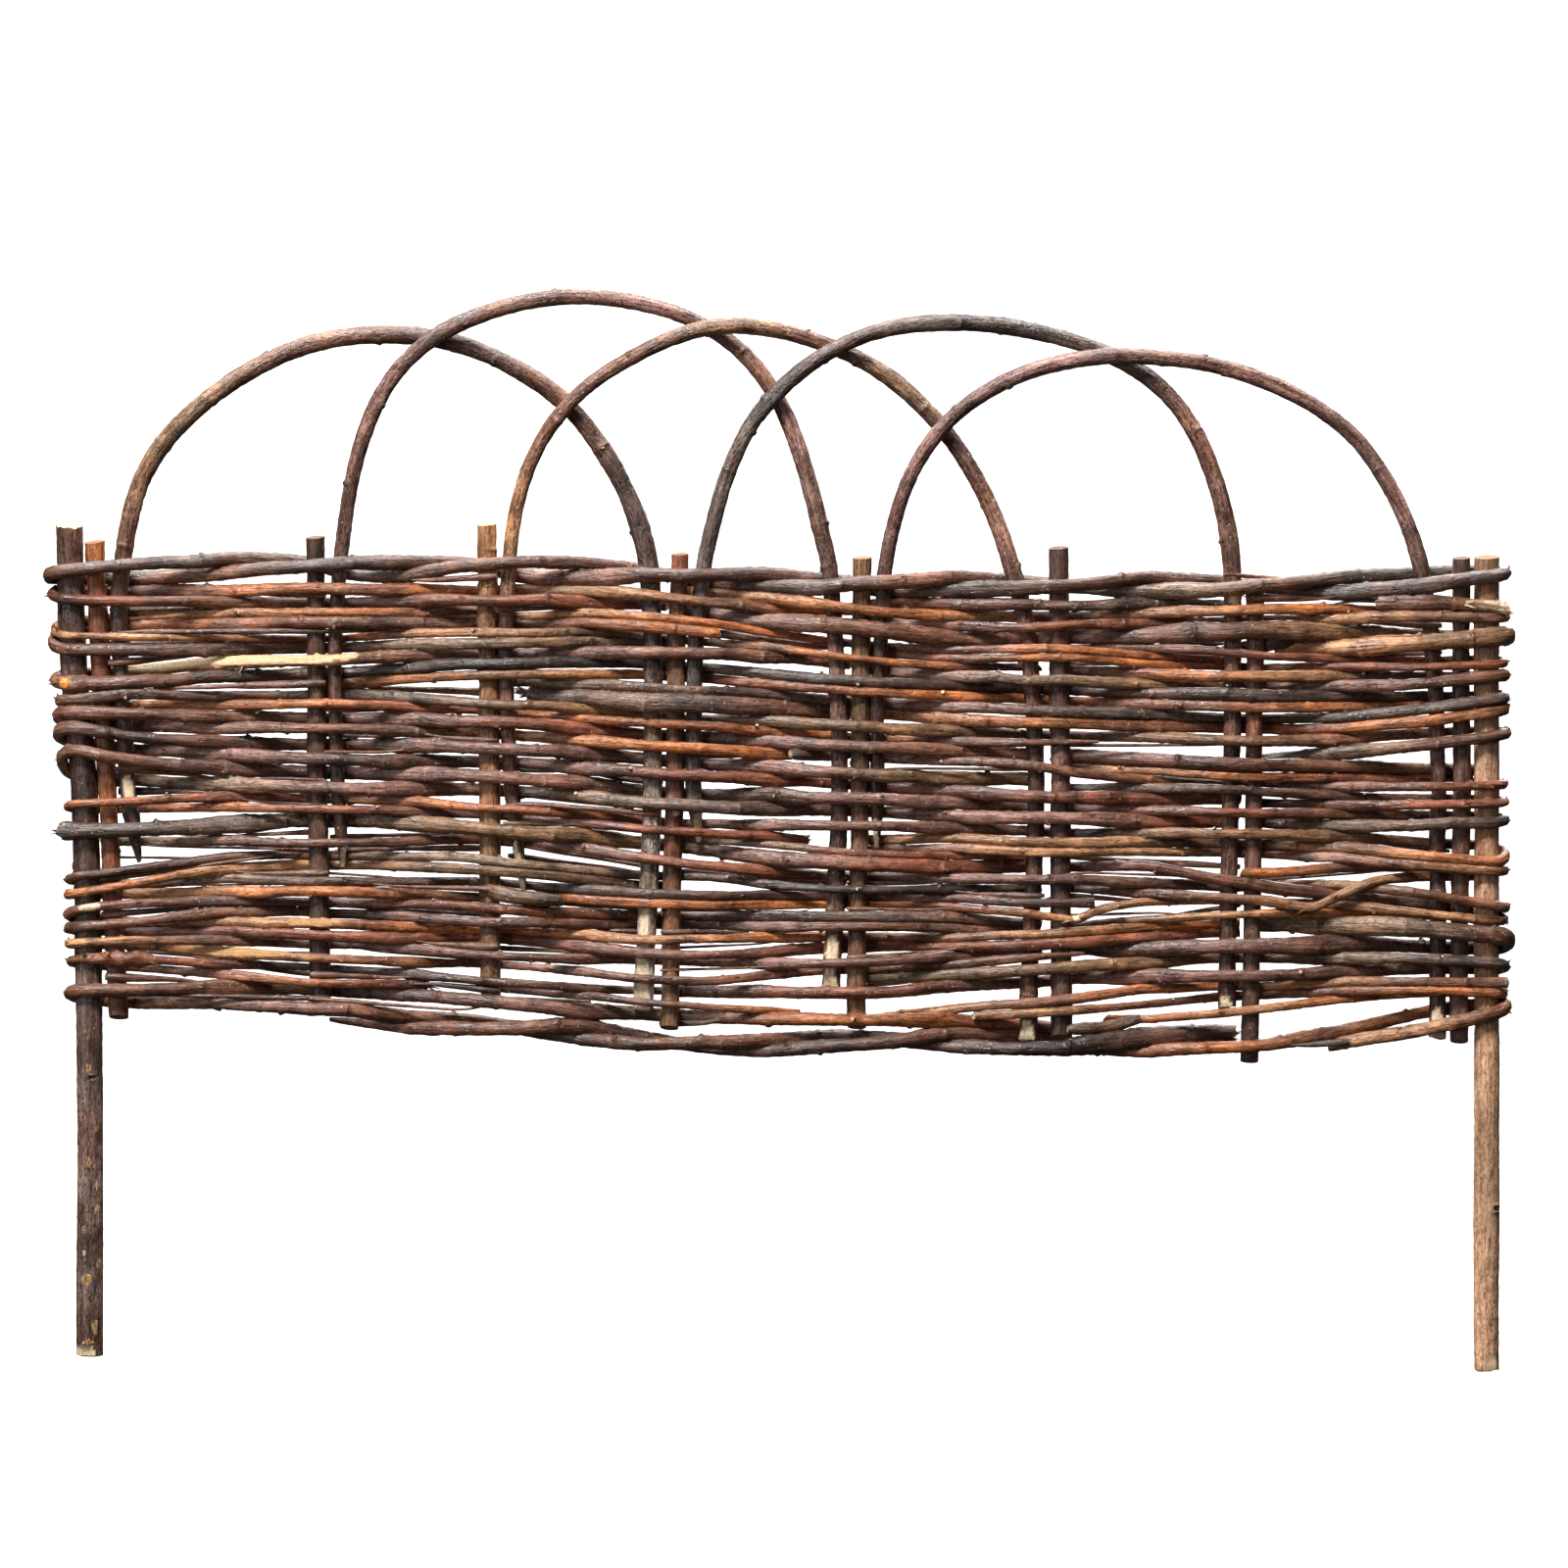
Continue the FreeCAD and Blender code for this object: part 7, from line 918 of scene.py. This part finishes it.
def shoots(wood, line, name, where, turn_s=None):
    rng = np.random.default_rng(len(name) * 131 + sum(map(ord, name)))

    def one(s, d, length, r, tone, bare, curl):
        c, t, n, b = (v[0] for v in line.at(np.array([s])))
        d = unit(np.array(d, float))
        side = d - (d @ t) * t
        start = c + unit(side) * wood.radius * 0.55 if np.linalg.norm(side) > 0.3 else c
        wood.splinter(start, d, length, r, TONES[tone] * rng.uniform(0.8, 1.1), s, float(bare), curl)

    if turn_s is not None:
        for _ in range(int(rng.integers(1, 5))):
            v = np.array([1.0 if name.startswith("right") else -1.0, -0.35, 0.0]) * 0.6 + rng.normal(size=3) * 0.55
            one(turn_s + rng.normal() * 3.0, v, rng.uniform(1.0, 2.6) + 0.5 * wood.radius, rng.uniform(0.8, 1.5), rng.choice(list("ttobuk")), int(rng.uniform() < 0.25), None)
    for leg, x, d, length, r, tone, bare, curl in SHOOTS.get(name, []):
        one(where(leg, x), d, length + wood.radius * 0.5, r, tone, bare, curl)
    for leg, x, d, count, longest, tone, bare in FRAYS.get(name, []):
        for _ in range(count):
            v = unit(np.array(d, float)) + rng.normal(size=3) * 0.16
            one(where(leg, x), v, longest * rng.uniform(0.5, 1.0) + 1.5, rng.uniform(0.5, 1.0), tone, bare, rng.normal(size=3) * 0.12)


# ---------------------------------------------------------------- uprights
def straight(a, b, wave, rng, n=60):
    a, b = np.array(a, float), np.array(b, float)
    t = np.linspace(0, 1, n)[:, None]
    P = a + (b - a) * t
    w = np.sin(math.pi * t[:, 0])
    P[:, 0] += wave * w * smooth(rng.normal(size=n), 8) * 3
    P[:, 1] += wave * w * smooth(rng.normal(size=n), 8) * 3
    return Line(smooth(P, 3))


SOLID = []
STAKE_TONES = ["orrborrb", "kuuuuuku", "tltltlbl", "rblbrbtl", "llllblbl", "uuumuumu", "bmrumumu", "umuumuum"]
STAKE_CUTS = {}
for i, (dia, ln, fx, fz, lean) in enumerate(STAKES):
    rng = np.random.default_rng(300 + i)
    top = (fx + ln * math.sin(math.radians(lean)), 0, fz + ln * math.cos(math.radians(lean)))
    line = straight(top, (fx, 0, fz), 0.35, rng)
    SOLID.append((line.S, dia / 2))
    L = line.length
    scars = []
    if i == 2:
        scars.append(dict(kind="knot", s=line.nearest(499, 597), len=4.2, dir=(0.1, -1, 0), spread=0.22, tone="c08a45"))
    if i == 3:
        scars.append(dict(kind="tear", s=line.nearest(687, 830), len=5.0, dir=(0.3, -1, 0), spread=0.16))
    wood = Wood("stake_%d_bark" % (i + 1), line, dia / 2 * 1.02, tone_tracks([STAKE_TONES[i]], [(0, 1)], L), 400 + i, sides=20, step=3.6, nodes=52,
                bump=0.7, slants=(0.2, 0.3), leans=((0.3, 1, 0), (0.2, 1, 0)), taper=(1.03, 1.06), bud_share=0.16, stub_share=0.10, scars=scars, lobes=0.55, rough_skin=0.7, even=0.7, band=0.7,
                captones=(("8a5a38", "6e5038", "c9a070", "7a5236", "8a6a48", "5e4438", "6a4a3c", "6a4a3c")[i], "8a6648"), rubbed=0.5, trims=(False, False))
    place(wood, "stake_%d" % (i + 1), STAKE)

line = Line(bent_path([(x, 0, z) for x, z in LEFT_POST][::-1], [200.0] * len(LEFT_POST), 4))
SOLID.append((line.S[::4], LEFT_POST_DIA / 2))
at = line.nearest
L = line.length
FLECKS = [(92, 1089, 5.5, 3.0, "b98a62"), (86, 1140, 6.0, 2.0, "9a6a4a"), (99, 1150, 6.5, 2.4, "b07a4e"), (92, 1186, 7.0, 2.2, "a87450"), (100, 1210, 8.0, 2.2, "a87c58"), (99, 1233, 7.0, 2.6, "b98e60"),
          (88, 1254, 6.0, 2.4, "a87858"), (88, 1278, 3.5, 2.0, "c8b8a4"), (103, 1290, 7.0, 2.4, "b4805a"), (91, 1304, 7.0, 5.0, "b98a5c"), (97, 1353, 9.0, 3.4, "b98e64"), (92, 1368, 5.0, 4.0, "a87848"),
          (78, 1062, 4.0, 1.6, "8a6048"), (97, 1046, 5.0, 1.8, "8a6048"), (82, 1205, 5.0, 1.4, "8a6850"), (94, 1330, 3.0, 1.4, "9a7050")]
rng = np.random.default_rng(505)
lenses = [(float(at(x, y)), ((x - line.px()[np.argmin(np.abs(line.py() - y))]) / 13.0, -0.75, 0.0), ln * 1.25, w * 1.6, tone) for x, y, ln, w, tone in FLECKS]
for _ in range(46):
    a = rng.uniform(1.3, 4.98)
    lenses.append((rng.uniform(20, L - 12), (math.sin(a), -math.cos(a), 0.0), rng.uniform(2.0, 6.0), rng.uniform(1.2, 2.6), rng.choice(["8a6048", "9a6c4a", "7a5644", "a87c58"])))
# The v letters in the left post's word lay a painted grey sheen, a painted reflection, along the post.
wood = Wood("left_post_bark", line, LEFT_POST_DIA / 2 * 1.02, ends=("torn", "flat"), tones=tone_tracks(["ususukusuvuvmvuvu"], [(0, 1)], line.length), seed=501, sides=30, step=3.0, nodes=75, bump=0.12,
            slants=(0.35, 0.15), leans=((-0.5, 1, 0), (0.1, 1, 0)), taper=(1.08, 1.06), bud_share=0.0, stub_share=0.05, lobes=0.35, rough_skin=0.3, even=0.35, band=0.4, captones=("d9b68a", "c59a68"), rubbed=0.3, trims=(False, True),
            cuts=[dict(s0=L - 10.0, s1=L, dir=(-0.45, -1.0, 0.0), at=(0, 0.2, 1), level=(1.0, 0.70, 0.56), rough=0.04, tone="ffe2b4")],
            scars=[dict(kind="knot", s=at(96, 1099), len=3.0, dir=(0.25, -1, 0), spread=0.04, tone="241a18")], lenses=lenses)
place(wood, "left_post", POST)
rng = np.random.default_rng(77)
line = straight((RIGHT_POST[0], 0, RIGHT_POST[2]), (RIGHT_POST[0], 0, 0), 0.3, rng, 110)
SOLID.append((line.S, RIGHT_POST[1] / 2))
at = line.nearest
L = line.length
wood = Wood("right_post_bark", line, RIGHT_POST[1] / 2, tone_tracks(["ltptpptppptppppppppp"], [(0, 1)], line.length), 502, sides=30, step=3.0, nodes=80, bump=0.12,
            slants=(0.2, 0.25), leans=((0.2, 1, 0), (-0.3, 1, 0)), captones=("8a6648", "d8b582"), trims=(False, True), taper=(1.0, 1.0), bud_share=0.0, stub_share=0.0, lobes=0.4, rough_skin=0.35, even=0.4, rubbed=0.2, band=0.35,
            cuts=[dict(s0=L - 13.0, s1=L, dir=(0.35, -1.0, 0.0), at=(0, 0.35, 1), level=(1.0, 0.84, 0.72), rough=0.05, tone="f4d2a4")],
            scars=[dict(kind="knot", s=at(1524, 1236), len=3.6, dir=(0.75, -0.7, 0), spread=0.06, tone="5a3420")], lenses=[(float(at(1524, 1233)), (0.8, -0.6, 0), 3.0, 3.4, "c89858")])
place(wood, "right_post", PEELED)

# ---------------------------------------------------------------- hoops
HOOP_TONES = ["uuuubllbbuubuussgwgw", "uuuuumubmmbmuumuub", "bbbbtbbblblububuuub", "ssssssusssubububuu", "uuuumumubmumuumuuu"]
# left leg: pale slash near the sharpened tip; right leg: long pale cut at the lower end (photo row where it starts)
HOOP_SLASH = [(26, 930, 80), (22, 955, 40), (44, 1040, 20), (22, 1018, 10), (22, 1030, 26)]
for i, hoop in enumerate(HOOPS):
    pts = [(x, side * 7.0, z) for x, side, z in hoop]
    line = Line(bent_path(pts, [220.0] * len(pts), 5))
    L = line.length
    SOLID.append((line.S[::4], HOOP_DIA[i] / 2))
    tip, pale_y, _ = HOOP_SLASH[i]
    foot_s = line.nearest((hoop[-1][0] - SHIFT) / K + 798.5, pale_y)
    rng = np.random.default_rng(600 + i)
    lean = (-1, 1, -1, 1, -1)[i]
    cuts = [dict(s0=0.0, s1=float(tip) * 1.1, dir=(lean * 0.7, -1.0, 0.0), at=(0, 0.6, 1), level=(0.0, 0.45, 1.05), bare=i > 0, tone="ffe4be"),
            dict(s0=0.0, s1=float(tip) * 0.8, dir=(-lean * 1.0, 0.35, 0.0), at=(0, 1), level=(0.30, 1.05), bare=False),
            dict(s0=foot_s, s1=L, dir=(-0.30, -1, 0.0), at=(0, 0.12, 0.7, 1), level=(1.0, 0.86, 0.80, 0.35), tone="f2d9b6")]
    scars = []
    if i == 0:
        scars.append(dict(kind="tear", s=line.nearest(124, 806), len=13.0, dir=(0.1, -1, 0.0), spread=0.3))
    if i == 3:
        scars.append(dict(kind="tear", s=line.nearest(1263, 607), len=9.0, dir=(0.35, -1, 0.1), spread=0.45))
    wood = Wood("hoop_%d_bark" % (i + 1), line, HOOP_DIA[i] / 2 * 1.12, tone_tracks([HOOP_TONES[i]], [(0, 1)], L, (1.10, 1.16, 1.24)), 620 + i, sides=18, step=3.4, nodes=36, bump=0.75,
                slants=(0.3, 0.4), taper=(0.90, 1.10), bud_share=0.42, stub_share=0.08, cuts=cuts, scars=scars, lobes=0.6, rough_skin=0.8, even=0.8, rubbed=0.35, tips=(float(tip) * 1.25, 0.0))
    shoots(wood, line, "hoop_%d" % (i + 1), lambda leg, x: line.nearest(x, leg))
    place(wood, "hoop_%d" % (i + 1), HOOP)

# ---------------------------------------------------------------- woven rods
def rod_line(rows, r):
    pts, bends = [], []
    for x, z, station, side, bend in rows:
        off = STATION[station - 1] + r + WEAVE_GAP
        pts.append((x, side * off, z))
        bends.append(0.995 * off if bend == -1 else (bend if bend else 110.0))
    return Line(bent_path(pts, bends))


LINES = {name: rod_line(v[4], v[0] / 2) for name, v in RODS.items()}
tree_pts, tree_rod, tree_s = [], [], []
for k, (name, ln) in enumerate(LINES.items()):
    pick = np.arange(0, len(ln.s), 4)
    tree_pts.append(ln.S[pick])
    tree_rod.append(np.full(len(pick), k))
    tree_s.append(ln.s[pick])
tree_pts, tree_rod, tree_s = np.concatenate(tree_pts), np.concatenate(tree_rod), np.concatenate(tree_s)
ROD_R = np.array([v[0] / 2 for v in RODS.values()])
tree = KDTree(len(tree_pts))
for k, pnt in enumerate(tree_pts):
    tree.insert(pnt, k)
tree.balance()


def spare(k, ln, most):
    """How much a rod can swell upwards and downwards (mm) before it presses on the rods beside it."""
    r = ROD_R[k]
    pick = np.arange(0, len(ln.s), 4)
    sides = []
    near = [tree.find_range(ln.S[i], r + 9.5 + 2 * most) for i in pick]
    for way in (1, -1):
        room = np.full(len(pick), most)
        for a, i in enumerate(pick):
            z = ln.S[i][2]
            for pnt, b, dist in near[a]:
                if tree_rod[b] == k and abs(tree_s[b] - ln.s[i]) < 30:
                    continue
                if (pnt[2] - z) * way < 0.35 * dist:
                    continue
                room[a] = min(room[a], max(0.0, 0.5 * (dist - r - ROD_R[tree_rod[b]]) + 0.14))
        low = np.array([room[max(0, a - 2):a + 3].min() for a in range(len(room))])
        # a narrow slit is closed; beside a wide gap the rod keeps nearly its own thickness
        open_ = np.clip((low - 0.50 * r) / (0.25 * r), 0, 1)
        low = low * (1 - open_) + 0.05 * r * open_
        sides.append(np.interp(ln.s, ln.s[pick], smooth(low, 2.5)))
    return sides


# side shoots: each leaves the rod nearest to its root and keeps as clear of everything else as it can
all_pts = np.concatenate([tree_pts] + [S for S, _ in SOLID])
all_r = np.concatenate([ROD_R[tree_rod]] + [np.full(len(S), r) for S, r in SOLID])
full = KDTree(len(all_pts))
for k, pnt in enumerate(all_pts):
    full.insert(pnt, k)
full.balance()
NAMES = list(LINES)
DEPTHS = np.arange(-11.0, 11.5, 1.0)


def clearance(x, z, r):
    out = []
    for y in DEPTHS:
        hits = full.find_range((x, y, z), r + 12.0)
        out.append(min([d - all_r[b] - r for _, b, d in hits], default=2.0))
    return np.array(out)


TWIG_OF = {}
for k, (xa, ya, ra, xb, yb, rb) in enumerate(TWIGS):
    rng = np.random.default_rng(3000 + k)
    a, b = np.array([mm_x(xa), mm_z(ya)]), np.array([mm_x(xb), mm_z(yb)])
    along = (b - a) / np.linalg.norm(b - a)
    flat = (tree_pts[:, 0] - a[0]) ** 2 + (tree_pts[:, 2] - a[1]) ** 2 + 0.15 * tree_pts[:, 1] ** 2
    parent = int(tree_rod[int(np.argmin(flat))])
    mine = tree_rod == parent
    root2 = a - along * 16.0
    root = tree_pts[mine][int(np.argmin((tree_pts[mine][:, 0] - root2[0]) ** 2 + (tree_pts[mine][:, 2] - root2[1]) ** 2 + 0.02 * tree_pts[mine][:, 1] ** 2))]
    stops = [a + along * f for f in np.linspace(0, np.linalg.norm(b - a), 4)] + [b + along * 13.0]
    rads = np.r_[np.linspace(ra, rb, 4), rb * 0.9]
    gain = [np.minimum(clearance(s[0], s[1], r), 0.6) for s, r in zip(stops, rads)]
    score = gain[0] - 0.03 * np.abs(DEPTHS - root[1])
    back = []
    for g in gain[1:]:
        step = score[None, :] - 0.006 * (DEPTHS[:, None] - DEPTHS[None, :]) ** 2
        back.append(step.argmax(1))
        score = g + step.max(1)
    i = int(score.argmax())
    ys = [DEPTHS[i]]
    for w in back[::-1]:
        i = int(w[i])
        ys.append(DEPTHS[i])
    ys = ys[::-1]
    pts = np.array([root] + [(s[0], y, s[1]) for s, y in zip(stops, ys)])
    d = np.r_[0, np.cumsum(np.linalg.norm(np.diff(pts, axis=0), axis=1))]
    s = np.linspace(0, d[-1], max(20, int(d[-1] / 1.5)))
    path = np.stack([np.interp(s, d, pts[:, c]) for c in range(3)], 1)
    radii = np.interp(np.linspace(0, 1, 12), d / d[-1], np.r_[max(ra * 0.8, 0.8), rads])
    word = "".join(rng.choice(list("ubumksbl"), size=3))
    TWIG_OF.setdefault(NAMES[parent], []).append((smooth(path, 5), radii, word))

# splits that show the wood: rod, leg (0 or 1 in path order), photo columns, direction, depth levels
SPLITS = {
    "left_weaver_05": [(1, 118, 372, (0.0, -1.0, 0.55), (0.72, 0.66, 0.60, 1.05))],
    "left_weaver_13": [(1, 296, 346, (0.0, -1.0, 0.5), (0.95, 0.62, 0.7, 1.0))],
    "left_weaver_15": [(1, 186, 300, (0.0, -1.0, 0.6), (1.0, 0.72, 0.74, 1.0))],
    "left_weaver_03": [(0, 66, 82, (-0.5, -1.0, 0.2), (1.0, 0.7, 0.7, 1.0))],
}
TEARS = {
    "left_weaver_13": [(0, 94, 934, 9.0, (-0.2, -1.0, 0.3), 0.4)],
    "right_weaver_15": [(0, 1097, 940, 3.0, (0.3, -1.0, 0.6), 0.3)],
}
KNOTS = {"left_weaver_05": [(0, 70, 4.5, (-0.35, -1.0, 0.0), 0.3, "e88a2e")], "left_weaver_01": [(0, 640, 4.0, (0, -1, 0.3), 0.25, "a87848")]}
BULGES = {"left_weaver_05": [(0, 66, 92, 1.7)], "left_weaver_16": [(0, 84, 160, 2.4)], "short_weaver_04": [(0, 62, 84, 1.0)], "left_weaver_17": [(1, 1262, 1080, 0.7)]}
TIPS = {"right_weaver_19": (0.0, 70.0), "left_weaver_15": (0.0, 70.0), "left_weaver_06": (0.0, 60.0)}
STOUT = {"left_weaver_17": 1.2, "right_weaver_19": 1.2}
SWELL = {"left_weaver_17": [(1, ((1080, 0.0), (1112, 4.0), (1180, 4.0), (1240, 3.0), (1262, 2.0)))]}
BROKEN = {"left_weaver_17": (0, 1), "left_weaver_16": (0, 1), "short_weaver_04": (1, 1), "short_weaver_01": (1, 1), "left_weaver_10": (0, 1)}
for i, (name, (dia, turn, nfirst, words, rows)) in enumerate(RODS.items()):
    r = dia / 2
    line = LINES[name]
    L = line.length
    if turn:
        half = line.nearest((0.5 * (rows[nfirst - 1][0] + rows[nfirst][0]) - SHIFT) / K + 798.5, 1400 - 0.5 * (rows[nfirst - 1][1] + rows[nfirst][1]) / K)
        share = half / L
        # words run from left to right on each leg; the path runs towards the turn, then away
        w0 = words[0][::-1] if turn == "L" else words[0]
        w1 = words[1] if turn == "L" else words[1][::-1]
        tones = tone_tracks([w0, w1], [(0, share), (share, 1)], L)
    else:
        half = None
        w0 = words[0] if rows[0][0] < rows[-1][0] else words[0][::-1]
        tones = tone_tracks([w0], [(0, 1)], L)
    leg_of = lambda k: (line.s <= half) if (half is not None and k == 0) else ((line.s > half) if half is not None else line.s >= 0)
    px = line.px()

    def at_px(leg, x):
        ok = np.where(leg_of(leg))[0]
        return line.s[ok[np.argmin(np.abs(px[ok] - x))]]

    cuts = []
    for leg, xa, xb, d, lev in SPLITS.get(name, []):
        a, b = at_px(leg, xa), at_px(leg, xb)
        lev = lev if a < b else lev[::-1]
        # On left_weaver_05 the start of the split gets a brighter second tone: painted light on the part that lies in
        # the shadow of the rods above.
        cuts.append(dict(s0=min(a, b), s1=max(a, b), dir=d, at=(0, 0.12, 0.8, 1), level=lev, rough=0.05, tone="e2bb8e" if name == "left_weaver_05" else "c0905e", far="ffe2b6" if name == "left_weaver_05" else "c0905e"))
    scars = []
    for leg, x, y, ln, d, spread in TEARS.get(name, []):
        scars.append(dict(kind="tear", s=at_px(leg, x), len=ln, dir=d, spread=spread))
    for leg, x, ln, d, spread, tone in KNOTS.get(name, []):
        scars.append(dict(kind="knot", s=at_px(leg, x), len=ln, dir=d, spread=spread, tone=tone))
    bulges = []
    for leg, xa, xb, size in BULGES.get(name, []):
        a, b = at_px(leg, xa), at_px(leg, xb)
        bulges.append((min(a, b), max(a, b), size))
    ends = ["flat", "flat"]
    for k, flag in enumerate(BROKEN.get(name, (0, 0))):
        if flag:
            ends[k] = "broken"
    rng = np.random.default_rng(900 + i)
    t0 = rng.uniform(0.95, 1.10)
    room = spare(i, line, 0.75 * r)
    for leg, stops in SWELL.get(name, []):
        xs, more = zip(*stops)
        room[0] = room[0] + np.where(leg_of(leg), np.interp(px, xs, more, 0.0, more[-1]), 0.0)
    wood = Wood(name + "_bark", line, r * STOUT.get(name, 1.03), tones, 1000 + i, sides=14, step=3.2, nodes=30 if r < 4 else 36, ends=ends,
                slants=(rng.uniform(0, 0.9), rng.uniform(0, 0.9)), cuts=cuts, scars=scars, taper=(t0, 2.04 - t0), bud_share=0.36, stub_share=0.11, rough_skin=1.25, bump=1.15,
                extra=room, bulges=bulges, tips=TIPS.get(name, (0.0, 0.0)), twigs=TWIG_OF.get(name, ()))
    shoots(wood, line, name, at_px, half)
    place(wood, name, BARK)

# ---------------------------------------------------------------- stage, light, camera
def sheet_mesh(name, verts, faces):
    me = bpy.data.meshes.new(name)
    me.from_pydata(verts, [], faces)
    me.update()
    for p in me.polygons:
        p.use_smooth = True
    ob = bpy.data.objects.new(name, me)
    bpy.context.scene.collection.objects.link(ob)
    return ob


# a round paper bowl: flat under the object, rising well outside every camera
prof = [(0.02, 0.0), (1.5, 0.0), (4.0, 0.0), (6.0, 0.0)]
for k in range(1, 9):
    a = k / 8 * math.pi / 2
    prof.append((6.0 + 2.0 * math.sin(a), 2.0 * (1 - math.cos(a))))
prof.append((8.0, 7.0))
AROUND = 72
verts, faces = [], []
for d, z in prof:
    for k in range(AROUND):
        verts.append((d * math.cos(k * 2 * math.pi / AROUND), d * math.sin(k * 2 * math.pi / AROUND), z))
for j in range(len(prof) - 1):
    for k in range(AROUND):
        k2 = (k + 1) % AROUND
        faces.append((j * AROUND + k, (j + 1) * AROUND + k, (j + 1) * AROUND + k2, j * AROUND + k2))
faces.append(tuple(range(AROUND)))
floor = sheet_mesh("studio_floor", verts, faces)
fm = bpy.data.materials.new("studio_paper")
fm.use_nodes = True
fb = fm.node_tree.nodes["Principled BSDF"]
fb.inputs["Roughness"].default_value = 0.9
fb.inputs["Emission Color"].default_value = (1.0, 1.0, 1.0, 1)
fb.inputs["Emission Strength"].default_value = 0.92
fn = _node(fm.node_tree, "ShaderNodeTexNoise")
fn.inputs["Scale"].default_value = 3.0
fr = _node(fm.node_tree, "ShaderNodeValToRGB")
fr.color_ramp.elements[0].color = (0.88, 0.88, 0.88, 1)
fr.color_ramp.elements[1].color = (0.92, 0.92, 0.92, 1)
fm.node_tree.links.new(fn.outputs[0], fr.inputs[0])
fm.node_tree.links.new(fr.outputs[0], fb.inputs["Base Color"])
floor.data.materials.append(fm)
floor.visible_diffuse = False
floor.visible_glossy = False

world = bpy.data.worlds.new("studio") if bpy.context.scene.world is None else bpy.context.scene.world
bpy.context.scene.world = world
world.use_nodes = True
bg = world.node_tree.nodes.get("Background") or world.node_tree.nodes.new("ShaderNodeBackground")
bg.inputs[0].default_value = (1.0, 1.0, 1.0, 1)
bg.inputs[1].default_value = 0.045


def area(name, at, to, size, watts, colour=(1, 1, 1)):
    li = bpy.data.lights.new(name, "AREA")
    li.shape = "RECTANGLE"
    li.size, li.size_y = size
    li.energy = watts
    li.color = colour
    ob = bpy.data.objects.new(name, li)
    ob.location = at
    ob.rotation_euler = (Vector(to) - Vector(at)).to_track_quat("-Z", "Y").to_euler()
    bpy.context.scene.collection.objects.link(ob)


area("key", (-0.95, -2.1, 2.95), (0.05, 0, 0.42), (1.3, 0.75), 196)
area("strip", (-2.1, -2.3, 0.55), (0, 0, 0.42), (0.5, 1.5), 22)
area("fill", (2.2, -3.0, 1.6), (0.2, 0, 0.45), (1.2, 1.2), 6)
area("back", (0.9, 2.9, 1.9), (0, 0, 0.42), (1.4, 1.4), 60)
area("top", (0.3, -0.3, 2.6), (0, 0, 0.4), (2.2, 0.7), 26)
area("backdrop", (0.0, 0.9, 3.6), (0, 2.4, 0.6), (5.0, 1.2), 420)
cam = bpy.data.cameras.new("camera")
cam.sensor_width = 36.0
DIST = 4.2
cam.lens = 36.0 * DIST / (1600 * K / 1000)
cam.dof.use_dof = False
cam.clip_end = 50
cob = bpy.data.objects.new("camera", cam)
cob.location = (mm_x(800) / 1000, -DIST, mm_z(800) / 1000)
cob.rotation_euler = (math.pi / 2, 0, 0)
bpy.context.scene.collection.objects.link(cob)
bpy.context.scene.camera = cob
bpy.context.scene.view_settings.view_transform = "Standard"
bpy.context.scene.view_settings.look = "None"
